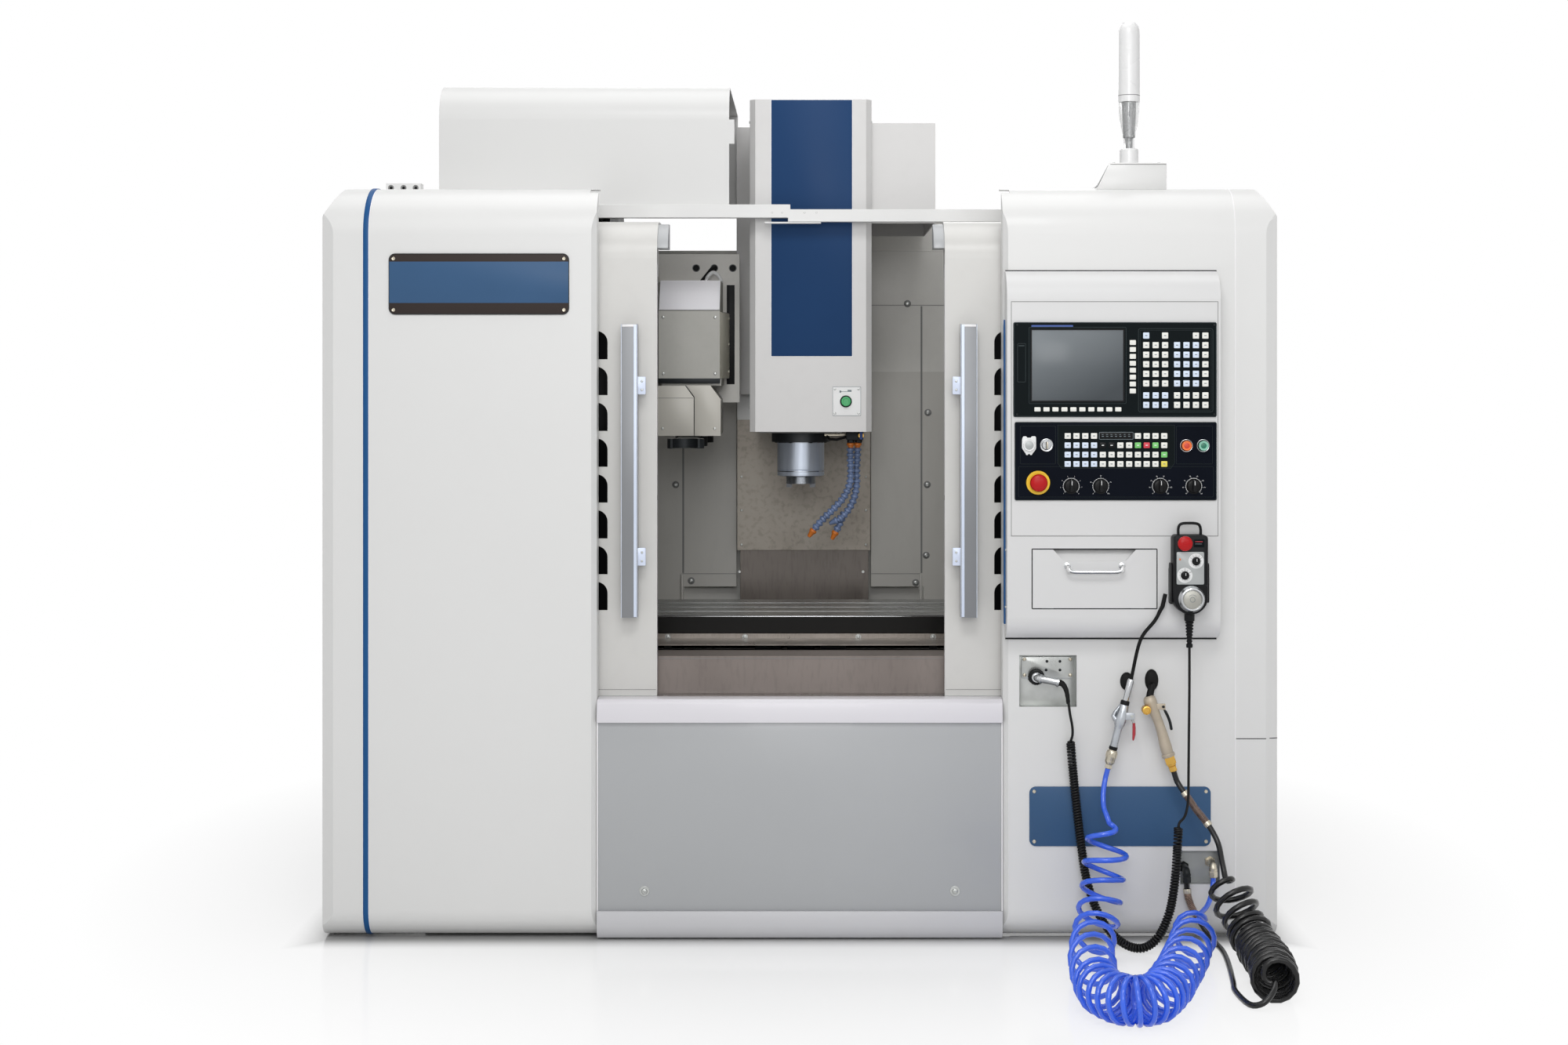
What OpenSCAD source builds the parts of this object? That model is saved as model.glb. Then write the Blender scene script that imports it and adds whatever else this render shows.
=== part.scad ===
// Vertical machining centre with sliding front doors, arm tool changer and operator panel.
// Millimetres, +Z up, origin on the floor at the centre of the footprint, front towards -Y.

/* [Enclosure] */
// Width across the two towers
overall_w = 2200; // [1800:10:2700]
// Depth from the tower fronts to the back of the electrical cabinet
body_d = 2146; // [1780:2:2600]
// Height of the tower tops above the floor
tower_h = 1737; // [1450:1:2100]
// Width of each tower
tower_w = 632; // [560:1:680]
// Depth of the towers and their side panels
tower_d = 1500; // [1250:10:1800]
// Thickness of the guard sheets
sheet_t = 3; // [2:0.5:4]
// Radius of the front top edge of the towers
nose_r = 110; // [60:1:140]
// Radius of the front bottom edge of the towers
foot_r = 65; // [30:1:90]
// Gap between the towers and the floor
ground_gap = 4; // [2:1:40]
// Top of the sill under the doors
sill_top = 554; // [520:1:640]
// Height of the apron's lower edge
apron_low = 67; // [50:1:120]

/* [Doors] */
// Distance of the door faces behind the tower fronts
door_setback = 70; // [66:1:90]
// Width of the left door that shows when open
door_show_left = 135; // [90:1:180]
// Width of the right door that shows when open
door_show_right = 130; // [90:1:180]
// Thickness of the doors
door_t = 26; // [18:1:28]
// Radius of the doors' curved top front edge
door_nose_r = 90; // [40:1:120]
// Number of windows in each door
window_count = 8; // [4:1:9]
// Height of one window
window_h = 66; // [40:1:75]
// Distance from one window to the next
window_pitch = 83.5; // [78:0.5:90]
// Width of one window
window_w = 330; // [200:1:360]
// Length of the door handles
handle_l = 678; // [400:1:760]
// Width of the door handles
handle_w = 38; // [24:1:50]

/* [Table and travels] */
// Length of the table
table_l = 900; // [750:10:1080]
// Width of the table
table_w = 420; // [350:10:460]
// Height of the table's top face
table_top = 704; // [690:1:730]
// Thickness of the table slab
table_t = 43; // [36:1:52]
// Width of a T-slot's neck
slot_w = 18; // [12:1:22]
// Number of T-slots
slot_count = 3; // [2:1:5]
// Distance from one T-slot to the next
slot_pitch = 110; // [80:5:125]
// Full travel of the table along X
x_travel = 650; // [500:10:700]
// Full travel of the saddle along Y
y_travel = 400; // [300:10:400]
// Upward travel of the head from rest
z_up = 280; // [200:5:300]
// Downward travel of the head from rest
z_down = 165; // [120:5:170]
// Radius of the three ball screws
screw_r = 16; // [12:0.5:18]
// Radial clearance of a shaft that runs in a bore
run_gap = 0.05; // [0.02:0.01:0.1]
// Clearance between a sliding piece and the face it runs on
seat_gap = 0.3; // [0.2:0.1:0.6]

/* [Head] */
// Distance of the spindle axis behind the tower fronts
spindle_setback = 640; // [600:5:680]
// Height of the head cover's lower edge
head_low = 1160; // [1140:1:1200]
// Height of the head cover above its lower edge
head_cover_h = 831; // [760:1:900]
// Radius of the spindle cartridge
cartridge_r = 60.5; // [50:0.5:70]
// Radius of the spindle nose
nose_ring_r = 37.5; // [32:0.5:44]
// Large radius of the spindle taper
taper_r = 22.225; // [15:0.005:30]
// Length of the cartridge below its flange
cartridge_l = 87; // [60:1:110]

/* [Tool changer] */
// Radius of the circle that the tool pots sit on
pot_circle_r = 270; // [240:1:280]
// Number of tool pots
pot_count = 24; // [16:2:24]
// Radius of a tool pot
pot_r = 30; // [22:1:32]
// Length of a tool pot
pot_l = 110; // [90:1:120]
// Distance from the spindle axis to the exchange arm's axis
arm_reach = 285; // [270:1:300]
// Drop of the exchange arm
arm_drop = 115; // [90:1:120]

/* [Operator panel] */
// Width of the panel housing
panel_w = 485; // [460:1:560]
// Distance that the housing stands proud of the tower
panel_proud = 70; // [55:1:84]
// Height of the housing's lower edge
panel_low = 700; // [680:1:720]
// Height of the housing's upper edge
panel_high = 1540; // [1500:1:1580]
// Travel of the drawer
drawer_travel = 100; // [60:5:110]
// Radius of the mushroom head of the emergency stop
stop_r = 20; // [16:0.5:22]
// Radius of the selector knobs
selector_r = 15; // [11:0.5:17]
// Thickness of the hand-held pendant
pendant_t = 46; // [38:1:48]
// Radius of the pendant's handwheel
wheel_r = 30; // [24:0.5:32]
// Height of the handwheel above the pendant's face
wheel_h = 24; // [18:1:28]

/* [Cords] */
// Diameter of the pendant cable
cable_d = 6; // [5:0.5:7]
// Outer diameter of the pendant cable's curly stretch
cable_curl_d = 21; // [18:1:22]
// Diameter of the air hose
air_d = 12; // [8:0.5:13]
// Outer diameter of the air hose's spiral
air_coil_d = 105; // [90:1:106]
// Diameter of the coolant gun's hose
wash_d = 13; // [8:0.5:14]
// Outer diameter of the coolant gun hose's spiral
wash_coil_d = 104; // [90:1:105]

/* [Hidden] */
$fn = 64;
eps = 0.5;

// Frame lines, from the driving sizes
half_w = overall_w / 2;
tower_in = half_w - tower_w;
reach = panel_proud + 6 + pendant_t + wheel_h;
front_y = (reach - body_d) / 2;
back_y = front_y + body_d;
door_y = front_y + door_setback;
door_back_y = door_y + door_t;
roof_back_y = front_y + 430;
spindle_y = front_y + spindle_setback;
guard_y = front_y + 1095;
column_y = guard_y + 35;
column_back_y = column_y + 470;
saddle_l = 440;
saddle_low = 460;
saddle_top = 590;
door_low = sill_top;
door_high = tower_h - 73;
beam_z = tower_h - 46;
panel_x = tower_in + 3;
panel_y = front_y - panel_proud;
left_edge = -(tower_in - door_show_left);
right_edge = tower_in - door_show_right;
door_w = tower_in + 30;
windows_top = door_high - 260;

// A block between two limits on each axis
module block(x, y, z) {
    translate([x[0], y[0], z[0]]) cube([x[1] - x[0], y[1] - y[0], z[1] - z[0]]);
}

// Extrudes a (Y, Z) outline along X from the plane x
module along_x(x, length) {
    translate([x, 0, 0]) rotate([90, 0, 90]) linear_extrude(length) children();
}

// Extrudes an (X, Z) outline along +Y from the plane y
module along_y(y, length) {
    translate([0, y + length, 0]) rotate([90, 0, 0]) linear_extrude(length) children();
}

// A straight round bar along Y from the plane y
module rod_y(x, z, y, length, r) {
    translate([x, y + length, z]) rotate([90, 0, 0]) cylinder(r = r, h = length);
}

// A straight round bar along X from the plane x
module rod_x(y, z, x, length, r) {
    translate([x, y, z]) rotate([0, 90, 0]) cylinder(r = r, h = length);
}

// A rounded rectangle, corner at the origin
module round_rect(w, h, r) {
    translate([r, 0]) square([w - 2 * r, h]);
    translate([0, r]) square([w, h - 2 * r]);
    for (x = [r, w - r], y = [r, h - r]) translate([x, y]) circle(r);
}

// A quarter of a square outside a circle, which rounds a corner at the origin
module corner_cut(r) {
    difference() {
        translate([-eps, -eps]) square(r + eps);
        translate([r, r]) circle(r);
    }
}

// A round bar from one point to another
module strut(a, b, r) {
    d = b - a;
    h = norm(d);
    translate(a) rotate([0, acos(d[2] / h), atan2(d[1], d[0])]) cylinder(r = r, h = h);
}

// Smooth points along a route, steps points for each of its stretches
function curve_at(a, b, c, d, t) =
    0.5 * (2 * b + (c - a) * t + (2 * a - 5 * b + 4 * c - d) * t * t + (3 * b - a - 3 * c + d) * t * t * t);
function smooth(p, steps) = concat([
    for (i = [0 : len(p) - 2], k = [0 : steps - 1])
        curve_at(p[max(i - 1, 0)], p[i], p[i + 1], p[min(i + 2, len(p) - 1)], k / steps)
], [p[len(p) - 1]]);
function unit(v) = v / norm(v);
function tangents(p) = [
    for (i = [0 : len(p) - 1]) unit(p[min(i + 1, len(p) - 1)] - p[max(i - 1, 0)])
];
function carry(n, t) = unit(n - (n * t) * t);
function normals(t) = [
    for (i = 0, n = carry([0.2, 1, 0.1], t[0]); i < len(t); i = i + 1, n = carry(n, t[min(i, len(t) - 1)])) n
];

// A tube swept along a route
module tube(route, r, sides, steps) {
    p = smooth(route, steps);
    t = tangents(p);
    n = normals(t);
    rings = len(p);
    points = [
        for (i = [0 : rings - 1], k = [0 : sides - 1])
            p[i] + r * (cos(360 * k / sides) * n[i] + sin(360 * k / sides) * cross(t[i], n[i]))
    ];
    walls = [
        for (i = [0 : rings - 2], k = [0 : sides - 1], half = [0, 1])
            let (a = i * sides + k, b = i * sides + (k + 1) % sides)
            half == 0 ? [a, a + sides, b + sides] : [a, b + sides, b]
    ];
    ends = [
        [for (k = [0 : sides - 1]) k],
        [for (k = [sides - 1 : -1 : 0]) (rings - 1) * sides + k]
    ];
    polyhedron(points, concat(walls, ends), convexity = 8);
}

// A bent round bar through a few points
module bent_bar(route, r) {
    tube(route, r, 10, 3);
}

// ---- Castings and drives ----

bed_half = 360;
bed_low = 60;
bed_top = 400;
bed_front_y = front_y + 230;
bed_back_y = column_back_y + 40;
rail_x = 230;
rail_w = 35;
rail_h = 30;
land_h = 25;
foot_pad_r = 45;

// Bed with rail lands, open underneath, on six levelling feet
module base_casting() {
    wall = 40;
    color("dimgray") {
        difference() {
            union() {
                block([-bed_half, bed_half], [bed_front_y, bed_back_y], [bed_low, bed_top]);
                for (s = [-1, 1])
                    block([s * rail_x - 40, s * rail_x + 40], [bed_front_y, guard_y - 20], [bed_top - eps, bed_top + land_h]);
            }
            for (s = [-1, 1])
                block([s > 0 ? wall / 2 : -bed_half + wall, s > 0 ? bed_half - wall : -wall / 2],
                      [bed_front_y + wall, bed_back_y - wall], [bed_low - eps, bed_top - wall]);
        }
        for (s = [-1, 1], y = [bed_front_y + foot_pad_r, spindle_y + 340, bed_back_y - foot_pad_r])
            translate([s * (bed_half - foot_pad_r), y, 0]) {
                cylinder(r = foot_pad_r, h = 20);
                translate([0, 0, 20 - eps]) cylinder(r = 18, h = bed_low - 20 + 2 * eps);
            }
    }
}

y_screw_z = bed_top + 32;
z_screw_y = column_y + 20;
block_gap = 1;
motor_half = 45;

// Linear rails of the Y and Z ways, the screw bearings on the bed and the column, and two servo motors
module guideways_and_motors() {
    y_rail_y = [bed_front_y + 10, guard_y - 25];
    z_rail_z = [head_low - 260, 1850];
    color("silver") {
        for (s = [-1, 1])
            block([s * rail_x - rail_w / 2, s * rail_x + rail_w / 2], y_rail_y, [bed_top + land_h, bed_top + land_h + rail_h]);
        for (s = [-1, 1])
            block([s * 130 - rail_w / 2, s * 130 + rail_w / 2], [column_y - rail_h, column_y], z_rail_z);
        for (y = [bed_front_y, guard_y - 40])
            difference() {
                block([-motor_half, motor_half], [y, y + 30], [bed_top, y_screw_z + 26]);
                rod_y(0, y_screw_z, y - eps, 30 + 2 * eps, screw_r + run_gap);
            }
        for (z = [head_low - 160, head_low + 670])
            difference() {
                block([-50, 50], [column_y - 10, column_y + 65], [z, z + 30]);
                translate([0, z_screw_y, z - eps]) cylinder(r = screw_r + run_gap, h = 30 + 2 * eps);
            }
    }
    color("#222222") {
        block([-motor_half, motor_half], [bed_front_y - 115, bed_front_y], [y_screw_z - motor_half, y_screw_z + motor_half]);
        block([-50, 50], [column_y - 28, column_y + 70], [1860, 2010]);
    }
}

// Box column, wider at its foot, with a groove for the Z screw
module column_casting() {
    top = 1860;
    half_top = 170;
    half_foot = 330;
    wall = 35;
    groove_half = 50;
    groove_d = 65;
    color("#b8b7b3")
        difference() {
            along_y(column_y, column_back_y - column_y)
                polygon([[-half_foot, bed_top], [half_foot, bed_top], [half_foot, 700], [half_top, 1500],
                         [half_top, top], [-half_top, top], [-half_top, 1500], [-half_foot, 700]]);
            along_y(column_y + groove_d + wall, column_back_y - column_y - groove_d - 2 * wall)
                polygon([[-half_foot + wall, bed_top - eps], [half_foot - wall, bed_top - eps],
                         [half_foot - wall, 690], [half_top - wall, 1490], [half_top - wall, top - wall],
                         [wall - half_top, top - wall], [wall - half_top, 1490], [wall - half_foot, 690]]);
            block([-groove_half, groove_half], [column_y - eps, column_y + groove_d], [head_low - 260, top + eps]);
        }
}

saddle_half = 400;
x_block_x = 82;
x_way_y = 130;
x_screw_z = 615;

// Cross slide on the Y ways, with the X way blocks, the X screw's bearings and motor, and its front cover
module saddle_casting() {
    y0 = spindle_y - saddle_l / 2;
    y1 = spindle_y + saddle_l / 2;
    band_y = spindle_y - table_w / 2 + 2;
    color("#8d8f90") {
        difference() {
            union() {
                block([-saddle_half, saddle_half], [y0, y1], [saddle_low, saddle_top]);
                for (sx = [-1, 1], sy = [-1, 1])
                    block([sx * x_block_x - 32, sx * x_block_x + 32],
                          [spindle_y + sy * x_way_y - 35, spindle_y + sy * x_way_y + 35], [saddle_top - eps, 643]);
                for (s = [-1, 1], y = [y0 + 70, y1 - 150])
                    block([s * rail_x - 35, s * rail_x + 35], [y, y + 80], [428, saddle_low + eps]);
                for (s = [-1, 1])
                    block([s > 0 ? saddle_half - 30 : -saddle_half, s > 0 ? saddle_half : 30 - saddle_half],
                          [spindle_y - 40, spindle_y + 40], [saddle_top - eps, x_screw_z + 28]);
                block([-35, 35], [spindle_y - 40, spindle_y + 40], [412, saddle_low + eps]);
            }
            for (s = [-1, 1])
                block([-saddle_half - eps, saddle_half + eps],
                      [spindle_y + s * x_way_y - rail_w / 2 - block_gap, spindle_y + s * x_way_y + rail_w / 2 + block_gap],
                      [634, 644]);
            for (s = [-1, 1])
                block([s * rail_x - rail_w / 2 - block_gap, s * rail_x + rail_w / 2 + block_gap],
                      [y0 - eps, y1 + eps], [420, bed_top + land_h + rail_h + block_gap]);
            block([-saddle_half + 30, saddle_half - 30], [spindle_y - 50, spindle_y + 50], [560, saddle_top + eps]);
            block([-motor_half - 5, motor_half + 5], [y0 - eps, y0 + 60], [saddle_low - eps, y_screw_z + motor_half + 5]);
            rod_x(spindle_y, x_screw_z, -saddle_half - eps, 2 * saddle_half + 2 * eps, screw_r + run_gap);
            rod_y(0, y_screw_z, spindle_y - 41, 82, screw_r + block_gap);
        }
    }
    color("#222222")
        block([saddle_half, saddle_half + 150], [spindle_y - motor_half + 5, spindle_y + motor_half - 5], [572, 652]);
    color("#9a968f") {
        block([-440, 440], [band_y, band_y + 3], [644, 659]);
        block([-440, 440], [door_back_y + y_travel / 2 + 6, band_y], [644, 647]);
        for (s = [-1, 1])
            block([s * 330 - 10, s * 330 + 10], [band_y + 3 - eps, band_y + 8], [saddle_top - eps, 655]);
    }
}

// Slotted work table, its way rails and the X screw's nut
module table() {
    y0 = spindle_y - table_w / 2;
    low = table_top - table_t;
    color("#8f9294") {
        difference() {
            block([-table_l / 2, table_l / 2], [y0, y0 + table_w], [low, table_top]);
            for (i = [0 : slot_count - 1])
                translate([0, spindle_y + (i - (slot_count - 1) / 2) * slot_pitch, 0]) {
                    block([-table_l / 2 - eps, table_l / 2 + eps], [-slot_w / 2, slot_w / 2], [table_top - 30, table_top + eps]);
                    block([-table_l / 2 - eps, table_l / 2 + eps], [-slot_w * 0.83, slot_w * 0.83], [table_top - 30, table_top - 18]);
                }
        }
        for (s = [-1, 1])
            block([-table_l / 2 + 5, table_l / 2 - 5],
                  [spindle_y + s * x_way_y - rail_w / 2, spindle_y + s * x_way_y + rail_w / 2], [636, low]);
        difference() {
            block([-35, 35], [spindle_y - 28, spindle_y + 28], [592, low]);
            rod_x(spindle_y, x_screw_z, -36, 72, screw_r + block_gap);
        }
    }
}

// Ball screws of the three axes
module x_screw() {
    color("gainsboro") rod_x(spindle_y, x_screw_z, -saddle_half, 2 * saddle_half, screw_r);
}

module y_screw() {
    color("gainsboro") rod_y(0, y_screw_z, bed_front_y, guard_y - 10 - bed_front_y, screw_r);
}

module z_screw() {
    color("gainsboro") translate([0, z_screw_y, head_low - 160]) cylinder(r = screw_r, h = 860);
}

// ---- Head ----

head_front_y = front_y + 460;
head_mid_y = front_y + 1000;
head_left = -127;
head_right = 178;
rear_left = -177;
rear_right = 190;
cover_y = front_y + 1056;
slide_y = cover_y + 11;
casting_low = head_low - 5;
nose_top = casting_low - 24 - cartridge_l;

// Head casting with its slide, way blocks and screw nut, and the spindle motor on top
module head_casting() {
    color("#9c9c9a") {
        difference() {
            union() {
                block([-105, 105], [spindle_y - 90, cover_y], [casting_low, head_low + 470]);
                block([-105, 105], [cover_y - eps, slide_y + eps], [head_low + 95, head_low + 440]);
                block([-165, 165], [slide_y, guard_y - 2], [head_low + 95, head_low + 440]);
                for (s = [-1, 1], z = [head_low + 110, head_low + 330])
                    block([s * 130 - 34, s * 130 + 34], [guard_y - 2 - eps, column_y - 6], [z, z + 90]);
                block([-35, 35], [guard_y - 2 - eps, z_screw_y + 30], [head_low + 270, head_low + 350]);
            }
            for (s = [-1, 1])
                block([s * 130 - rail_w / 2 - block_gap, s * 130 + rail_w / 2 + block_gap],
                      [column_y - rail_h - block_gap, column_y], [head_low, head_low + 600]);
            translate([0, z_screw_y, head_low + 269]) cylinder(r = screw_r + block_gap, h = 82);
            translate([0, spindle_y, casting_low - eps]) cylinder(r = 45, h = 480);
        }
    }
    color("#303234") {
        translate([0, spindle_y, head_low + 470]) cylinder(r = 85, h = 250);
        block([-60, 60], [spindle_y - 60, spindle_y + 60], [head_low + 720, head_low + 745]);
    }
}

// Bearing cartridge of the spindle with its mounting flange
module spindle_cartridge() {
    bore = 30;
    color("silver") translate([0, spindle_y, 0])
        difference() {
            union() {
                translate([0, 0, nose_top]) cylinder(r = cartridge_r, h = cartridge_l);
                translate([0, 0, nose_top + cartridge_l - eps]) cylinder(r = 75, h = 24 + eps);
                translate([0, 0, casting_low - eps]) cylinder(r = 45 - run_gap, h = 300);
            }
            translate([0, 0, nose_top - eps]) cylinder(r = bore + run_gap, h = 500);
            translate([0, 0, nose_top + 14]) rotate_extrude()
                translate([cartridge_r - 1.5, 0]) square([3, 2]);
        }
}

// Spindle shaft with its taper, drawbar bore and two drive keys
module spindle_shaft() {
    nose_h = 20;
    low = nose_top - nose_h - 0.5;
    taper_l = 65;
    color("#c9ccd0") translate([0, spindle_y, 0])
        difference() {
            union() {
                translate([0, 0, low]) cylinder(r = nose_ring_r, h = nose_h);
                translate([0, 0, low]) cylinder(r = 30, h = 430);
                for (s = [-1, 1])
                    block([s * 30 - 7, s * 30 + 7], [-8, 8], [low - 10, low + eps]);
            }
            translate([0, 0, low - eps]) cylinder(r1 = taper_r, r2 = taper_r - taper_l * 3.5 / 24, h = taper_l);
            translate([0, 0, low + taper_l - 1]) cylinder(r = 8.5, h = 400);
        }
}

// Front casing of the head, its rear casing, the way cover below them and the cable duct at the side
module head_cover() {
    high = head_low + head_cover_h;
    bevel = 14;
    rear_low = head_low + 90;
    duct_y = [front_y + 500, front_y + 1040];
    duct_z = [high - 307, high - 55];
    way_cover_low = head_low - 340;
    color("#dedede") {
        difference() {
            union() {
                translate([0, 0, head_low]) linear_extrude(head_cover_h)
                    polygon([[head_left + bevel, head_front_y], [head_right - bevel, head_front_y],
                             [head_right, head_front_y + bevel], [head_right, head_mid_y + eps],
                             [head_left, head_mid_y + eps], [head_left, head_front_y + bevel]]);
                block([rear_left, rear_right], [head_mid_y, slide_y - 2], [rear_low, high - 11]);
            }
            translate([0, 0, head_low + sheet_t]) linear_extrude(head_cover_h - 2 * sheet_t)
                polygon([[head_left + bevel, head_front_y + sheet_t], [head_right - bevel, head_front_y + sheet_t],
                         [head_right - sheet_t, head_front_y + bevel], [head_right - sheet_t, head_mid_y + 2 * sheet_t],
                         [head_left + sheet_t, head_mid_y + 2 * sheet_t], [head_left + sheet_t, head_front_y + bevel]]);
            block([rear_left + sheet_t, rear_right - sheet_t], [head_mid_y + sheet_t, slide_y],
                  [rear_low - eps, high - 11 - sheet_t]);
            block([-105, 105], [spindle_y - 92, slide_y], [head_low - eps, rear_low + 20]);
            translate([113.5, head_front_y - eps, head_low + 76]) rotate([-90, 0, 0]) cylinder(r = 9.5, h = 12);
        }
        difference() {
            block([head_right, head_right + 161], duct_y, duct_z);
            block([head_right + sheet_t, head_right + 161 - sheet_t], [duct_y[0] + sheet_t, duct_y[1] - sheet_t],
                  [duct_z[0] - eps, duct_z[1] - sheet_t]);
        }
    }
    color("#8f8a83")
        block([rear_left, rear_right], [cover_y, cover_y + 3], [way_cover_low, rear_low]);
}

// Push button that lets go of the tool, on the head cover's front
module tool_release_button() {
    color("green") {
        rod_y(113.5, head_low + 76, head_front_y - 11.5, 7, 12);
        rod_y(113.5, head_low + 76, head_front_y - 5, 24.5, 9);
    }
}

// Two jointed coolant nozzles and their valve block, beside the spindle
module coolant_nozzles() {
    y = front_y + 600;
    valve_low = head_low - 24;
    left_nozzle = [[128, y - 4, valve_low + 2], [127, y - 4, 1100], [128, y - 6, 1050], [124, y - 6, 1020],
                   [110, y - 6, 990], [86, y - 8, 962], [58, y - 10, 935], [36, y - 10, 910], [20, y - 10, 884]];
    right_nozzle = [[148, y + 8, valve_low + 2], [148, y + 10, 1100], [147, y + 12, 1060], [144, y + 14, 1020],
                    [136, y + 14, 985], [122, y + 12, 950], [104, y + 10, 925], [88, y + 10, 912]];
    color("#5c6f92") {
        block([116, 160], [y - 18, y + 22], [valve_low, head_low]);
        bent_bar(left_nozzle, 8);
        bent_bar(right_nozzle, 8);
    }
}

// ---- Tool changer ----

arm_x = -arm_reach;
arm_y = spindle_y + 60;
pot_x = -2 * arm_reach;
disc_x = pot_x + 70;
disc_y = spindle_y + 120;
pot_low_z = 1270;
disc_z = pot_low_z + pot_circle_r;
arm_z = 1118;
changer_arm_x = [-203, -183];
hood_left = -897;
hood_right = rear_left;

// Cam box of the tool changer, its bracket to the column and the magazine's hub
module tool_changer_gearbox() {
    box_x = [arm_x - 79, arm_x + 78];
    box_y = [spindle_y - 40, arm_y + 110];
    high = 1546;
    slope = 80;
    plate_y = box_y[1];
    hub_x = pot_x + 105;
    color("#c9c6bd") {
        along_x(box_x[0], box_x[1] - box_x[0])
            polygon([[box_y[0], 1293], [box_y[1], 1293], [box_y[1], high], [box_y[0] + 60, high], [box_y[0], high - slope]]);
        translate([0, 0, 1293]) linear_extrude(high - slope - 1293)
            polygon([[box_x[1] - 1, box_y[0] + 2], [box_x[1] + 16, box_y[1]], [box_x[1] - 1, box_y[1]]]);
        difference() {
            along_x(box_x[0], box_x[1] - box_x[0])
                polygon([[box_y[0] - 30, 1175], [box_y[0], 1150], [box_y[1], 1150], [box_y[1], 1275], [box_y[0] - 30, 1275]]);
            translate([arm_x, arm_y, 1149]) cylinder(r = 30 + run_gap, h = 150);
            along_y(box_y[0] - 31, 400)
                polygon([[box_x[1] - 27, 1276], [box_x[1] + 1, 1276], [box_x[1] + 1, 1238]]);
        }
        block([box_x[0] + 8, box_x[1] + 3], [box_y[0] + 10, box_y[1]], [1275, 1293]);
    }
    color("#a9a7a1") {
        difference() {
            block([hub_x + 40, -163], [plate_y, plate_y + 16], [1230, 1623]);
            for (x = [-278, -230, -181])
                rod_y(x, 1586, plate_y - eps, 17, 9);
        }
        block(changer_arm_x, [plate_y + 16 - eps, column_y], [1290, 1480]);
        rod_x(disc_y, disc_z, hub_x + 40, 50, 55);
        rod_x(disc_y, disc_z, pot_x + 66, 80, 20);
        block([hub_x + 90 - eps, hub_x + 130], [disc_y - 60, disc_y + 30], [disc_z - 60, disc_z + 4]);
        block([hub_x + 40, hub_x + 110], [plate_y, disc_y + 60], [disc_z - 120, disc_z - 50]);
    }
}

// Sliding quill that carries the exchange arm
module arm_quill() {
    color("silver") translate([arm_x, arm_y, arm_z + 30]) cylinder(r = 30, h = 127);
}

// Double-ended exchange arm, parked front to back
module exchange_arm() {
    hub_r = 42;
    arm_l = sqrt(arm_reach * arm_reach + 3600);
    grip_r = 32;
    color("#26282a") translate([arm_x, arm_y, arm_z])
        difference() {
            union() {
                cylinder(r = hub_r, h = 29.5);
                block([-26, 26], [-arm_l + 34, arm_l - 34], [2, 26]);
                for (s = [-1, 1])
                    translate([0, s * (arm_l - 20), 2]) cylinder(r = grip_r + 14, h = 24);
            }
            for (s = [-1, 1])
                translate([0, s * arm_l, -eps]) {
                    cylinder(r = grip_r, h = 40);
                    block([s > 0 ? -60 : -60, 60], [s > 0 ? 8 : -60, s > 0 ? 60 : -8], [0, 40]);
                }
        }
}

// A tool pot, back at the origin, body and mouth along -X
module pot() {
    difference() {
        rotate([0, -90, 0]) cylinder(r = pot_r, h = pot_l);
        translate([-pot_l - eps, 0, 0]) rotate([0, 90, 0]) cylinder(r1 = 22, r2 = 13, h = 70);
    }
}

// Magazine disc with all of its pots but the one at the change position
module magazine_disc() {
    color("#3a3d40") {
        difference() {
            rod_x(disc_y, disc_z, disc_x, 18, pot_circle_r + 8);
            rod_x(disc_y, disc_z, disc_x - eps, 20, 20 + run_gap);
            for (a = [45 : 90 : 315])
                rod_x(disc_y + 130 * cos(a), disc_z + 130 * sin(a), disc_x - eps, 20, 62);
            block([disc_x - eps, disc_x + 20], [disc_y - pot_r - 4, disc_y + pot_r + 4],
                  [disc_z - pot_circle_r - 20, disc_z - pot_circle_r + 36]);
        }
        rod_y(disc_x + 9, pot_low_z, disc_y - pot_r - 5, 2 * pot_r + 10, 4);
        for (i = [1 : pot_count - 1])
            translate([disc_x, disc_y, disc_z]) rotate([i * 360 / pot_count, 0, 0])
                translate([0, 0, -pot_circle_r]) pot();
    }
}

// The pot at the change position, which tips down
module exchange_pot() {
    color("#26282a") {
        difference() {
            union() {
                translate([disc_x - 1, disc_y, pot_low_z]) pot();
                for (s = [-1, 1])
                    block([disc_x - 6, disc_x + 17], [disc_y + s * (pot_r - 8) - 3, disc_y + s * (pot_r - 8) + 3],
                          [pot_low_z - 8, pot_low_z + 8]);
            }
            rod_y(disc_x + 9, pot_low_z, disc_y - pot_r - 1, 2 * pot_r + 2, 4 + run_gap);
        }
    }
}

// Sheet hood over the magazine, curved along its front top edge, open below and to the right
module magazine_hood() {
    high = 2026;
    low = tower_h + 12;
    y0 = front_y + 420;
    depth = 700;
    r = 90;
    color("#d6d5d2") {
        difference() {
            along_x(hood_left, hood_right - hood_left) hood_outline(y0, low, high, depth, r);
            along_x(hood_left + sheet_t, hood_right - hood_left)
                hood_outline(y0 + sheet_t, low - eps, high - sheet_t, depth - 2 * sheet_t, r - sheet_t);
        }
        block([hood_right - 22, hood_right + 13], [y0, y0 + sheet_t], [high - 150, high - r]);
        block([2 - tower_in - roof_cut, hood_right], [y0, y0 + sheet_t], [beam_z + 34, low + eps]);
        block([hood_right - 250, -170], [y0 + depth - 9, column_y + 30], [low + 6, low + 41]);
    }
}

// Side outline of the hood
module hood_outline(y0, low, high, depth, r) {
    difference() {
        translate([y0, low]) square([depth, high - low]);
        translate([y0, high]) mirror([0, 1]) corner_cut(r);
    }
}

// ---- Enclosure ----

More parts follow.
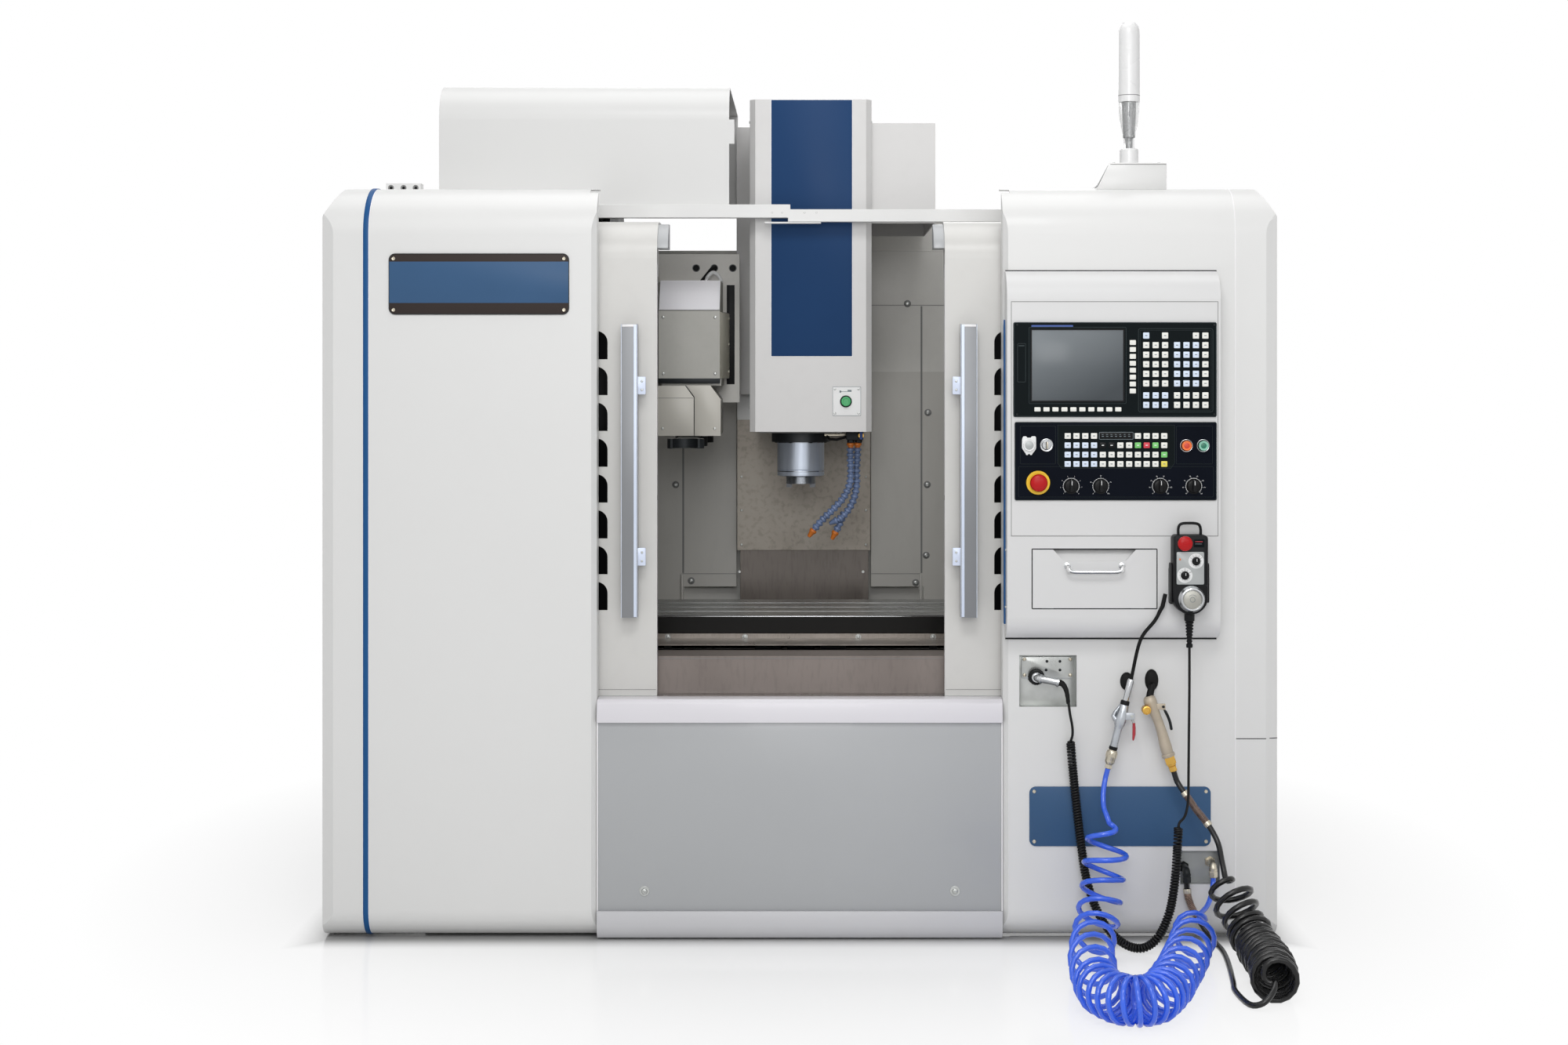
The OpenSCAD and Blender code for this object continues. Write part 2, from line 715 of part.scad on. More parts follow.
// Side outline of a tower, inset by t
module tower_side(t) {
    difference() {
        translate([front_y + t, ground_gap]) square([tower_d - t + eps * t, tower_h - ground_gap - t]);
        translate([front_y + t, tower_h - t]) mirror([0, 1]) corner_cut(nose_r - t);
        translate([front_y + t, ground_gap]) corner_cut(foot_r - t);
    }
}

// The full form of the right tower, inset by t
module tower_form(t) {
    bevel = [28, 11];
    lip = 12;
    slope = [40, 70];
    shift = t * unit([slope[1], slope[0]]);
    intersection() {
        along_x(tower_in - 2, tower_w + 4) tower_side(t);
        linear_extrude(tower_h + 10)
            polygon([[tower_in + t, front_y + lip], [tower_in + lip, front_y - eps],
                     [half_w - bevel[0] - 0.19 * t, front_y + (t > 0 ? t : -eps)],
                     [half_w - t, front_y + bevel[1] + 0.68 * t], [half_w - t, back_y], [tower_in + t, back_y]]);
        along_y(front_y - 5, tower_d + 10)
            polygon([[tower_in, 0], [half_w - shift[0], 0], [half_w - shift[0], tower_h - slope[1] - shift[1]],
                     [half_w - slope[0] - shift[0], tower_h - shift[1]], [tower_in, tower_h - shift[1]]]);
    }
}

roof_cut = 42;

// Sheet shell of the right tower: front, roof over the doors, side panel and a return beside the doorway
module tower_shell() {
    return_d = 60;
    flange = 40;
    difference() {
        tower_form(0);
        tower_form(sheet_t);
        block([tower_in - 5, tower_in + 20], [front_y + return_d, back_y], [-5, tower_h - sheet_t]);
        block([tower_in + 8, half_w - 8], [front_y + foot_r, back_y], [0, ground_gap + sheet_t + 1]);
        block([tower_in - 5, half_w - flange], [roof_back_y, back_y], [tower_h - 60, tower_h + 5]);
        block([tower_in - 5, tower_in + roof_cut], [front_y + nose_r + 10, roof_back_y + 1], [tower_h - 60, tower_h + 5]);
    }
}

module left_tower() {
    bracket_x = [-tower_in - 522, -tower_in - 439];
    color("#dedede") {
        mirror([1, 0, 0]) tower_shell();
        difference() {
            block(bracket_x, [front_y + 210, front_y + 250], [tower_h, tower_h + 23]);
            for (x = [bracket_x[0] + 12, bracket_x[0] + 42, bracket_x[1] - 12])
                rod_y(x, tower_h + 12, front_y + 209, 42, 4);
        }
    }
}

// Places on the right tower's front, as distances from the tower's inner edge
socket_x = [tower_in + 37, tower_in + 169];
socket_z = [538, 657];
outlet_x = [tower_in + 407, tower_in + 498];
outlet_z = [130, 207];
drawer_x = [panel_x + 56, panel_x + 341];
drawer_z = [770, 907];
screen_x = [panel_x + 17, panel_x + 475];
screen_z = [1206, 1421];
op_x = screen_x;
op_z = [1017, 1192];
drawer_d = 120;

module right_tower() {
    color("#dedede")
        difference() {
            tower_shell();
            block(socket_x, [front_y - 1, front_y + 8], socket_z);
            block(outlet_x, [front_y - 1, front_y + 8], outlet_z);
            block([drawer_x[0] + 3, drawer_x[1] - 3], [front_y - 1, front_y + 8], [drawer_z[0] - 12, drawer_z[1] - 3]);
            block([screen_x[0] + 2, screen_x[1] - 2], [front_y - 1, front_y + 8], [op_z[0] + 2, screen_z[1] - 2]);
        }
}

// Sill, apron and bottom lip between the towers
module front_guard() {
    t = sheet_t;
    sill_low = sill_top - 53;
    w = 2 * tower_in;
    inner_low = 440;
    color("#e3e0e6")
        along_x(-tower_in, w)
            polygon([[front_y, sill_low], [front_y + 6, sill_top - 9], [front_y + 16, sill_top],
                     [front_y + 63, sill_top], [front_y + 63, inner_low], [front_y + 60, inner_low],
                     [front_y + 60, sill_top - t], [front_y + 18, sill_top - t], [front_y + 9, sill_top - 11],
                     [front_y + t, sill_low + t], [front_y + 14, sill_low + t], [front_y + 14, sill_low]]);
    color("#a9abad")
        block([2 - tower_in, tower_in - 2], [front_y + 10, front_y + 14], [apron_low, sill_low]);
    color("#dedede")
        along_x(-tower_in, w)
            polygon([[front_y, apron_low], [front_y, 34], [front_y + 12, ground_gap], [front_y + 60, ground_gap],
                     [front_y + 60, ground_gap + t], [front_y + 14, ground_gap + t], [front_y + t, 35],
                     [front_y + t, apron_low - t], [front_y + 14, apron_low - t], [front_y + 14, apron_low]]);
    color("silver") {
        for (s = [-1, 1])
            rod_y(s * (tower_in - 110), apron_low + 45, front_y + 6, 4, 7);
        block([-half_w + 60, half_w - 60], [front_y + 62, door_back_y + 2], [sill_top - 8, sill_top - seat_gap]);
    }
}

// Rear chip guard, chip pan, front way cover and lower column way cover
module work_area_guards() {
    t = sheet_t;
    high = tower_h - 89;
    pan_z = [440, 440 + t];
    side = half_w - t;
    opening = [rear_left - 3, rear_right + 3];
    front_cover_y = front_y + 107;
    cover_end_y = spindle_y - table_w / 2 - y_travel / 2 - 4;
    color("#a09f9a") {
        difference() {
            block([-side, side], [guard_y, guard_y + t], [pan_z[0], high]);
            block(opening, [guard_y - 1, guard_y + t + 1], [pan_z[0] - 1, high + 1]);
            for (x = [-327, 191])
                block([x, x + 148], [guard_y - 1, guard_y + t + 1], [679, 716]);
            block([disc_x + 9 - pot_r - 6, disc_x + 9 + pot_r + 6], [guard_y - 1, guard_y + t + 1],
                  [disc_z - pot_circle_r + 20, high + 1]);
            block([changer_arm_x[0] - 2, changer_arm_x[1] + 4], [guard_y - 1, guard_y + t + 1], [1288, 1482]);
        }
        block([opening[1], tower_in], [guard_y, guard_y + t], [high + eps, tower_h - 6]);
        block([tower_in - eps, side], [guard_y, guard_y + t], [high + eps, tower_h - 72]);
        for (s = [-1, 1])
            block([s > 0 ? 200 : -235, s > 0 ? 235 : -200], [guard_y + t, column_y], [800, 850]);
        difference() {
            block([-side, side], [front_y + 63, guard_y], pan_z);
            block([-bed_half - 2, bed_half + 2], [bed_front_y - 2, guard_y + 1], [pan_z[0] - 1, pan_z[1] + 1]);
            block([-motor_half - 15, motor_half + 15], [front_cover_y + t, bed_front_y], [pan_z[0] - 1, pan_z[1] + 1]);
        }
    }
    color("#857b76") {
        block([-saddle_half - 20, saddle_half + 20], [front_cover_y, front_cover_y + t], [pan_z[1], 642]);
        block([-saddle_half - 20, saddle_half + 20], [front_cover_y + t, cover_end_y], [642 - t, 642]);
        for (s = [-1, 1])
            block([s > 0 ? saddle_half + 17 : -saddle_half - 20, s > 0 ? saddle_half + 20 : -saddle_half - 17],
                  [front_cover_y + t, cover_end_y], [pan_z[1], 642 - t]);
    }
    color("#8f8a83") {
        block([rear_left + 8, rear_right - 5], [cover_y + 5, cover_y + 8], [632, head_low - 100]);
        for (x = [rear_left + 8, rear_right - 8])
            block([x, x + 3], [cover_y + 8, column_y], [700, head_low - 100]);
    }
}

// Cross rail that carries the rear rollers of the doors
module door_beam() {
    y = [roof_back_y - 30, roof_back_y - 2];
    joint_x = -25;
    color("#dedede") {
        block([60 - half_w, joint_x], y, [beam_z, beam_z + 33]);
        block([joint_x - 6, half_w - 60], y, [beam_z - 10, beam_z + 22 - 1]);
        block([joint_x - 64, joint_x + 76], [y[0] + 2, y[1] - 2], [beam_z - 14, beam_z - 10]);
        for (s = [-1, 1])
            let (x = tower_in + roof_cut)
                block([s > 0 ? x : -x - 14, s > 0 ? x + 14 : -x], y, [beam_z + 20, tower_h - sheet_t]);
    }
}

// Side outline of a door panel with its roof, outer skin
module door_outline(grow) {
    difference() {
        translate([door_y + grow, door_low]) square([roof_back_y - 36 - door_y - grow, door_high - door_low - grow]);
        translate([door_y + grow, door_high - grow]) mirror([0, 1]) corner_cut(door_nose_r - grow);
        translate([door_back_y, door_low - eps]) square([500, door_high - door_low - door_nose_r - 40]);
    }
}

// A door of the left side: folded panel with windows, a roof, a handle and two rollers under the rail.
// x is its meeting edge, rail_z the underside of its rail
module door(x, handle_x, rail_z) {
    t = sheet_t;
    window_r = 26;
    far = x - door_w;
    bracket_w = 18;
    handle_y = door_y - 48;
    handle_z = door_low + 187;
    roller_r = 8;
    roller_z = rail_z - 0.4 - roller_r;
    roller_y = roof_back_y - 34;
    color("#d0cfcb") {
        difference() {
            along_x(far, door_w) door_outline(0);
            along_x(far + t, door_w - 2 * t)
                difference() {
                    door_outline(t);
                    translate([door_back_y - t, door_low - 1]) square([500, door_high - door_low - door_nose_r - 39]);
                    translate([door_y, door_low - 1]) square([500, t + 1]);
                }
            along_x(far - 1, door_w + 2)
                translate([door_y + 60, door_high - door_nose_r - 43]) square([600, door_nose_r + 40 - t]);
            for (i = [0 : window_count - 1])
                translate([x - 115 - window_w, door_y - 1, windows_top - i * window_pitch - window_h])
                    along_y(0, t + 2) window_shape(window_w, window_h, window_r);
        }
    }
    color("#8b97a0") {
        block([handle_x - handle_w / 2, handle_x + handle_w / 2], [handle_y, handle_y + 22], [handle_z, handle_z + handle_l]);
        for (z = [handle_z + 120, handle_z + 516]) {
            block([handle_x, handle_x + handle_w / 2 + bracket_w], [handle_y + 8, handle_y + 14], [z, z + 40]);
            block([handle_x - 9, handle_x + 9], [handle_y + 22, door_y], [z + 5, z + 35]);
        }
    }
    color("#202020")
        for (u = [far + 60, x - 200]) {
            block([u - 7, u + 7], [roller_y - 6, roller_y], [door_high - t, roller_z + 7]);
            rod_y(u, roller_z, roller_y - eps, 26, roller_r);
        }
}

// Window with one rounded upper corner, lower left corner at the origin
module window_shape(w, h, r) {
    difference() {
        square([w, h]);
        translate([w, h]) mirror([1, 0]) mirror([0, 1]) corner_cut(r);
    }
}

module left_door() {
    door(left_edge, left_edge - 61, beam_z);
}

module right_door() {
    mirror([1, 0, 0]) door(-right_edge, -right_edge - 53, beam_z - 10);
}

// Bracket and stacked signal lamp on the right tower
module signal_lamp() {
    x = tower_in + 310;
    y = front_y + 150;
    top = tower_h + 62;
    color("#e6e6e4") {
        along_y(y - 45, 90)
            polygon([[x - 82, tower_h], [x + 82, tower_h], [x + 82, top], [x - 58, top], [x - 82, tower_h + 8]]);
    }
    color("#c9ccd0") translate([x, y, top]) {
        cylinder(r = 22, h = 37);
        translate([0, 0, 37]) cylinder(r1 = 12.5, r2 = 25, h = 111);
        translate([0, 0, 148]) cylinder(r = 25, h = 162);
        translate([0, 0, 310]) cylinder(r1 = 25, r2 = 18, h = 25);
    }
}

// ---- Operator panel ----

// Casing of the operator panel, curved above and below, with openings for the units and the drawer
module panel_housing() {
    t = sheet_t;
    r_top = 66;
    r_low = 50;
    color("#dedede")
        difference() {
            along_x(panel_x, panel_w) housing_side(0, r_top, r_low);
            along_x(panel_x + t, panel_w - 2 * t) housing_side(t, r_top - t, r_low - t);
            block(drawer_x, [panel_y - 1, panel_y + t + 1], drawer_z);
            block([screen_x[0] + 4, screen_x[1] - 4], [panel_y - 1, panel_y + t + 1], [screen_z[0] + 4, screen_z[1] - 4]);
            block([op_x[0] + 4, op_x[1] - 4], [panel_y - 1, panel_y + t + 1], [op_z[0] + 4, op_z[1] - 4]);
        }
    color("silver")
        for (x = [drawer_x[0] + 30, drawer_x[1] - 50]) {
            block([x, x + 20], [panel_y + t - eps, panel_y + drawer_d], [drawer_z[0] - 10, drawer_z[0]]);
            block([x, x + 20], [panel_y + t + 1, panel_y + drawer_d], [drawer_z[0] - eps, drawer_z[0] + 8 - seat_gap]);
        }
}

// Side outline of the housing, inset by t and open at the back
module housing_side(t, r_top, r_low) {
    difference() {
        translate([panel_y + t, panel_low + t]) square([panel_proud - t + (t > 0 ? eps : 0), panel_high - panel_low - 2 * t]);
        translate([panel_y + t, panel_high - t]) mirror([0, 1]) corner_cut(r_top);
        translate([panel_y + t, panel_low + t]) corner_cut(r_low);
    }
}

// Control unit with a screen, soft keys and a key field
module screen_unit() {
    face_y = panel_y - 4;
    glass_x = [screen_x[0] + 38, screen_x[0] + 249];
    glass_z = [screen_z[0] + 38, screen_z[1] - 20];
    color("#1c2426")
        difference() {
            union() {
                block(screen_x, [face_y, panel_y], screen_z);
                block([screen_x[0] + 5, screen_x[1] - 5], [panel_y, panel_y + 85], [screen_z[0] + 5, screen_z[1] - 5]);
            }
            block(glass_x, [face_y - 1, face_y + 3], glass_z);
        }
    color("#70767c")
        block(glass_x, [face_y + 1.5, face_y + 3], glass_z);
    color("#e5e5e0") {
        for (i = [0 : 7])
            block([screen_x[0] + 263, screen_x[0] + 276], [face_y - 2, face_y], [screen_z[0] + 53.5 + 15.7 * i, screen_z[0] + 64.5 + 15.7 * i]);
        for (i = [0 : 9])
            block([screen_x[0] + 44.5 + 20.35 * i, screen_x[0] + 58.5 + 20.35 * i], [face_y - 2, face_y], [screen_z[0] + 12, screen_z[0] + 22]);
        for (i = [0 : 6], j = [0 : 7])
            if (j < 7 || i == 0 || i == 2 || i > 4)
                let (x = screen_x[0] + 298 + 21.4 * i + (i > 2 ? 5.7 : 0), z = screen_z[0] + 27.4 + 21.7 * j + (j > 1 ? 5.4 : 0))
                    block([x - 7, x + 7], [face_y - 2, face_y], [z - 7, z + 7]);
    }
}

// Control places on the operation panel: X from its left edge, Z from its lower edge
stop_at = [op_x[0] + 53, op_z[0] + 40];
key_at = [op_x[0] + 72, op_z[0] + 125];
hold_at = [op_x[0] + 389, op_z[0] + 124];
start_at = [op_x[0] + 427, op_z[0] + 124];
selector_at = [for (x = [128, 195, 330, 406]) [op_x[0] + x, op_z[0] + 32]];
op_face_y = panel_y - 4;
stem_gap = 0.5;

// Operation panel with its rows of keys and the openings for its controls
module operation_panel() {
    color("#1c2426")
        difference() {
            union() {
                block(op_x, [op_face_y, panel_y], op_z);
                block([op_x[0] + 5, op_x[1] - 5], [panel_y, panel_y + 60], [op_z[0] + 5, op_z[1] - 5]);
                rod_y(stop_at[0], stop_at[1], op_face_y - 3, 4, 27);
                for (p = [key_at, hold_at, start_at]) rod_y(p[0], p[1], op_face_y - 3, 4, 15);
                rod_y(op_x[0] + 32, op_z[0] + 125, op_face_y - 18, 19, 14);
            }
            for (p = [stop_at, hold_at, start_at])
                rod_y(p[0], p[1], op_face_y - 4, 50, 9 + stem_gap);
            for (p = [hold_at, start_at])
                rod_y(p[0], p[1], op_face_y - 4, 3.5, 11 + stem_gap);
            for (p = concat([key_at], selector_at))
                rod_y(p[0], p[1], op_face_y - 4, 34, 5 + run_gap);
        }
    color("#e5e5e0")
        for (j = [0 : 3], i = [0 : 11])
            if (j < 3 || i < 4 || i > 7)
                block([op_x[0] + 113 + 19.9 * i, op_x[0] + 127 + 19.9 * i], [op_face_y - 2, op_face_y],
                      [op_z[0] + 76 + 21.2 * j, op_z[0] + 89 + 21.2 * j]);
}

// Mushroom push button of the emergency stop
module emergency_stop() {
    color("red") {
        rod_y(stop_at[0], stop_at[1], op_face_y - 26, 16, stop_r);
        rod_y(stop_at[0], stop_at[1], op_face_y - 11, 45, 9);
    }
}

// A flat round push button at a control place
module push_button(p, length) {
    rod_y(p[0], p[1], op_face_y - 3 - length, length - 1, 11);
    rod_y(p[0], p[1], op_face_y - 5, 35, 9);
}

module cycle_start_button() {
    color("green") push_button(start_at, 9);
}

module feed_hold_button() {
    color("darkorange") push_button(hold_at, 9);
}

// Key switch with its key left in
module key_switch() {
    color("silver") {
        rod_y(key_at[0], key_at[1], op_face_y - 8, 4.5, 10);
        rod_y(key_at[0], key_at[1], op_face_y - 4, 30, 5);
        block([key_at[0] - 1.5, key_at[0] + 1.5], [op_face_y - 24, op_face_y - 7.5], [key_at[1] - 8, key_at[1] + 8]);
    }
}

// Rotary knob with a pointer rib, turned about Y
module selector(i) {
    p = selector_at[i];
    color("#1a1a1c") {
        rod_y(p[0], p[1], op_face_y - 6, 5.5, selector_r);
        rod_y(p[0], p[1], op_face_y - 1, 28, 5);
        block([p[0] - 3.5, p[0] + 3.5], [op_face_y - 18, op_face_y - 5.5], [p[1] - selector_r + 2, p[1] + selector_r - 1]);
    }
}

// Document drawer with a notched front and a wire pull
module drawer() {
    front = [panel_y - 1, panel_y + 3];
    gap = 2;
    x = [drawer_x[0] + gap, drawer_x[1] - gap];
    z = [drawer_z[0] + gap, drawer_z[1] - gap];
    mid = (x[0] + x[1]) / 2;
    inner_x = [x[0] + 6, x[1] - 6];
    inner_y = [front[1] - eps, panel_y + drawer_d];
    inner_z = [z[0] + 6, z[1] - 30];
    color("#dcdcda") {
        along_y(front[0], front[1] - front[0])
            polygon([[x[0], z[0]], [x[1], z[0]], [x[1], z[1]], [mid + 94, z[1]], [mid + 70, z[1] - 26],
                     [mid - 70, z[1] - 26], [mid - 94, z[1]], [x[0], z[1]]]);
        along_x(mid - 96, 192)
            polygon([[inner_y[0], z[1] - 29], [front[1] + 1, z[1] - 29], [front[1] + 16, z[1] - 1],
                     [front[1] + 13, z[1] - 1], [inner_y[0], z[1] - 26]]);
        for (u = [mid - 96, mid + 94])
            along_x(u, 2) polygon([[inner_y[0], z[1] - 29], [front[1] + 16, z[1] - 1], [inner_y[0], z[1] - 1]]);
        difference() {
            block(inner_x, inner_y, inner_z);
            block([inner_x[0] + 2, inner_x[1] - 2], [inner_y[0] + eps, inner_y[1] - 2], [inner_z[0] + 2, inner_z[1] + 1]);
        }
    }
    color("silver")
        bent_bar([[mid - 62, front[0], 868], [mid - 62, front[0] - 18, 866], [mid - 52, front[0] - 20, 856],
                  [mid + 52, front[0] - 20, 856], [mid + 62, front[0] - 18, 866], [mid + 62, front[0], 868]], 3.5);
}

// ---- Pendant, guns and sockets ----

pendant_x = panel_x + 409;
pendant_low = 762;
pendant_h = 179;
pendant_back_y = panel_y - 6;
pendant_face_y = pendant_back_y - pendant_t;
pendant_stop_at = [pendant_x - 15, pendant_low + 161];
axis_at = [pendant_x + 11, pendant_low + 121];
step_at = [pendant_x - 14, pendant_low + 89];
wheel_at = [pendant_x, pendant_low + 36];

// Hand-held pendant with its holder, hanging loop and strain relief
module pendant() {
    half = 39;
    loop_z = pendant_low + pendant_h;
    mid_y = pendant_back_y - pendant_t / 2;
    color("#17181a") {
        difference() {
            along_y(pendant_face_y, pendant_t)
                union() {
                    translate([pendant_x, pendant_low + half]) circle(half);
                    translate([pendant_x - half, pendant_low + half]) square([2 * half, pendant_h - half - 6]);
                    translate([pendant_x - half + 6, pendant_low + half]) square([2 * half - 12, pendant_h - half]);
                }
            rod_y(pendant_stop_at[0], pendant_stop_at[1], pendant_face_y - 1, 22, 6 + stem_gap);
            for (p = [axis_at, step_at, wheel_at])
                rod_y(p[0], p[1], pendant_face_y - 1, 22, 4 + run_gap);
        }
        block([pendant_x - 43, pendant_x + 43], [panel_y - 6, panel_y], [pendant_low + 20, pendant_low + 105]);
        for (s = [-1, 1])
            block([pendant_x + (s > 0 ? half : -half - 4), pendant_x + (s > 0 ? half + 4 : -half)],
                  [pendant_face_y + 12, panel_y - 6], [pendant_low + 25, pendant_low + 115]);
        bent_bar([[pendant_x - 25, mid_y, loop_z - 2], [pendant_x - 25, mid_y, loop_z + 24],
                  [pendant_x + 25, mid_y, loop_z + 24], [pendant_x + 25, mid_y, loop_z - 2]], 3);
        translate([pendant_x, mid_y, pendant_low - 76]) {
            cylinder(r1 = 6, r2 = 10, h = 60);
            translate([0, 0, 60]) cylinder(r = 11, h = 17);
        }
    }
}

module pendant_stop() {
    color("red") {
        rod_y(pendant_stop_at[0], pendant_stop_at[1], pendant_face_y - 18, 12, 17);
        rod_y(pendant_stop_at[0], pendant_stop_at[1], pendant_face_y - 6.5, 18, 6);
    }
}

// Small pointer knob of the pendant
module pendant_knob(p) {
    rod_y(p[0], p[1], pendant_face_y - 14, 13.5, 9.5);
    rod_y(p[0], p[1], pendant_face_y - 1, 20, 4);
}

module pendant_axis_knob() {
    color("#111111") pendant_knob(axis_at);
}

module pendant_step_knob() {
    color("#111111") pendant_knob(step_at);
}

// Handwheel with a turning grip near its rim
module handwheel() {
    y = pendant_face_y - wheel_h;
    color("silver") {
        rod_y(wheel_at[0], wheel_at[1], y + 6, wheel_h - 6.5, wheel_r);
        rod_y(wheel_at[0], wheel_at[1], y, 7, wheel_r * 0.75);
        rod_y(wheel_at[0], wheel_at[1], pendant_face_y - 1, 20, 4);
    }
}

air_end = [tower_in + 235, front_y - 45, 404];
air_top = [tower_in + 289, front_y - 45, 612];
wash_top = [tower_in + 329, front_y - 45, 566];
wash_end = [tower_in + 385, front_y - 45, 398];
plug_x = socket_x[0] + 40;

// Recessed socket plates, the pendant's plug, the hose outlets and the hooks for the guns
module socket_panels() {
    depth = 25;
    t = 2;
    y = front_y + sheet_t;
    hooks = [[air_top[0] - 5, 597, 20, 36], [wash_top[0] + 12, 600, 24, 30.7]];
    color("#a9a8a3")
        for (r = [[socket_x, socket_z], [outlet_x, outlet_z]])
            difference() {
                block([r[0][0] - 8, r[0][1] + 8], [y, y + depth + t], [r[1][0] - 8, r[1][1] + 8]);
                block(r[0], [y - 1, y + depth], r[1]);
            }
    color("#1a1a1a") {
        rod_y(plug_x, 606, front_y - 6, 34, 16);
        for (h = hooks) {
            along_y(front_y - 8, 8)
                union() {
                    translate([h[0], h[1] + h[2] - 15]) circle(15);
                    translate([h[0], h[1] - h[2] + 15]) circle(15);
                    translate([h[0] - 15, h[1] - h[2] + 15]) square([30, 2 * h[2] - 30]);
                }
            rod_y(h[0], h[1] - 10, front_y - h[3], 28, 5);
        }
    }
    color("silver") {
        rod_y(plug_x, 606, front_y - 24, 18, 11);
        strut([plug_x, front_y - 20, 606], [plug_x + 49, front_y - 33, 598], 8);
        for (p = [[outlet_x[0] + 12, 165, 138], [outlet_x[0] + 73, 177, 150]]) {
            rod_y(p[0], p[1], front_y - 18, 46, 9);
            translate([p[0], front_y - 18, p[2]]) cylinder(r = 9, h = 36);
        }
    }
}

// A body of round steps from a to b: each step is its length and its radius
function spent(steps, i) = i == 0 ? 0 : spent(steps, i - 1) + steps[i - 1][0];
module stepped_body(a, b, steps) {
    d = b - a;
    translate(a) rotate([0, acos(d[2] / norm(d)), atan2(d[1], d[0])])
        for (i = [0 : len(steps) - 1])
            translate([0, 0, spent(steps, i)]) cylinder(r = steps[i][1], h = steps[i][0]);
}

// Blow gun with a bent nozzle, on its hook
module air_gun() {
    color("silver") {
        stepped_body(air_end, air_top, [[24, 9], [10, 12], [44, 9], [40, 14], [12, 11], [84, 8.5]]);
        trigger_pin(air_pivot, air_top[0] - 27);
    }
    color("#202020")
        bent_bar([air_top, air_top + [16, -29, 88], air_top + [47, -39, 133], air_top + [64, -43, 166],
                  air_top + [70, -45, 194]], 4);
}

// Coolant wash gun with a turning knob and a grip, on its hook
module coolant_gun() {
    color("#b5aa98") {
        stepped_body(wash_end, wash_top, [[12, 10], [22, 13], [34, 12], [70, 13.5], [39, 16]]);
        rod_y(wash_top[0] - 9, 540, front_y - 72, 30, 10);
        trigger_pin(wash_pivot, wash_top[0] + 8);
    }
    color("#3a3a3a")
        strut(wash_top, wash_top + [8, 6, 24], 8);
}

air_pivot = [air_top[0], 524];
wash_pivot = [wash_end[0] - 25, 546];
lever_y = front_y - 45;
pivot_r = 2;

// Lug and pin that a gun's trigger turns on; inner is the X where the lug meets the gun
module trigger_pin(p, inner) {
    block([inner, p[0] + 4], [lever_y - 9, lever_y - 6], [p[1] - 5, p[1] + 5]);
    rod_y(p[0], p[1], lever_y - 7, 13, pivot_r);
}

// Trigger with an eye at its pivot and a finger bar down to a list of points
module trigger(p, bend, end) {
    difference() {
        union() {
            rod_y(p[0], p[1], lever_y - 5, 10, 5.5);
            strut([p[0], lever_y, p[1] - 3], bend, 3.5);
            strut(bend - [0, 0, -2], end, 3.5);
        }
        rod_y(p[0], p[1], lever_y - 6, 12, pivot_r + run_gap);
    }
}

// Trigger of the blow gun, hinged at its upper end
module air_gun_lever() {
    color("#b02030") trigger(air_pivot, [air_top[0] + 5, lever_y - 1, 500], [air_top[0] + 3, lever_y - 3, 468]);
}

// Trigger of the coolant gun, hinged at its upper end
module coolant_gun_lever() {
    color("#303030") trigger(wash_pivot, [wash_end[0] - 13, lever_y, 522], [wash_end[0] - 5, lever_y, 492]);
}

// Plain name plates, with no lettering
module name_plates() {
    t = 3;
    left = [[-tower_in - 477, -tower_in - 62], [1440, 1581]];
    right = [[tower_in + 60, tower_in + 477], [218, 355]];
    color("#24446b")
        for (p = [left, right])
            along_y(front_y - t, t)
                translate([p[0][0], p[1][0]]) round_rect(p[0][1] - p[0][0], p[1][1] - p[1][0], 15);
}

// ---- Rear units ----

cabinet_half = 500;
cabinet_high = 1620;
cabinet_low = 120;
cabinet_front_y = column_back_y + 46;
cabinet_back_y = back_y - 31;
hinge_x = cabinet_half + 8;
hinge_y = back_y - 21;
hinge_zs = [420, 1320];

// Electrical cabinet on a plinth, with brackets to the column and hinge pins for its door
module electrical_cabinet() {
    t = 3;
    plate_y = cabinet_front_y + 25;
    color("#dcdcd8") {
        difference() {
            block([-cabinet_half, cabinet_half], [cabinet_front_y, cabinet_back_y], [0, cabinet_high]);
            block([t - cabinet_half, cabinet_half - t], [cabinet_front_y + t, cabinet_back_y + 1], [cabinet_low, cabinet_high - t]);
            block([40 - cabinet_half, cabinet_half - 40], [cabinet_front_y + 40, cabinet_back_y + 1], [-1, cabinet_low - t]);
        }
        for (s = [-1, 1])
            block([s > 0 ? 110 : -150, s > 0 ? 150 : -110], [column_back_y, cabinet_front_y], [1300, 1480]);
        block([-cabinet_half + 60, cabinet_half - 60], [cabinet_front_y + t, plate_y], [cabinet_low + 80, cabinet_high - 80]);
        for (z = hinge_zs) {
            block([cabinet_half, hinge_x + 5], [cabinet_back_y - 30, hinge_y + 4], [z, z + 8]);
            translate([hinge_x, hinge_y, z + 8 - eps]) cylinder(r = 3, h = 50);
        }
    }
    color("#303030")
        for (i = [0 : 4])
            block([-380 + 155 * i, -380 + 155 * i + 110], [plate_y, plate_y + 90], [900, 1150]);
}

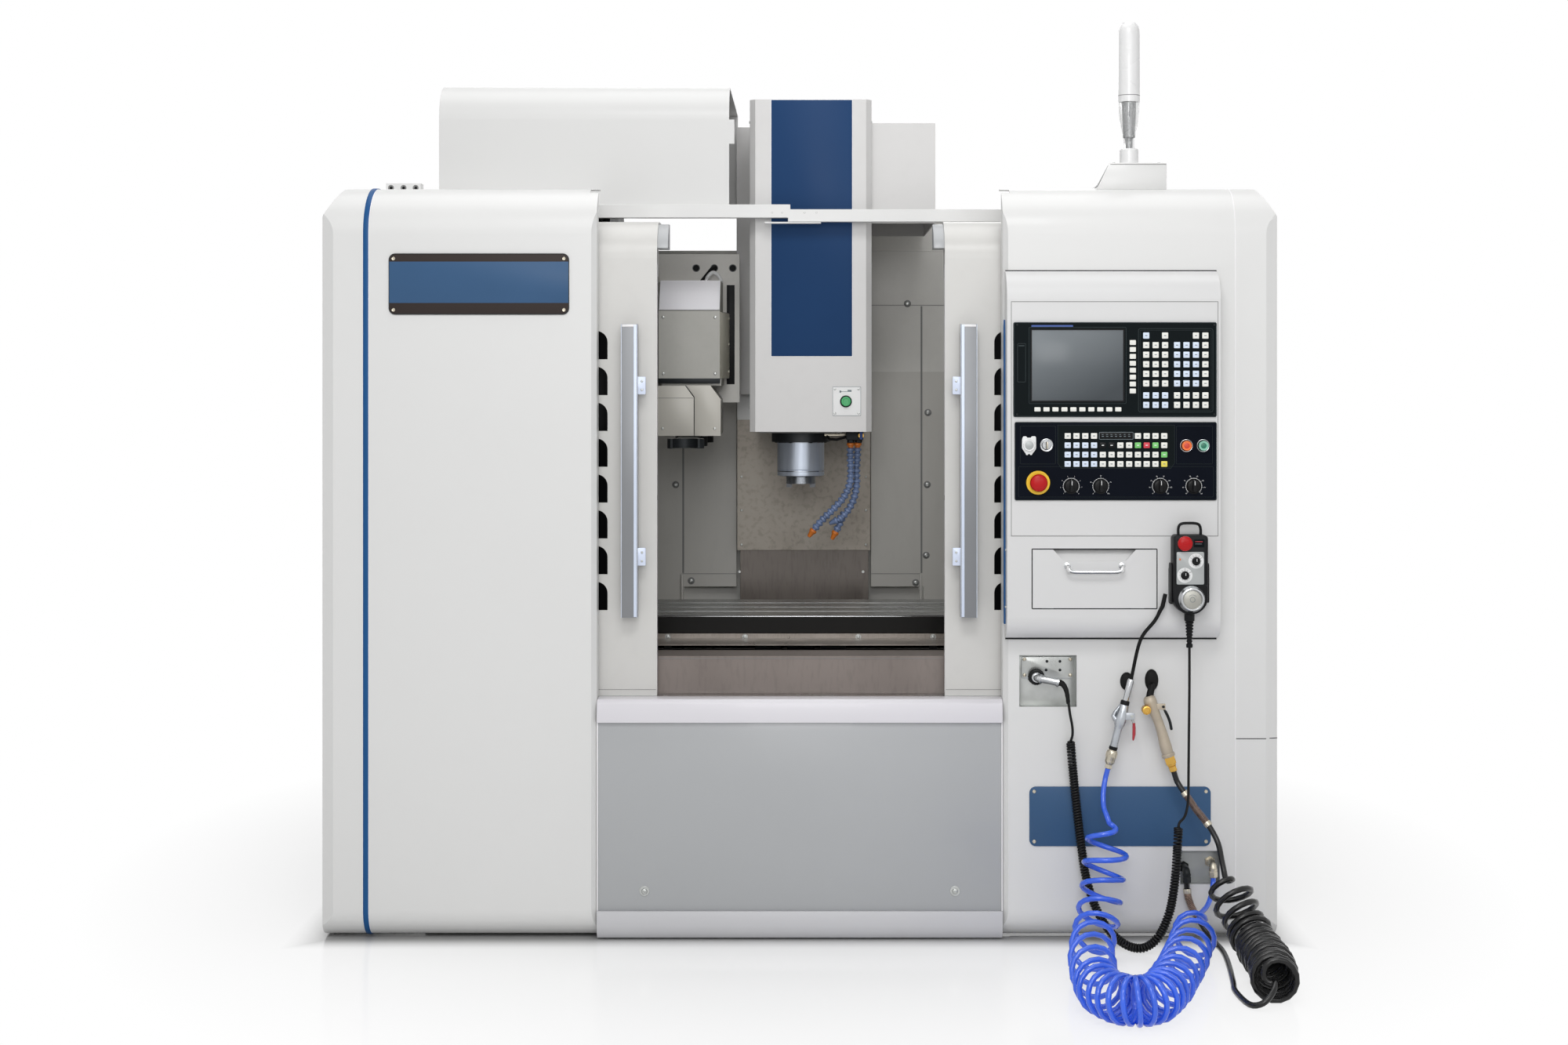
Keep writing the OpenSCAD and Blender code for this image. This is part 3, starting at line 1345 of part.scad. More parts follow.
// Cabinet door with hinge sleeves and the main switch
module cabinet_door() {
    y = [cabinet_back_y + 2, cabinet_back_y + 20];
    color("#dcdcd8") {
        difference() {
            union() {
                block([-cabinet_half, cabinet_half - 2], y, [cabinet_low, cabinet_high]);
                for (z = hinge_zs) {
                    translate([hinge_x, hinge_y, z + 8.5]) cylinder(r = 6, h = 48);
                    block([cabinet_half - 10, hinge_x], [hinge_y - 2, hinge_y + 2], [z + 8.5, z + 56.5]);
                }
            }
            for (z = hinge_zs)
                translate([hinge_x, hinge_y, z + 7]) cylinder(r = 3 + run_gap, h = 51);
            block([3 - cabinet_half, cabinet_half - 40], [y[0] - 1, y[1] - 2], [cabinet_low + 3, cabinet_high - 3]);
        }
    }
    color("red") {
        block([-430, -370], [y[1], y[1] + 5], [1280, 1340]);
        rod_y(-400, 1310, y[1] + 5, 6, 22);
    }
}

// Coolant tank under the chip pan with its pump
module coolant_tank() {
    x = [-bed_half - 560, -bed_half];
    y = [front_y + 350, front_y + 1400];
    color("#b9bab8") {
        difference() {
            block(x, y, [0, 380]);
            block([x[0] + 3, x[1] - 3], [y[0] + 3, y[1] - 3], [23, 377]);
            block([x[0] + 120, x[1] - 120], [y[0] - 1, y[1] + 1], [-1, 20]);
        }
        translate([x[0] + 140, y[0] + 140, 380]) cylinder(r = 55, h = 55);
    }
}

// ---- Cords: routes chosen by hand, with the tower fronts at Y = -1000 ----

cable_top_route = [
    [880, -1099, 686], [880, -1099, 600], [879, -1099, 500], [878, -1099, 400], [877, -1099, 340],
    [870, -1099, 306], [858, -1098, 291], [855, -1099, 280]
];
cable_curl_route = [
    [855, -1099, 280], [853, -1100, 240], [847, -1104, 165], [834, -1112, 95], [810, -1118, 42],
    [784, -1118, 17], [758, -1112, 11], [730, -1096, 19], [700, -1066, 44], [674, -1038, 90],
    [656, -1024, 150], [646, -1020, 215], [638, -1020, 280], [631, -1020, 345], [625, -1022, 405],
    [620, -1024, 462]
];
cable_end_route = [
    [620, -1024, 462], [624, -1030, 478], [622, -1042, 500], [616, -1048, 530], [612, -1048, 560],
    [608, -1044, 582], [602, -1037, 594], [596, -1034, 598]
];
air_lead_route = [
    [703, -1045, 404], [697, -1045, 380], [691, -1056, 350], [690, -1072, 322], [694, -1092, 306], [698, -1100, 294]
];
air_coil_route = [
    [698, -1100, 294], [692, -1108, 235], [683, -1118, 175], [671, -1144, 110], [655, -1192, 62],
    [636, -1290, 54], [621, -1430, 54], [612, -1570, 54], [622, -1660, 54], [662, -1712, 54],
    [708, -1700, 54], [747, -1625, 54], [786, -1510, 54], [822, -1390, 54], [853, -1270, 54],
    [883, -1165, 60], [900, -1110, 82]
];
air_tail_route = [
    [900, -1110, 82], [908, -1092, 86], [926, -1062, 94], [940, -1036, 112], [947, -1020, 134], [948, -1018, 150]
];
wash_lead_route = [
    [853, -1045, 398], [861, -1045, 374], [876, -1054, 350], [900, -1064, 315], [926, -1080, 282],
    [944, -1100, 246], [948, -1130, 210], [950, -1165, 176]
];
wash_coil_route = [
    [950, -1165, 176], [964, -1200, 132], [985, -1245, 84], [998, -1310, 56], [1000, -1390, 53],
    [994, -1470, 53], [983, -1550, 53]
];
wash_tail_route = [
    [983, -1550, 53], [981, -1562, 50], [972, -1580, 36], [950, -1590, 16], [926, -1570, 8], [916, -1470, 8],
    [924, -1400, 8], [936, -1300, 8], [946, -1200, 8], [950, -1120, 8], [944, -1070, 12], [926, -1040, 34],
    [904, -1024, 70], [890, -1018, 105], [887, -1018, 138]
];

module pendant_cable() {
    color("#101010") {
        tube(cable_top_route, cable_d / 2, 8, 2);
        tube(cable_end_route, cable_d / 2, 8, 2);
    }
}

module pendant_cable_curl() {
    color("#101010") tube(cable_curl_route, cable_curl_d / 2, 10, 3);
}

module air_hose() {
    color("#2b5ede") {
        tube(air_lead_route, air_d / 2, 8, 2);
        tube(air_tail_route, air_d / 2, 8, 2);
    }
}

module air_hose_spiral() {
    color("#2b5ede") tube(air_coil_route, air_coil_d / 2, 12, 3);
}

module coolant_hose() {
    color("#141414") {
        tube(wash_lead_route, wash_d / 2, 8, 2);
        tube(wash_tail_route, wash_d / 2, 8, 2);
    }
}

module coolant_hose_spiral() {
    color("#141414") tube(wash_coil_route, wash_coil_d / 2, 12, 3);
}

base_casting();
guideways_and_motors();
column_casting();
work_area_guards();
left_tower();
right_tower();
front_guard();
door_beam();
magazine_hood();
tool_changer_gearbox();
signal_lamp();
panel_housing();
screen_unit();
operation_panel();
name_plates();
pendant();
socket_panels();
air_gun();
coolant_gun();
electrical_cabinet();
coolant_tank();
left_door();
right_door();
saddle_casting();
table();
x_screw();
y_screw();
z_screw();
head_casting();
spindle_cartridge();
spindle_shaft();
head_cover();
tool_release_button();
coolant_nozzles();
arm_quill();
exchange_arm();
magazine_disc();
exchange_pot();
drawer();
cabinet_door();
emergency_stop();
cycle_start_button();
feed_hold_button();
key_switch();
selector(0);  // selector_mode
selector(1);  // selector_rapid
selector(2);  // selector_feed
selector(3);  // selector_spindle
pendant_stop();
pendant_axis_knob();
pendant_step_knob();
handwheel();
air_gun_lever();
coolant_gun_lever();
pendant_cable();
pendant_cable_curl();
air_hose();
air_hose_spiral();
coolant_hose();
coolant_hose_spiral();
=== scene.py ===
from itertools import product
from math import cos, pi, radians, sin

import bmesh
import bpy
from mathutils import Matrix, Vector


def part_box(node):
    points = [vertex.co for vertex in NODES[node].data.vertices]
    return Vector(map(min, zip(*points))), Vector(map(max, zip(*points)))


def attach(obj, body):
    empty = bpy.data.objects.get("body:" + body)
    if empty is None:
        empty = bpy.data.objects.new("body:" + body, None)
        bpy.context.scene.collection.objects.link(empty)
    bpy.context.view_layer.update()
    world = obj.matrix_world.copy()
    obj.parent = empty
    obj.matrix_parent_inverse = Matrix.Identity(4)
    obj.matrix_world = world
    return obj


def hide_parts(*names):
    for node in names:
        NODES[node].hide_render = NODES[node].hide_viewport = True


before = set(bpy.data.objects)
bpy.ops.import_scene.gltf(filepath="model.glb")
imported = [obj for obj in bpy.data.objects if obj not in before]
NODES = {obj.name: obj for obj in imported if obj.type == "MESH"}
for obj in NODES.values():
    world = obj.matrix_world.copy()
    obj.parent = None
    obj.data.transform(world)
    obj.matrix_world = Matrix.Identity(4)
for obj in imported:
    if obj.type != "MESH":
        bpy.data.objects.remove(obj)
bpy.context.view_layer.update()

MM = 0.001
SHARP_ANGLE = 32
BEVEL_ANGLE = 28
WELD_GAP = 0.00002
POINT_GAP = 1e-7
WHITE = (1, 1, 1, 1)
FRONT, UP, DOWN = (0, -1, 0), (0, 0, 1), (0, 0, -1)


def mm(*v):
    """A point given in millimetres, in metres."""
    return Vector(v) * MM


def srgb(code):
    """Linear colour of a six-digit web colour."""
    parts = [int(code[i:i + 2], 16) / 255 for i in (0, 2, 4)]
    return tuple(p / 12.92 if p <= 0.04045 else ((p + 0.055) / 1.055) ** 2.4 for p in parts) + (1,)


def added(name, data):
    """A new object in the scene."""
    item = bpy.data.objects.new(name, data)
    bpy.context.scene.collection.objects.link(item)
    return item


def edges(name):
    """The limits of a CAD node on X, Y and Z, in millimetres."""
    low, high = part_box(name)
    return [(a / MM, b / MM) for a, b in zip(low, high)]


# ---- Materials ----

def feed(tree, node, values):
    """Gives inputs, by name or number, an output socket or a plain value."""
    for key, value in values.items():
        if hasattr(value, "links"):
            tree.links.new(value, node.inputs[key])
        else:
            node.inputs[key].default_value = value


def added_node(tree, kind, values):
    """A new node with its inputs fed."""
    node = tree.nodes.new("ShaderNode" + kind)
    feed(tree, node, values)
    return node


def graph(name):
    """A new material with its node tree, shader and object coordinates."""
    material = bpy.data.materials.new(name)
    material.use_nodes = True
    tree = material.node_tree
    place = added_node(tree, "TexCoord", {}).outputs["Object"]
    return material, tree, tree.nodes["Principled BSDF"], place


def noise(tree, place, scale, detail, stretch=(1, 1, 1), distortion=0):
    """Noise over the object's own coordinates, scale in features a metre."""
    mapping = added_node(tree, "Mapping", {"Scale": stretch, "Vector": place})
    return added_node(tree, "TexNoise", {
        "Scale": scale, "Detail": detail, "Distortion": distortion, "Vector": mapping.outputs["Vector"],
    }).outputs["Fac"]


def ramp(tree, value, low, high, start=0.3, end=0.7):
    """A colour from low to high as a value goes from start to end."""
    node = added_node(tree, "ValToRGB", {"Fac": value})
    for stop, at, color in zip(node.color_ramp.elements, (start, end), (low, high)):
        stop.position = at
        stop.color = color
    return node.outputs["Color"]


def ranged(tree, value, low, high, start=0.3, end=0.7):
    """A value mapped from start..end to low..high."""
    node = added_node(tree, "MapRange", {
        "Value": value, "From Min": start, "From Max": end, "To Min": low, "To Max": high,
    })
    return node.outputs["Result"]


def math_node(tree, operation, a, b=0):
    """A math node; each input is an output socket or a number."""
    node = added_node(tree, "Math", {0: a, 1: b})
    node.operation = operation
    return node.outputs["Value"]


def axes(tree, place):
    """The X, Y and Z of a place."""
    split = added_node(tree, "SeparateXYZ", {0: place})
    return [split.outputs[axis] for axis in "XYZ"]


def seen_rays(tree):
    """1 for rays that the camera sends out, also by way of gloss or glass, and 0 for the rest."""
    rays = added_node(tree, "LightPath", {}).outputs
    seen = math_node(tree, "MAXIMUM", rays["Is Camera Ray"], rays["Is Glossy Ray"])
    return math_node(tree, "MAXIMUM", seen, rays["Is Transmission Ray"])


def mixed(tree, factor, a, b, kind="RGBA"):
    """A mix of two colours or two values."""
    node = added_node(tree, "Mix", {})
    node.data_type = kind
    own = [i for i, socket in enumerate(node.inputs) if socket.enabled]
    feed(tree, node, dict(zip(own, (factor, a, b))))
    return next(s for s in node.outputs if s.enabled)


def bumped(tree, value, strength, distance):
    """The normal with a bump."""
    return added_node(tree, "Bump", {"Strength": strength, "Distance": distance,
                                     "Height": value}).outputs["Normal"]


def shade(color, factor):
    return tuple(min(1, c * factor) for c in color[:3]) + (1,)


def spread_tint(tree, value, code, spread):
    """A colour that a value makes darker or lighter by a share."""
    color = srgb(code)
    return ramp(tree, value, shade(color, 1 - spread), shade(color, 1 + spread))


def surface(name, code, rough, spread, patch, bump=0.05, grain=300, metal=0, rough_spread=0.07,
            stretch=(1, 1, 1), coat=0, depth=0.0002, specular=0.5):
    """Paint, plastic or metal: cloudy colour and gloss over fine grain."""
    material, tree, shader, place = graph(name)
    cloud = noise(tree, place, patch, 4)
    feed(tree, shader, {
        "Base Color": spread_tint(tree, cloud, code, spread),
        "Roughness": ranged(tree, cloud, rough - rough_spread, rough + rough_spread),
        "Normal": bumped(tree, noise(tree, place, grain, 2, stretch), bump, depth),
        "Metallic": metal, "Coat Weight": coat, "Specular IOR Level": specular,
    })
    return material


def brushed(name, code, rough, along):
    """Metal with fine parallel marks."""
    material, tree, shader, place = graph(name)
    marks = noise(tree, place, 60, 3, along)
    feed(tree, shader, {
        "Base Color": spread_tint(tree, marks, code, 0.06),
        "Roughness": ranged(tree, noise(tree, place, 6, 4), rough - 0.08, rough + 0.08),
        "Normal": bumped(tree, marks, 0.15, 0.0002), "Metallic": 1,
    })
    return material


def within(tree, place, limits):
    """1 inside limits in metres, given as axis and (low, high), and 0 outside."""
    value = 1
    own = dict(zip("XYZ", axes(tree, place)))
    for axis, (low, high) in limits.items():
        for limit, test in ((low, "GREATER_THAN"), (high, "LESS_THAN")):
            if limit is not None:
                value = math_node(tree, "MULTIPLY", value, math_node(tree, test, own[axis], limit))
    return value


def layered(name, layers, grain=300, bump=0.1, stretch=(1, 1, 1), specular=0.5):
    """Several finishes on one node, each where its limits say; some layers are painted light or shade. The
    first one is the ground.

    A layer is (limits, colour, darker colour, roughness, metal, patch size, patch stretch)."""
    material, tree, shader, place = graph(name)
    look = None
    for limits, code, dark, gloss, metallic, patch, pull in layers:
        cloud = noise(tree, place, patch, 5, pull, 0.4)
        spots = noise(tree, place, patch * 15, 3, pull)
        low, high = srgb(dark), srgb(code)
        tint = mixed(tree, 0.28 if metallic else 0.06, ramp(tree, cloud, low, high, 0.32, 0.62),
                     ramp(tree, spots, shade(low, 0.8), high, 0.34, 0.5))
        own = (tint, ranged(tree, cloud, gloss - 0.08, gloss + 0.08), metallic)
        if look is None:
            look = own
            continue
        mask = within(tree, place, limits)
        look = [mixed(tree, mask, a, b, kind) for a, b, kind in zip(look, own, ("RGBA", "FLOAT", "FLOAT"))]
    feed(tree, shader, {
        "Base Color": look[0], "Roughness": look[1], "Metallic": look[2], "Specular IOR Level": specular,
        "Normal": bumped(tree, noise(tree, place, grain, 2, stretch), bump, 0.0003),
    })
    return material


BODY = surface("body_enamel", "DDDDDC", 0.36, 0.01, 1.6, 0.045, 420, coat=0.1)
TRIM_WHITE = surface("white_enamel", "ECEBEC", 0.32, 0.01, 2, 0.04, 420, coat=0.15)
SILL = surface("sill_enamel", "DCDADF", 0.35, 0.01, 2.2, 0.045, 420, coat=0.1)
# The lip is the sill's white enamel, darkened as painted shade near the floor.
LIP = surface("lip_enamel_painted_shade", "CACACD", 0.38, 0.015, 2.2, 0.045, 420)
PANEL = surface("panel_enamel", "D6D6D6", 0.38, 0.01, 1.8, 0.045, 420)
APRON = surface("apron_enamel", "ACAEB0", 0.36, 0.025, 1.4, 0.05, 420, coat=0.1)
HOOD = surface("hood_enamel", "D8D8D7", 0.38, 0.015, 1.5, 0.05, 420)
# The changer's top slope is a lighter copy of its paint: painted light.
SLOPE_LIT = surface("changer_top_painted_light", "F7F6FA", 0.36, 0.008, 3, 0.05, 380)
# The changer's side wedge is a lighter copy of its paint: painted light.
CHANGER_SIDE_LIT = surface("changer_side_painted_light", "EFECDC", 0.42, 0.02, 4, 0.06, 380)
BEIGE = surface("changer_enamel", "C9C6BD", 0.4, 0.03, 5, 0.06, 380)
CASTING = surface("casting_paint", "5C5F61", 0.55, 0.1, 9, 0.25, 160, depth=0.0006)
COLUMN = surface("column_paint", "B8B7B3", 0.5, 0.06, 7, 0.2, 160, depth=0.0006)
HEAD = surface("head_casting_paint", "9C9C9A", 0.5, 0.06, 9, 0.2, 160, depth=0.0006)
GROUND = brushed("ground_steel", "B9BBBD", 0.22, (30, 1, 1))
TURNED = brushed("turned_steel", "BCC1C9", 0.26, (1, 1, 50))
SATIN = surface("satin_aluminium", "808285", 0.38, 0.03, 4, 0.05, 500, metal=0.3, stretch=(1, 1, 0.05))
# A pale blue-white strip along the handle's inner edge: a painted highlight.
HANDLE_HIGHLIGHT = surface("handle_edge_painted_highlight", "D4DEF0", 0.35, 0.03, 4, 0.05, 500, metal=0.1)
BRACKET_BLUE = surface("handle_bracket", "D6DFF2", 0.34, 0.03, 8, 0.05, 400, metal=0.1)
ZINC = surface("zinc_plate", "B4B6B4", 0.33, 0.1, 30, 0.08, metal=0.75)
NICKEL = surface("nickel_fitting", "BDB6A6", 0.3, 0.1, 60, metal=0.9)
BRASS = surface("brass", "C9A050", 0.28, 0.1, 40, metal=1)
GUN_METAL = surface("cast_aluminium", "AFB3B8", 0.3, 0.1, 40, 0.12, 260, metal=0.9)
GUN_BEIGE = surface("beige_moulding", "B3A795", 0.42, 0.1, 30, 0.12, 260, metal=0.2)
SPRING = surface("spring_wire", "9A8478", 0.3, 0.12, 60, metal=0.9)
BLACK_OXIDE = surface("black_oxide", "232628", 0.42, 0.18, 14, 0.12, 260, metal=0.3, specular=0.2)
BLACK = surface("black_moulding", "131416", 0.42, 0.15, 10, 0.14, 500, specular=0.15)
GLOSS_BLACK = surface("gloss_black", "0D0E10", 0.26, 0.15, 10, 0.04, specular=0.15)
BEZEL = surface("bezel_black", "101618", 0.45, 0.1, 8, 0.2, 900, specular=0.04)
BEZEL_EDGE = surface("bezel_line", "343C3E", 0.4, 0.1, 8, 0.1, 900, specular=0.1)
NAVY = surface("panel_foil", "0D111A", 0.38, 0.12, 8, 0.1, 900, specular=0.03)
NAVY_EDGE = surface("panel_line", "1C2426", 0.38, 0.12, 8, 0.1, 900, specular=0.1)
SEAM = surface("seam_shadow", "7F7F7E", 0.6, 0.1, 8)
DARK_SEAM = surface("dark_gap", "1B1C1E", 0.6, 0.1, 8, specular=0.15)
PANE = surface("window_pane", "030304", 0.14, 0.2, 5, 0.01, rough_spread=0.03, specular=0.02)
RUBBER = surface("rubber", "141414", 0.6, 0.2, 20, 0.2, specular=0.15)
BLUE = surface("blue_enamel", "20406A", 0.38, 0.04, 3, 0.05, 420, specular=0.1)
TRIM_BLUE = surface("trim_blue", "1E5287", 0.33, 0.05, 4, 0.04, 420, specular=0.15)
# The plates' own blue, made greyer and lighter than the head's paint to carry a painted sheen.
PLATE_BLUE_SHEEN = surface("plate_blue_with_painted_sheen", "3A5A7E", 0.38, 0.06, 3, 0.05, 420, specular=0.2)
DARK_BAND = surface("brown_black_band", "38312F", 0.4, 0.05, 5, 0.05, 420, specular=0.1)
RED = surface("signal_red", "B20E14", 0.28, 0.06, 20, 0.04, specular=0.25)
LEVER_RED = surface("lever_red", "A81D2C", 0.3, 0.08, 30, 0.06, coat=0.2)
YELLOW = surface("signal_yellow", "F0C22A", 0.38, 0.04, 20)
GREEN = surface("button_green", "2FA45E", 0.28, 0.06, 30, 0.04, coat=0.3)
AMBER = surface("button_amber", "F0762E", 0.28, 0.06, 30, 0.04, coat=0.2)
AMBER_DEEP = surface("button_amber_middle", "C83E26", 0.34, 0.08, 60, 0.04)
TEAL = surface("button_teal", "8CC8B2", 0.28, 0.06, 30, 0.04, coat=0.2)
TEAL_DEEP = surface("button_teal_middle", "1B6E56", 0.34, 0.08, 60, 0.04)
KEY = surface("key_cap", "ECECE6", 0.42, 0.03, 40, 0.06, 600)
KEY_BLUE = surface("key_cap_blue", "D9E5F6", 0.42, 0.03, 40, 0.06, 600)
KEY_RED = surface("key_cap_red", "D23A48", 0.42, 0.04, 40, 0.06, 600)
KEY_GREEN = surface("key_cap_green", "76C86E", 0.42, 0.04, 40, 0.06, 600)
KEY_YELLOW = surface("key_cap_yellow", "E6D85A", 0.42, 0.04, 40, 0.06, 600)
MARK = surface("print_grey", "6F7B80", 0.5, 0.05, 40, 0.04, 600)
PRINT = surface("print_white", "E9EAEA", 0.5, 0.03, 40, 0.04, 600)
SCREEN_BLUE = surface("plain_strip", "2B4C94", 0.4, 0.05, 40, 0.04, 600)
PLATE_GREY = surface("pendant_plate", "A9ACAC", 0.4, 0.05, 30, 0.06, 400, metal=0.2)
WHEEL_FACE = surface("wheel_face", "A4A39C", 0.35, 0.06, 30, 0.06, 400, metal=0.5)
NOZZLE = surface("nozzle_blue", "6C7EA2", 0.4, 0.12, 30, 0.1, 400)
ORANGE = surface("nozzle_orange", "D97A2C", 0.4, 0.1, 30, 0.1, 400)
HOSE_BLUE = surface("hose_blue", "2B62E6", 0.24, 0.1, 12, 0.04, coat=0.4)
HOSE_BLACK = surface("hose_black", "0B0B0C", 0.22, 0.25, 12, 0.06, coat=0.1, specular=0.35)
CABLE_BLACK = surface("cable_black", "0F0F10", 0.42, 0.25, 20, 0.12, 400, specular=0.2)
CABINET = surface("cabinet_enamel", "DCDCD8", 0.42, 0.015, 2, 0.06, 420)
LAMP_WHITE = surface("frosted_plastic", "E6E6E6", 0.28, 0.02, 8, 0.02, coat=0.3)
LAMP_INNER = surface("lamp_reflector", "9D9E9F", 0.3, 0.08, 30, 0.1, metal=0.4, stretch=(1, 1, 0.05))

STEEL_STAINED = ("979188", "746D64", 0.40, 0.5)
GUARDS = layered("work_guard_finish_and_painted_shadow", [
    (None, "D0CFCA", "C8C6C1", 0.42, 0, 3, (1, 1, 1)),
    # Darker on the back wall below z 1312: a painted shadow.
    ({"Y": (None, 0.12), "Z": (None, 1.312)}, "C6C4BF", "BCBAB4", 0.42, 0, 2.6, (1, 1, 0.4)),
    ({"Y": (None, -0.77), "Z": (0.4435, None)}, "7C736E", "726964", 0.40, 0.3, 3.2, (2, 1, 0.5)),
    ({"X": (-0.19, 0.19), "Y": (0.0585, 0.0675)}, "716963", "615A54", 0.36, 0.3, 3, (3, 1, 0.5)),
], 380, 0.07)
HEAD_COVER = layered("head_cover_finish_and_painted_light", [
    (None, "D4D3D2", "D1D0CF", 0.36, 0, 1.6, (1, 1, 1)),
    # The whiter patch on the rear casing left of the head is painted light: it brightens a face that the hood
    # shades.
    ({"X": (None, -0.128), "Y": (0.02, None)}, "F6F6F5", "F2F2F1", 0.36, 0, 1.6, (1, 1, 1)),
    ({"Y": (0.0555, None), "Z": (None, 1.18)}, *STEEL_STAINED, 5, (1, 1, 1)),
], 420, 0.05)
SADDLE = layered("saddle_finish", [
    (None, "5F6264", "4E5153", 0.55, 0, 9, (1, 1, 1)),
    ({"X": (0.4005, None)}, "1C1D1F", "141517", 0.45, 0, 9, (1, 1, 1)),
    ({"Y": (None, -0.55), "Z": (0.6435, None)}, "958E87", "807972", 0.34, 0.4, 4, (4, 1, 1)),
], 160, 0.2)
TABLE = layered("table_finish_and_painted_shade", [
    (None, "A3A4A3", "77797A", 0.30, 0.85, 5, (1, 14, 1)),
    # The near-black front face of the table is painted shade.
    ({"Y": (None, -0.5695)}, "161514", "121110", 0.42, 0, 5, (4, 1, 1)),
    ({"Z": (None, 0.661)}, "5F6264", "4E5153", 0.45, 0.3, 5, (1, 1, 1)),
], 260, 0.10, (1, 12, 1), 0.15)
CHANGER = layered("changer_paint_lit_and_shaded", [
    # One paint in two tones: darker on the front faces as painted shade, lighter on the faces behind them as
    # painted light.
    (None, "B5B4AE", "A9A8A1", 0.40, 0, 4, (1, 1, 1)),
    ({"Y": (-0.191, None)}, "E2E0DB", "DCDAD4", 0.50, 0, 9, (1, 1, 1)),
], 380, 0.07)
DOORS = layered("door_finish", [
    (None, "D0CFCC", "CCCBC8", 0.36, 0, 1.8, (1, 1, 1)),
    ({"Y": (None, -0.9305)}, "C9D0DC", "BFC7D4", 0.36, 0.2, 8, (1, 1, 1)),
    ({"Z": (1.6655, None), "Y": (-0.63, None)}, "2A2B2D", "1E1F21", 0.45, 0.2, 8, (1, 1, 1)),
], 420, 0.05)
CARTRIDGE = layered("cartridge_finish", [
    (None, "C2CAD6", "B4BCCA", 0.32, 0.6, 12, (1, 1, 0.05)),
    ({"Z": (1.1305, None)}, "2B2E31", "202326", 0.42, 0.4, 14, (1, 1, 1)),
], 300, 0.05, (1, 1, 30))
SHAFT = layered("shaft_finish", [
    (None, "9EA2A8", "8B9097", 0.28, 0.9, 12, (1, 1, 1)),
    ({"Z": (None, 1.0235)}, "5B5D60", "46484B", 0.36, 0.7, 14, (1, 1, 1)),
], 300, 0.05)


def screen_glass():
    """Dark glass of the screen, with a painted sheen that makes it lighter towards the upper left."""
    material, tree, shader, place = graph("screen_glass")
    across, _, up = axes(tree, place)
    slant = math_node(tree, "SUBTRACT", up, math_node(tree, "MULTIPLY", across, 0.55))
    cloud = noise(tree, place, 5, 3)
    slant = math_node(tree, "ADD", slant, math_node(tree, "MULTIPLY", cloud, 0.02))
    feed(tree, shader, {
        "Base Color": ramp(tree, ranged(tree, slant, 0, 1, 0.86, 1.13), srgb("4A4F53"), srgb("7C8286"),
                           0.1, 0.9),
        "Roughness": ranged(tree, cloud, 0.16, 0.24), "Specular IOR Level": 0.15,
    })
    return material


def chrome_plate():
    """Bright plating with a painted reflection, darker on the sides that face down."""
    material, tree, shader, place = graph("chrome_plate")
    facing = next(n for n in tree.nodes if n.type == "TEX_COORD").outputs["Normal"]
    cloud = noise(tree, place, 60, 3)
    level = math_node(tree, "ADD", axes(tree, facing)[2], math_node(tree, "MULTIPLY", cloud, 0.3))
    feed(tree, shader, {
        "Base Color": ramp(tree, ranged(tree, level, 0, 1, -1, 1.2), srgb("54575B"), srgb("E6E8EA"),
                           0.12, 0.85),
        "Roughness": ranged(tree, cloud, 0.14, 0.22), "Metallic": 0.9,
    })
    return material


def clear_plastic():
    """Clear lamp plastic."""
    material, tree, shader, place = graph("clear_plastic")
    feed(tree, shader, {
        "Base Color": ramp(tree, noise(tree, place, 8, 2), srgb("F0F1F1"), srgb("F8F8F8")),
        "Roughness": ranged(tree, noise(tree, place, 12, 2), 0.03, 0.08),
        "Transmission Weight": 0.92, "IOR": 1.30,
    })
    return material


SCREEN = screen_glass()
CLEAR = clear_plastic()
CHROME = chrome_plate()


# ---- Mesh building ----

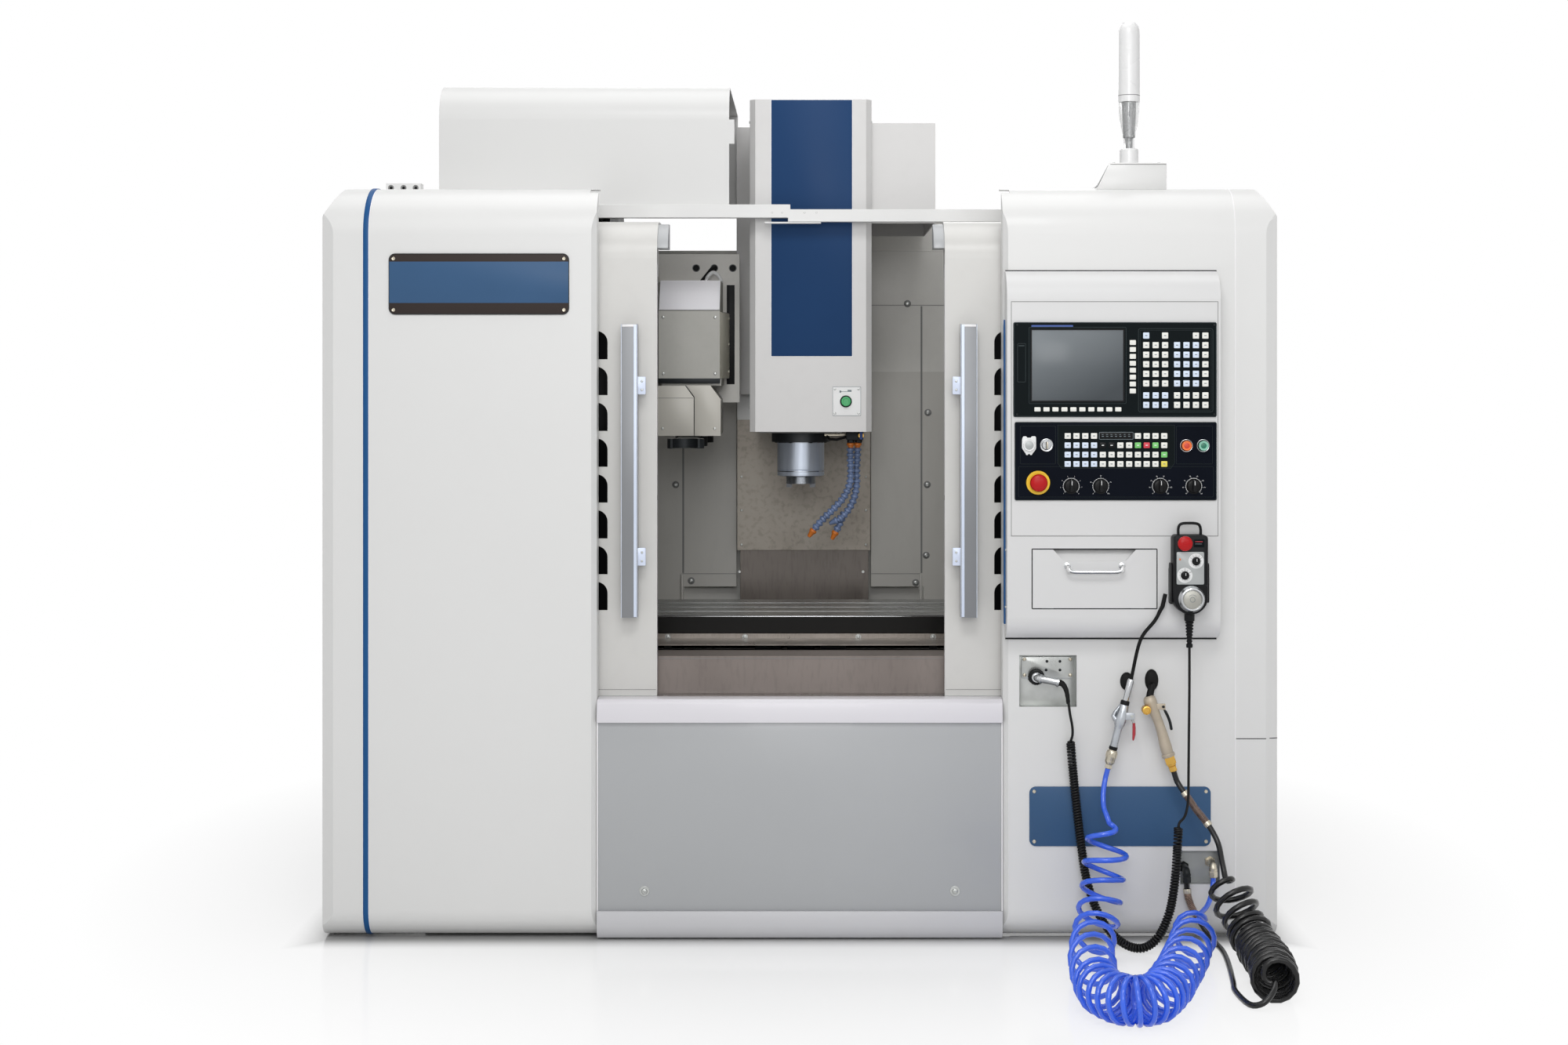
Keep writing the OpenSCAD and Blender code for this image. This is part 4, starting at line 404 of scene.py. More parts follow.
class Piece:
    """One mesh object put together from parts whose sizes are in millimetres from an origin."""

    def __init__(self, name, origin=(0, 0, 0)):
        self.name = name
        self.origin = origin
        self.bm = bmesh.new()
        self.materials = []

    def take(self, part, material, bevel=0, segments=2):
        """Adds a part, with its sharp edges rounded."""
        if bevel:
            bmesh.ops.remove_doubles(part, verts=part.verts, dist=POINT_GAP)
            sharp = [
                e for e in part.edges
                if len(e.link_faces) == 2 and e.calc_face_angle(0) > radians(BEVEL_ANGLE)
            ]
            bmesh.ops.bevel(part, geom=sharp, offset=bevel * MM, segments=segments, profile=0.5,
                            affect="EDGES", clamp_overlap=True)
        if material not in self.materials:
            self.materials.append(material)
        for face in part.faces:
            face.material_index = self.materials.index(material)
        mesh = bpy.data.meshes.new("part")
        part.to_mesh(mesh)
        part.free()
        self.bm.from_mesh(mesh)
        bpy.data.meshes.remove(mesh)

    def prism(self, outline, axis, low, high, material, bevel=0, segments=2, holes=(), turn=None):
        """An outline pushed along an axis. Outline pairs are (Y, Z), (X, Z) or (X, Y)."""
        part = bmesh.new()
        place = {
            "x": lambda a, b: mm(low, a, b),
            "y": lambda a, b: mm(a, low, b),
            "z": lambda a, b: mm(a, b, low),
        }[axis]
        rims = []
        for loop in [outline, *holes]:
            verts = [part.verts.new(place(*p)) for p in loop]
            rims += [part.edges.new((verts[i], verts[(i + 1) % len(verts)])) for i in range(len(verts))]
        if holes:
            found = bmesh.ops.triangle_fill(part, edges=rims, use_beauty=True)["geom"]
            faces = [f for f in found if isinstance(f, bmesh.types.BMFace)]
        else:
            faces = [part.faces.new(part.verts)]
        grown = bmesh.ops.extrude_face_region(part, geom=faces)["geom"]
        step = {"x": (1, 0, 0), "y": (0, 1, 0), "z": UP}[axis]
        moved = [v for v in grown if isinstance(v, bmesh.types.BMVert)]
        bmesh.ops.translate(part, verts=moved, vec=Vector(step) * (high - low) * MM)
        bmesh.ops.recalc_face_normals(part, faces=part.faces)
        if turn is not None:
            bmesh.ops.transform(part, matrix=turn, verts=part.verts)
        self.take(part, material, bevel, segments)

    def box(self, x, y, z, material, bevel=0, turn=None):
        """A block between two limits on each axis."""
        self.prism(rectangle(x, z), "y", *y, material, bevel, turn=turn)

    def loft(self, rings, material):
        """A skin over rings of points in millimetres, each with as many points."""
        part = bmesh.new()
        made = [[part.verts.new(mm(*p)) for p in ring] for ring in rings]
        for a, b in zip(made, made[1:]):
            for k in range(len(a)):
                part.faces.new((a[k], a[(k + 1) % len(a)], b[(k + 1) % len(a)], b[k]))
        part.faces.new(made[0])
        part.faces.new(made[-1])
        bmesh.ops.recalc_face_normals(part, faces=part.faces)
        self.take(part, material)

    def slab(self, x, z, back, face, material, r, soft, steps=4):
        """A plate that faces the front, with round corners and a soft front edge."""
        rings = []
        for inset, depth in ((0, back), (0, face + soft), (0.3 * soft, face + 0.3 * soft), (soft, face)):
            outline = rounded(x[0] + inset, x[1] - inset, z[0] + inset, z[1] - inset, max(r - inset, 0.15),
                              steps)
            rings.append([(a, depth, b) for a, b in outline])
        self.loft(rings, material)

    def outline(self, x, z, r, width, back, face, material, steps=4):
        """A raised frame line round a rectangle."""
        inner = rounded(x[0] + width, x[1] - width, z[0] + width, z[1] - width, max(r - width, 0.2), steps)
        self.prism(rounded(*x, *z, r, steps), "y", face, back, material, holes=[inner])

    def marks(self, at, angles, out, y, half, material):
        """Bars that point away from (X, Z), between two distances and two Y, one at each angle."""
        for angle in angles:
            self.box(out, y, (-half, half), material, turn=spun(*at, angle))

    def lathe(self, profile, origin, axis, material, steps):
        """A profile of (radius, distance) turned round an axis that starts at origin."""
        part = bmesh.new()
        turn = Vector(UP).rotation_difference(Vector(axis)).to_matrix()
        rings = []
        for angle in turns(steps, 0.5):
            rings.append([
                part.verts.new(mm(*origin) + turn @ mm(r * cos(angle), r * sin(angle), h))
                for r, h in profile
            ])
        for i in range(steps):
            a, b = rings[i], rings[(i + 1) % steps]
            for j in range(len(profile) - 1):
                part.faces.new((a[j], b[j], b[j + 1], a[j + 1]))
        bmesh.ops.remove_doubles(part, verts=part.verts, dist=POINT_GAP)
        bmesh.ops.recalc_face_normals(part, faces=part.faces)
        self.take(part, material)

    def knob(self, profile, at, material, steps, y=0):
        """A profile turned round an axis that comes out of the front at (X, Z)."""
        self.lathe(profile, (at[0], y, at[1]), FRONT, material, steps)

    def screws(self, xs, ys, zs, axis, r, material):
        """Screws at every meeting of the X, Y and Z given."""
        for at in product(xs, ys, zs):
            self.screw(at, axis, r, material)

    def screw(self, at, axis, r, material):
        """A round screw head with a socket."""
        self.lathe([(0, 0.25 * r), (0.42 * r, 0.25 * r), (0.48 * r, 0.62 * r), (0.8 * r, 0.52 * r),
                    (r, 0.15 * r), (r, -0.1 * r), (0, -0.1 * r)], at, axis, material, 16)

    def pipe(self, points, radius, material, sides, closed=False, flat=1):
        """A round bar along points; radius is a number or one for each point."""
        part = bmesh.new()
        path = [mm(*p) for p in points]
        count = len(path)
        radii = radius if hasattr(radius, "__len__") else [radius] * count
        normal = None
        rings = []
        for i, p in enumerate(path):
            after = path[(i + 1) % count] if closed else path[min(i + 1, count - 1)]
            before = path[i - 1] if closed else path[max(i - 1, 0)]
            along = (after - before).normalized()
            if normal is None:
                normal = along.cross(Vector((0.31, 0.2, 0.93))).normalized()
            normal = (normal - along * normal.dot(along)).normalized()
            side = along.cross(normal)
            rings.append([
                part.verts.new(p + radii[i] * MM * (cos(2 * pi * k / sides) * normal
                                                    + flat * sin(2 * pi * k / sides) * side))
                for k in range(sides)
            ])
        for i in range(count if closed else count - 1):
            a, b = rings[i], rings[(i + 1) % count]
            for k in range(sides):
                part.faces.new((a[k], a[(k + 1) % sides], b[(k + 1) % sides], b[k]))
        if not closed:
            part.faces.new(rings[0])
            part.faces.new(rings[-1])
        bmesh.ops.recalc_face_normals(part, faces=part.faces)
        self.take(part, material)

    def strip(self, points, normals, width, low, high, material, middle):
        """A flat band along points in the YZ plane, from low to high over the skin, with its middle on X."""
        rings = []
        for x, p, n in zip(middle, points, normals):
            section = ((-1, low), (-1, high - 0.6), (-0.8, high), (0.8, high), (1, high - 0.6), (1, low))
            rings.append([(x + s * width / 2, p[0] + n[0] * h, p[1] + n[1] * h) for s, h in section])
        self.loft(rings, material)

    def digits(self, string, at, size, material):
        """Plain numbers that face the front."""
        curve = bpy.data.curves.new("digits", "FONT")
        curve.body = string
        curve.size = size * MM
        curve.align_x = "CENTER"
        curve.align_y = "CENTER"
        curve.extrude = 0.06 * MM
        curve.resolution_u = 2
        item = added("digits", curve)
        mesh = bpy.data.meshes.new_from_object(item)
        part = bmesh.new()
        part.from_mesh(mesh)
        part.transform(Matrix.Translation(mm(*at)) @ Matrix.Rotation(radians(90), 4, "X"))
        bpy.data.objects.remove(item)
        bpy.data.meshes.remove(mesh)
        self.take(part, material)

    def done(self, body, slot, replaces=()):
        """Makes the object, with smooth shading up to the sharp angle, and hangs it on its CAD body."""
        mesh = bpy.data.meshes.new(self.name)
        self.bm.transform(Matrix.Translation(mm(*self.origin)))
        self.bm.to_mesh(mesh)
        self.bm.free()
        for material in self.materials:
            mesh.materials.append(material)
        mesh.shade_smooth()
        mesh.set_sharp_from_angle(angle=radians(SHARP_ANGLE))
        item = added(self.name, mesh)
        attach(item, body)
        if replaces:
            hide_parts(*replaces)
        return item


def arc(cx, cy, r, start, end, steps):
    """Points on an arc, angles in degrees."""
    return [
        (cx + r * cos(radians(start + (end - start) * i / steps)),
         cy + r * sin(radians(start + (end - start) * i / steps)))
        for i in range(steps + 1)
    ]


def turns(count, start=0.0):
    """Even angles round a whole turn."""
    return [2 * pi * (k + start) / count for k in range(count)]


def offsets(start, *places):
    """Points at offsets from a start."""
    return [start + Vector(offset) for offset in places]


def spun(x, z, angle):
    """A turn about the front-to-back axis through a place."""
    return Matrix.Translation(mm(x, 0, z)) @ Matrix.Rotation(angle, 4, "Y")


def rectangle(x, z, grow=0):
    """The corners between two limits on each axis."""
    (x0, x1), (z0, z1) = x, z
    return [(x0 - grow, z0 - grow), (x1 + grow, z0 - grow), (x1 + grow, z1 + grow), (x0 - grow, z1 + grow)]


def rounded(x0, x1, z0, z1, r, steps=6):
    """A rectangle with round corners."""
    return (arc(x0 + r, z0 + r, r, 180, 270, steps) + arc(x1 - r, z0 + r, r, 270, 360, steps)
            + arc(x1 - r, z1 - r, r, 0, 90, steps) + arc(x0 + r, z1 - r, r, 90, 180, steps))


def smooth(points, steps):
    """A smooth line through points, the same one that the CAD sweeps its cords along."""
    line = []
    p = [Vector(q) for q in points]
    for i in range(len(p) - 1):
        a, b, c, d = p[max(i - 1, 0)], p[i], p[i + 1], p[min(i + 2, len(p) - 1)]
        for k in range(steps):
            t = k / steps
            line.append(0.5 * (2 * b + (c - a) * t + (2 * a - 5 * b + 4 * c - d) * t * t
                               + (3 * b - a - 3 * c + d) * t ** 3))
    line.append(p[-1])
    return line


# ---- Camera ----

camera_data = bpy.data.cameras.new("camera")
camera_data.lens = 53
camera_data.sensor_width = 36
camera_data.shift_x = -0.0165
camera_data.shift_y = -0.09175
camera = added("camera", camera_data)
camera.location = (0.0234, -6.309, 1.293)
camera.rotation_euler = (radians(90), 0, 0)
bpy.context.scene.camera = camera


# ---- Cords ----

CABLE_TOP = [
    (880, -1099, 686), (880, -1099, 600), (879, -1099, 500), (878, -1099, 400), (877, -1099, 340),
    (870, -1099, 306), (858, -1098, 291), (855, -1099, 280),
]
CABLE_CURL = [
    (855, -1099, 280), (853, -1100, 240), (847, -1104, 165), (834, -1112, 95), (810, -1118, 42),
    (784, -1118, 17), (758, -1112, 11), (730, -1096, 19), (700, -1066, 44), (674, -1038, 90),
    (656, -1024, 150), (646, -1020, 215), (638, -1020, 280), (631, -1020, 345), (625, -1022, 405),
    (620, -1024, 462),
]
CABLE_END = [
    (620, -1024, 462), (624, -1030, 478), (622, -1042, 500), (616, -1048, 530), (612, -1048, 560),
    (608, -1044, 582), (602, -1037, 594), (596, -1034, 598),
]
AIR_LEAD = [
    (703, -1045, 404), (697, -1045, 380), (691, -1056, 350), (690, -1072, 322), (694, -1092, 306),
    (698, -1100, 294),
]
AIR_COIL = [
    (698, -1100, 294), (692, -1108, 235), (683, -1118, 175), (671, -1144, 110), (655, -1192, 62),
    (636, -1290, 54), (621, -1430, 54), (612, -1570, 54), (622, -1660, 54), (662, -1712, 54),
    (708, -1700, 54), (747, -1625, 54), (786, -1510, 54), (822, -1390, 54), (853, -1270, 54),
    (883, -1165, 60), (900, -1110, 82),
]
AIR_TAIL = [
    (900, -1110, 82), (908, -1092, 86), (926, -1062, 94), (940, -1036, 112), (947, -1020, 134),
    (948, -1018, 150),
]
WASH_LEAD = [
    (853, -1045, 398), (861, -1045, 374), (876, -1054, 350), (900, -1064, 315), (926, -1080, 282),
    (944, -1100, 246), (948, -1130, 210), (950, -1165, 176),
]
WASH_COIL = [
    (950, -1165, 176), (964, -1200, 132), (985, -1245, 84), (998, -1310, 56), (1000, -1390, 53),
    (994, -1470, 53), (983, -1550, 53),
]
WASH_TAIL = [
    (983, -1550, 53), (981, -1562, 50), (972, -1580, 36), (950, -1590, 16), (926, -1570, 8),
    (916, -1470, 8), (924, -1400, 8), (936, -1300, 8), (946, -1200, 8), (950, -1120, 8),
    (944, -1070, 12), (926, -1040, 34), (904, -1024, 70), (890, -1018, 105), (887, -1018, 138),
]
AIR_TURNS = [0, 1, 2.2, 3.6, 5, 6, 7.2, 8.6, 10.6, 13.8, 17.2, 20, 22, 23.5, 25, 26.3, 27]
WASH_TURNS = [0, 1.6, 3.8, 7, 12, 17, 22]
CABLE_PITCH = 6.35
EASED_TURNS = 0.7


def coil(route, counts, radius, steps, wobble=0, per_turn=16):
    """A coil round a route; counts has the turns made up to each of the route's points."""
    middle = smooth(route, steps)
    count = len(middle)
    along = [(middle[min(i + 1, count - 1)] - middle[max(i - 1, 0)]).normalized() for i in range(count)]
    normal = Vector((0.2, 1, 0.1))
    normals = []
    for direction in along:
        normal = (normal - direction * normal.dot(direction)).normalized()
        normals.append(normal.copy())
    total = counts[-1]
    at = []
    for i in range(count):
        k, part = min(i // steps, len(counts) - 2), (i % steps) / steps
        if i == count - 1:
            k, part = len(counts) - 2, 1
        at.append(counts[k] + (counts[k + 1] - counts[k]) * part)
    points = []
    i = 0
    samples = int(total * per_turn)
    for s in range(samples + 1):
        turn = total * s / samples
        while i < count - 2 and at[i + 1] < turn:
            i += 1
        f = min(1, max(0, (turn - at[i]) / max(1e-9, at[i + 1] - at[i])))
        centre = middle[i].lerp(middle[i + 1], f)
        direction = along[i].lerp(along[i + 1], f).normalized()
        n = normals[i].lerp(normals[i + 1], f)
        n = (n - direction * n.dot(direction)).normalized()
        b = direction.cross(n)
        grow = min(1, turn / EASED_TURNS, (total - turn) / EASED_TURNS)
        grow = grow * grow * (3 - 2 * grow)
        r = radius * grow * (1 - wobble * (0.5 + 0.5 * sin(turn * 2.3 + 1)))
        angle = 2 * pi * turn
        points.append(centre + r * (cos(angle) * n + sin(angle) * b))
    return points


def cord_curve(name, points, diameter, material, sides=3):
    """A round curve through points in millimetres."""
    data = bpy.data.curves.new(name, "CURVE")
    data.dimensions = "3D"
    data.bevel_depth = diameter * MM / 2
    data.bevel_resolution = sides
    data.use_fill_caps = True
    line = data.splines.new("POLY")
    line.points.add(len(points) - 1)
    for p, q in zip(line.points, points):
        p.co = (*(Vector(q) * MM), 1)
    line.use_smooth = True
    data.materials.append(material)
    return added(name, data)


cable_turns = [0]
for a, b in zip(CABLE_CURL, CABLE_CURL[1:]):
    cable_turns.append(cable_turns[-1] + (Vector(b) - Vector(a)).length / CABLE_PITCH)
cable_points = (smooth(CABLE_TOP, 4)[:-1] + coil(CABLE_CURL, cable_turns, 7.5, 12, per_turn=12)[1:-1]
                + smooth(CABLE_END, 4)[1:])
air_points = (smooth(AIR_LEAD, 4)[:-1] + coil(AIR_COIL, AIR_TURNS, 46.5, 12, 0.03)[1:-1]
              + smooth(AIR_TAIL, 4)[1:])
wash_points = (smooth(WASH_LEAD, 4)[:-1] + coil(WASH_COIL, WASH_TURNS, 45.5, 16, 0.12)[1:-1]
               + smooth(WASH_TAIL, 4)[1:])
cable = cord_curve("pendant_lead", cable_points, 6, CABLE_BLACK)
air = cord_curve("air_gun_hose", air_points, 12, HOSE_BLUE, 4)
wash = cord_curve("coolant_gun_hose", wash_points, 13, HOSE_BLACK, 4)
for item, nodes, slot in (
    (cable, ("pendant_cable", "pendant_cable_curl"), "cable_black"),
    (air, ("air_hose", "air_hose_spiral"), "hose_blue"),
    (wash, ("coolant_hose", "coolant_hose_spiral"), "hose_black"),
):
    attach(item, "frame")
    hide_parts(*nodes)


# ---- CAD nodes that stay: finishes, some with painted light or shade, and rounded edges ----

NODE_SURFACES = {
    "base_casting": (CASTING, 3), "guideways_and_motors": (GROUND, 0.8), "column_casting": (COLUMN, 4),
    "work_area_guards": (GUARDS, 0.8), "left_tower": (BODY, 1.4), "right_tower": (BODY, 1.4),
    "door_beam": (BODY, 1.2), "magazine_hood": (HOOD, 1.2), "tool_changer_gearbox": (CHANGER, 2),
    "panel_housing": (PANEL, 1.2), "electrical_cabinet": (CABINET, 1.2), "coolant_tank": (HOOD, 1.5),
    "left_door": (DOORS, 1.2), "right_door": (DOORS, 1.2), "saddle_casting": (SADDLE, 1),
    "table": (TABLE, 0.8), "x_screw": (GROUND, 0), "y_screw": (GROUND, 0), "z_screw": (GROUND, 0),
    "head_casting": (HEAD, 2), "spindle_cartridge": (CARTRIDGE, 1), "spindle_shaft": (SHAFT, 0.6),
    "head_cover": (HEAD_COVER, 1.2), "arm_quill": (GROUND, 0), "exchange_arm": (BLACK_OXIDE, 1),
    "magazine_disc": (BLACK_OXIDE, 0.8), "exchange_pot": (BLACK_OXIDE, 0.8), "drawer": (PANEL, 0.8),
    "cabinet_door": (CABINET, 1.2),
}
for name, (material, width) in NODE_SURFACES.items():
    mesh = NODES[name].data
    for i in range(len(mesh.materials)):
        mesh.materials[i] = material
    if width:
        weld = NODES[name].modifiers.new("weld", "WELD")
        weld.merge_threshold = WELD_GAP
        soft = NODES[name].modifiers.new("edges", "BEVEL")
        soft.width = width * MM
        soft.segments = 2
        soft.limit_method = "ANGLE"
        soft.angle_limit = radians(SHARP_ANGLE)
        soft.use_clamp_overlap = True
        weighted = NODES[name].modifiers.new("normals", "WEIGHTED_NORMAL")
        weighted.keep_sharp = True

FRONT_Y = edges("left_tower")[1][0]
INNER = -edges("left_tower")[0][1]
HALF = edges("right_tower")[0][1]
ROOF = edges("right_tower")[2][1]
SILL_TOP = edges("front_guard")[2][1]
GAP = edges("front_guard")[2][0]


# ---- Sill, apron and lip ----

panels = Piece("front_panels", (0, FRONT_Y, 0))
sill_low = SILL_TOP - 53
panels.prism([(0, sill_low), (6, SILL_TOP - 9), (16, SILL_TOP), (63, SILL_TOP), (63, SILL_TOP - 114),
              (60, SILL_TOP - 114), (60, SILL_TOP - 3), (18, SILL_TOP - 3), (9, SILL_TOP - 11),
              (3, sill_low + 3), (14, sill_low + 3), (14, sill_low)], "x", 0.6 - INNER, INNER - 0.6, SILL,
             1.4, 3)
panels.box((2 - INNER, INNER - 2), (10, 14), (67, sill_low), APRON, 0.8)
# The bottom lip takes the darker lip material: painted shade near the floor.
panels.prism([(0, 67), (0, 34), (3.5, 19), (12, GAP), (60, GAP), (60, GAP + 3), (14, GAP + 3), (6, 21),
              (3, 35), (3, 64), (14, 64), (14, 67)], "x", 0.6 - INNER, INNER - 0.6, LIP, 1.2, 2)
for s in (-1, 1):
    at = (s * (INNER - 110), 9.4, 112)
    panels.lathe([(0, 0.8), (11, 0.8), (12, 0), (12, -0.8)], at, FRONT, ZINC, 32)
    panels.screw((at[0], at[1] - 0.6, at[2]), FRONT, 7, ZINC)
    panels.box((s * 466 - 1.5, s * 466 + 1.5), (7, 10), (67, sill_low), TRIM_WHITE, 0.4)
panels.box((60 - HALF, HALF - 60), (62, 98), (SILL_TOP - 8, SILL_TOP - 0.3), GROUND, 0.8)
panels.box((-438, 438), (14, 30), (70, 96), SILL, 1)
panels.done("frame", "enclosure_paint", ["front_guard"])


# ---- Towers: blue line, seams and plates ----

FOOT_R = 65
NOSE_R = 110


def tower_line(back=60):
    """Points up a tower's front and over its nose, with the outward direction at each."""
    points, normals = [], []
    for y, z in arc(FRONT_Y + FOOT_R, GAP + FOOT_R, FOOT_R, 268, 180, 12):
        points.append((y, z))
        normals.append(((y - FRONT_Y - FOOT_R) / FOOT_R, (z - GAP - FOOT_R) / FOOT_R))
    for z in (400, 800, 1200, ROOF - NOSE_R - 40):
        points.append((FRONT_Y, z))
        normals.append((-1, 0))
    for y, z in arc(FRONT_Y + NOSE_R, ROOF - NOSE_R, NOSE_R, 180, 90, 16):
        points.append((y, z))
        normals.append(((y - FRONT_Y - NOSE_R) / NOSE_R, (z - ROOF + NOSE_R) / NOSE_R))
    points.append((FRONT_Y + NOSE_R + back, ROOF))
    normals.append((0, 1))
    return points, normals


line, outward = tower_line()
swing = [max(0, (p[0] - FRONT_Y)) / 170 * (8 if p[1] > 900 else 4) for p in line]
trim = Piece("tower_trim")
trim.strip(line, outward, 12, -0.5, 2.2, TRIM_BLUE, [-998 + d for d in swing])
# A white band a little wider than the blue line shows as thin white edges along it: a painted highlight.
trim.strip(line, outward, 15, -0.5, 0.6, TRIM_WHITE, [-998 + d for d in swing])
trim.done("frame", "blue_plate")

seams = Piece("tower_seams")
line, outward = tower_line(420)
seams.strip(line, outward, 3, -0.5, 1, TRIM_WHITE, [1002] * len(line))
seams.box((1003, HALF - 28), (FRONT_Y - 0.35, FRONT_Y + 1), (464, 465.8), DARK_SEAM)
seams.prism([(HALF - 28, FRONT_Y - 0.35), (HALF + 0.3, FRONT_Y + 10.8), (HALF, FRONT_Y + 13),
             (HALF - 28, FRONT_Y + 2)], "z", 464.3, 466.1, DARK_SEAM)
seams.box((HALF - 1, HALF + 0.35), (FRONT_Y + 11, 500), (464.3, 466.1), DARK_SEAM)
for s in (-1, 1):
    x = (s * HALF - 1, s * HALF + 0.35)
    for y in (-640, -180, 290):
        seams.box(x, (y, y + 1.6), (60, 1655), SEAM)
    seams.screws([s * HALF], (-600, -220, -140, 250, 330, 470), (90, 440, 820, 1200, 1600), (s, 0, 0), 5,
                 ZINC)
seams.done("frame", "enclosure_paint")

plates = Piece("front_plates", (0, FRONT_Y, 0))
left = (-INNER - 477, -INNER - 62)
plates.slab(left, (1440, 1581), 0.5, -3, DARK_BAND, 15, 0.8, 8)
plates.slab((left[0] + 0.6, left[1] - 0.6), (1467, 1562), -2, -3.3, PLATE_BLUE_SHEEN, 0.6, 0.2, 2)
plates.outline((left[0] + 0.4, left[1] - 0.4), (1440.4, 1580.6), 14.8, 1.2, -2.6, -3.5, BEZEL_EDGE, 8)
right = (INNER + 60, INNER + 477)
plates.slab(right, (218, 355), 0.5, -3, PLATE_BLUE_SHEEN, 15, 0.8, 8)
for xs, zs in (((left[0] + 11, left[1] - 12), (1451, 1569)), ((right[0] + 11, right[1] - 11), (229, 344))):
    for at in product(xs, zs):
        plates.knob([(0, 1.4), (1.6, 1.4), (2.2, 1), (3.4, 1.2), (4.2, 0.5), (4.4, 0)], at, NICKEL, 20, -3)
plates.done("frame", "blue_plate", ["name_plates"])


# ---- Doors ----

HANDLE_Z = (SILL_TOP + 187, SILL_TOP + 865)
HANDLE_FACE = -48
HANDLE_WIDE = 39
DOOR_BACK = 70
for side, name, meet, handle in ((1, "left_door", edges("left_door")[0][1], -61),
                                 (-1, "right_door", edges("right_door")[0][0], -53)):
    door = Piece(name + "_fittings", (meet, FRONT_Y + DOOR_BACK, 0))
    face, half = HANDLE_FACE, HANDLE_WIDE / 2

    def span(a, b):
        return tuple(sorted((side * a, side * b)))

    door.box(span(-455, -105), (3.2, 5), (742, 1412), PANE, 0.4)
    hx = side * handle
    low, high = HANDLE_Z
    door.prism([(hx - half, face + 22.4), (hx - half, face + 3), (hx - half + 2.6, face - 0.6),
                (hx + half - 2.6, face - 0.6), (hx + half, face + 3), (hx + half, face + 22.4)], "z",
               low - 0.4, high + 0.4, SATIN, 0.5)
    # A pale strip along the handle's inner edge is a painted highlight.
    near = span(handle + half - 9, handle + half - 2.8)
    door.box(near, (face - 1.1, face), (low + 1.5, high - 1.5), HANDLE_HIGHLIGHT, 0.4)
    door.box(span(handle - half + 3, handle + half - 3), (face - 1, face), (high - 6, high - 0.5),
             TRIM_WHITE, 0.3)
    for z in (low + 120, low + 516):
        door.slab(span(handle, handle + 37.5), (z - 0.5, z + 40.5), face + 14.5, face + 7.2,
                  BRACKET_BLUE, 2, 1)
        door.screws([side * (handle + 29)], [face + 7.4], (z + 10, z + 30), FRONT, 3, ZINC)
    door.box(span(-2.5, 0.3), (2, 24), (SILL_TOP + 6, 1560), TRIM_WHITE, 0.4)
    door.box(span(-0.2, 0.5), (9, 15), (1009, 1021), DARK_SEAM)
    door.box(span(-620, -2), (-0.35, 1), (SILL_TOP + 14, SILL_TOP + 15), SEAM)
    stop = [(90 - 86 * cos(radians(a)), 1574 + 86 * sin(radians(a))) for a in (16, 28, 40, 52, 64, 75)]
    door.prism(stop + [(92, 1657), (92, 1597.7)], "x", *span(-0.5, 25), APRON, 0.5)
    door.done(name, "door_paint")


# ---- Operator panel ----

(HX0, HX1), (HY0, _), (HZ0, HZ1) = edges("panel_housing")
trim = Piece("housing_lines")
# A dark plate just behind the housing's outline: a gasket, with painted shadow in the gap round the housing.
trim.box((HX0 + 1.5, HX1 + 2.5), (FRONT_Y - 1.4, FRONT_Y + 0.5), (HZ0 - 6.5, HZ1 + 2.5), DARK_SEAM, 0.5)
blue = [(HY0 + 40, HZ0 + 32), (FRONT_Y - 2, HZ0 + 32), (FRONT_Y - 2, HZ1 - 130), (HY0 + 52, HZ1 - 112),
        (HY0 + 44, HZ1 - 150)]
trim.prism(blue, "x", HX0 - 3.5, HX0 + 1, TRIM_BLUE, 0.3)
for x in (HX0 + 9, HX1 - 7):
    trim.box((x, x + 1.3), (HY0 - 0.35, HY0 + 1), (936, 1467), SEAM)
trim.box((HX0 + 9, HX1 - 6), (HY0 - 0.35, HY0 + 1), (1467, 1468.4), SEAM)
trim.box((HX0 + 9, HX1 - 6), (HY0 - 0.35, HY0 + 1), (935, 936.6), SEAM)
trim.screws([HX0 - 0.2], [HY0 + 30], (772, 902), (-1, 0, 0), 3, ZINC)
trim.done("frame", "panel_black")


def key(piece, x, z, w, h, material, mark=None):
    """A key cap on the piece's front, with a plain printed bar."""
    piece.slab((x - w / 2, x + w / 2), (z - h / 2, z + h / 2), 0, -2, material, 1.3, 0.8, 2)
    if mark is not None:
        piece.box((x - 2.6, x + 2.6), (-2.08, -1.9), (z - 0.9, z + 0.9), mark)


(x0, x1), (y0, y1), (z0, z1) = edges("screen_unit")
wide, back, tall = x1 - x0, y1 - y0 - 2, z1 - z0
unit = Piece("control_unit", (x0, y0 + 2, z0))
glass_x, glass_z = (36, 249), (34, tall - 15)
unit.prism(rounded(-3, wide, 0, tall, 4), "y", 0, 4, BEZEL, holes=[rectangle(glass_x, glass_z)])
unit.box((5, wide - 5), (4, back), (5, tall - 5), BEZEL, 2)
unit.outline((-2.4, wide - 0.6), (0.6, tall - 0.6), 3.6, 1.4, 0.5, -0.5, BEZEL_EDGE)
unit.outline((glass_x[0] - 0.2, glass_x[1] + 0.2), (glass_z[0] - 0.2, glass_z[1] + 0.2), 0.6, 3.2, 3, 0.6,
             GLOSS_BLACK)
unit.outline((glass_x[0] - 4, glass_x[1] + 4), (glass_z[0] - 4, glass_z[1] + 4), 3, 0.9, 0.5, -0.3,
             BEZEL_EDGE)
unit.box(glass_x, (1.4, 3.6), glass_z, SCREEN, 0.2)
unit.outline((6, 25), (79, 167), 2, 0.9, 0.5, -0.4, BEZEL_EDGE)
unit.box((9, 22), (-0.3, 0.5), (160, 163), BEZEL_EDGE, 0.2)
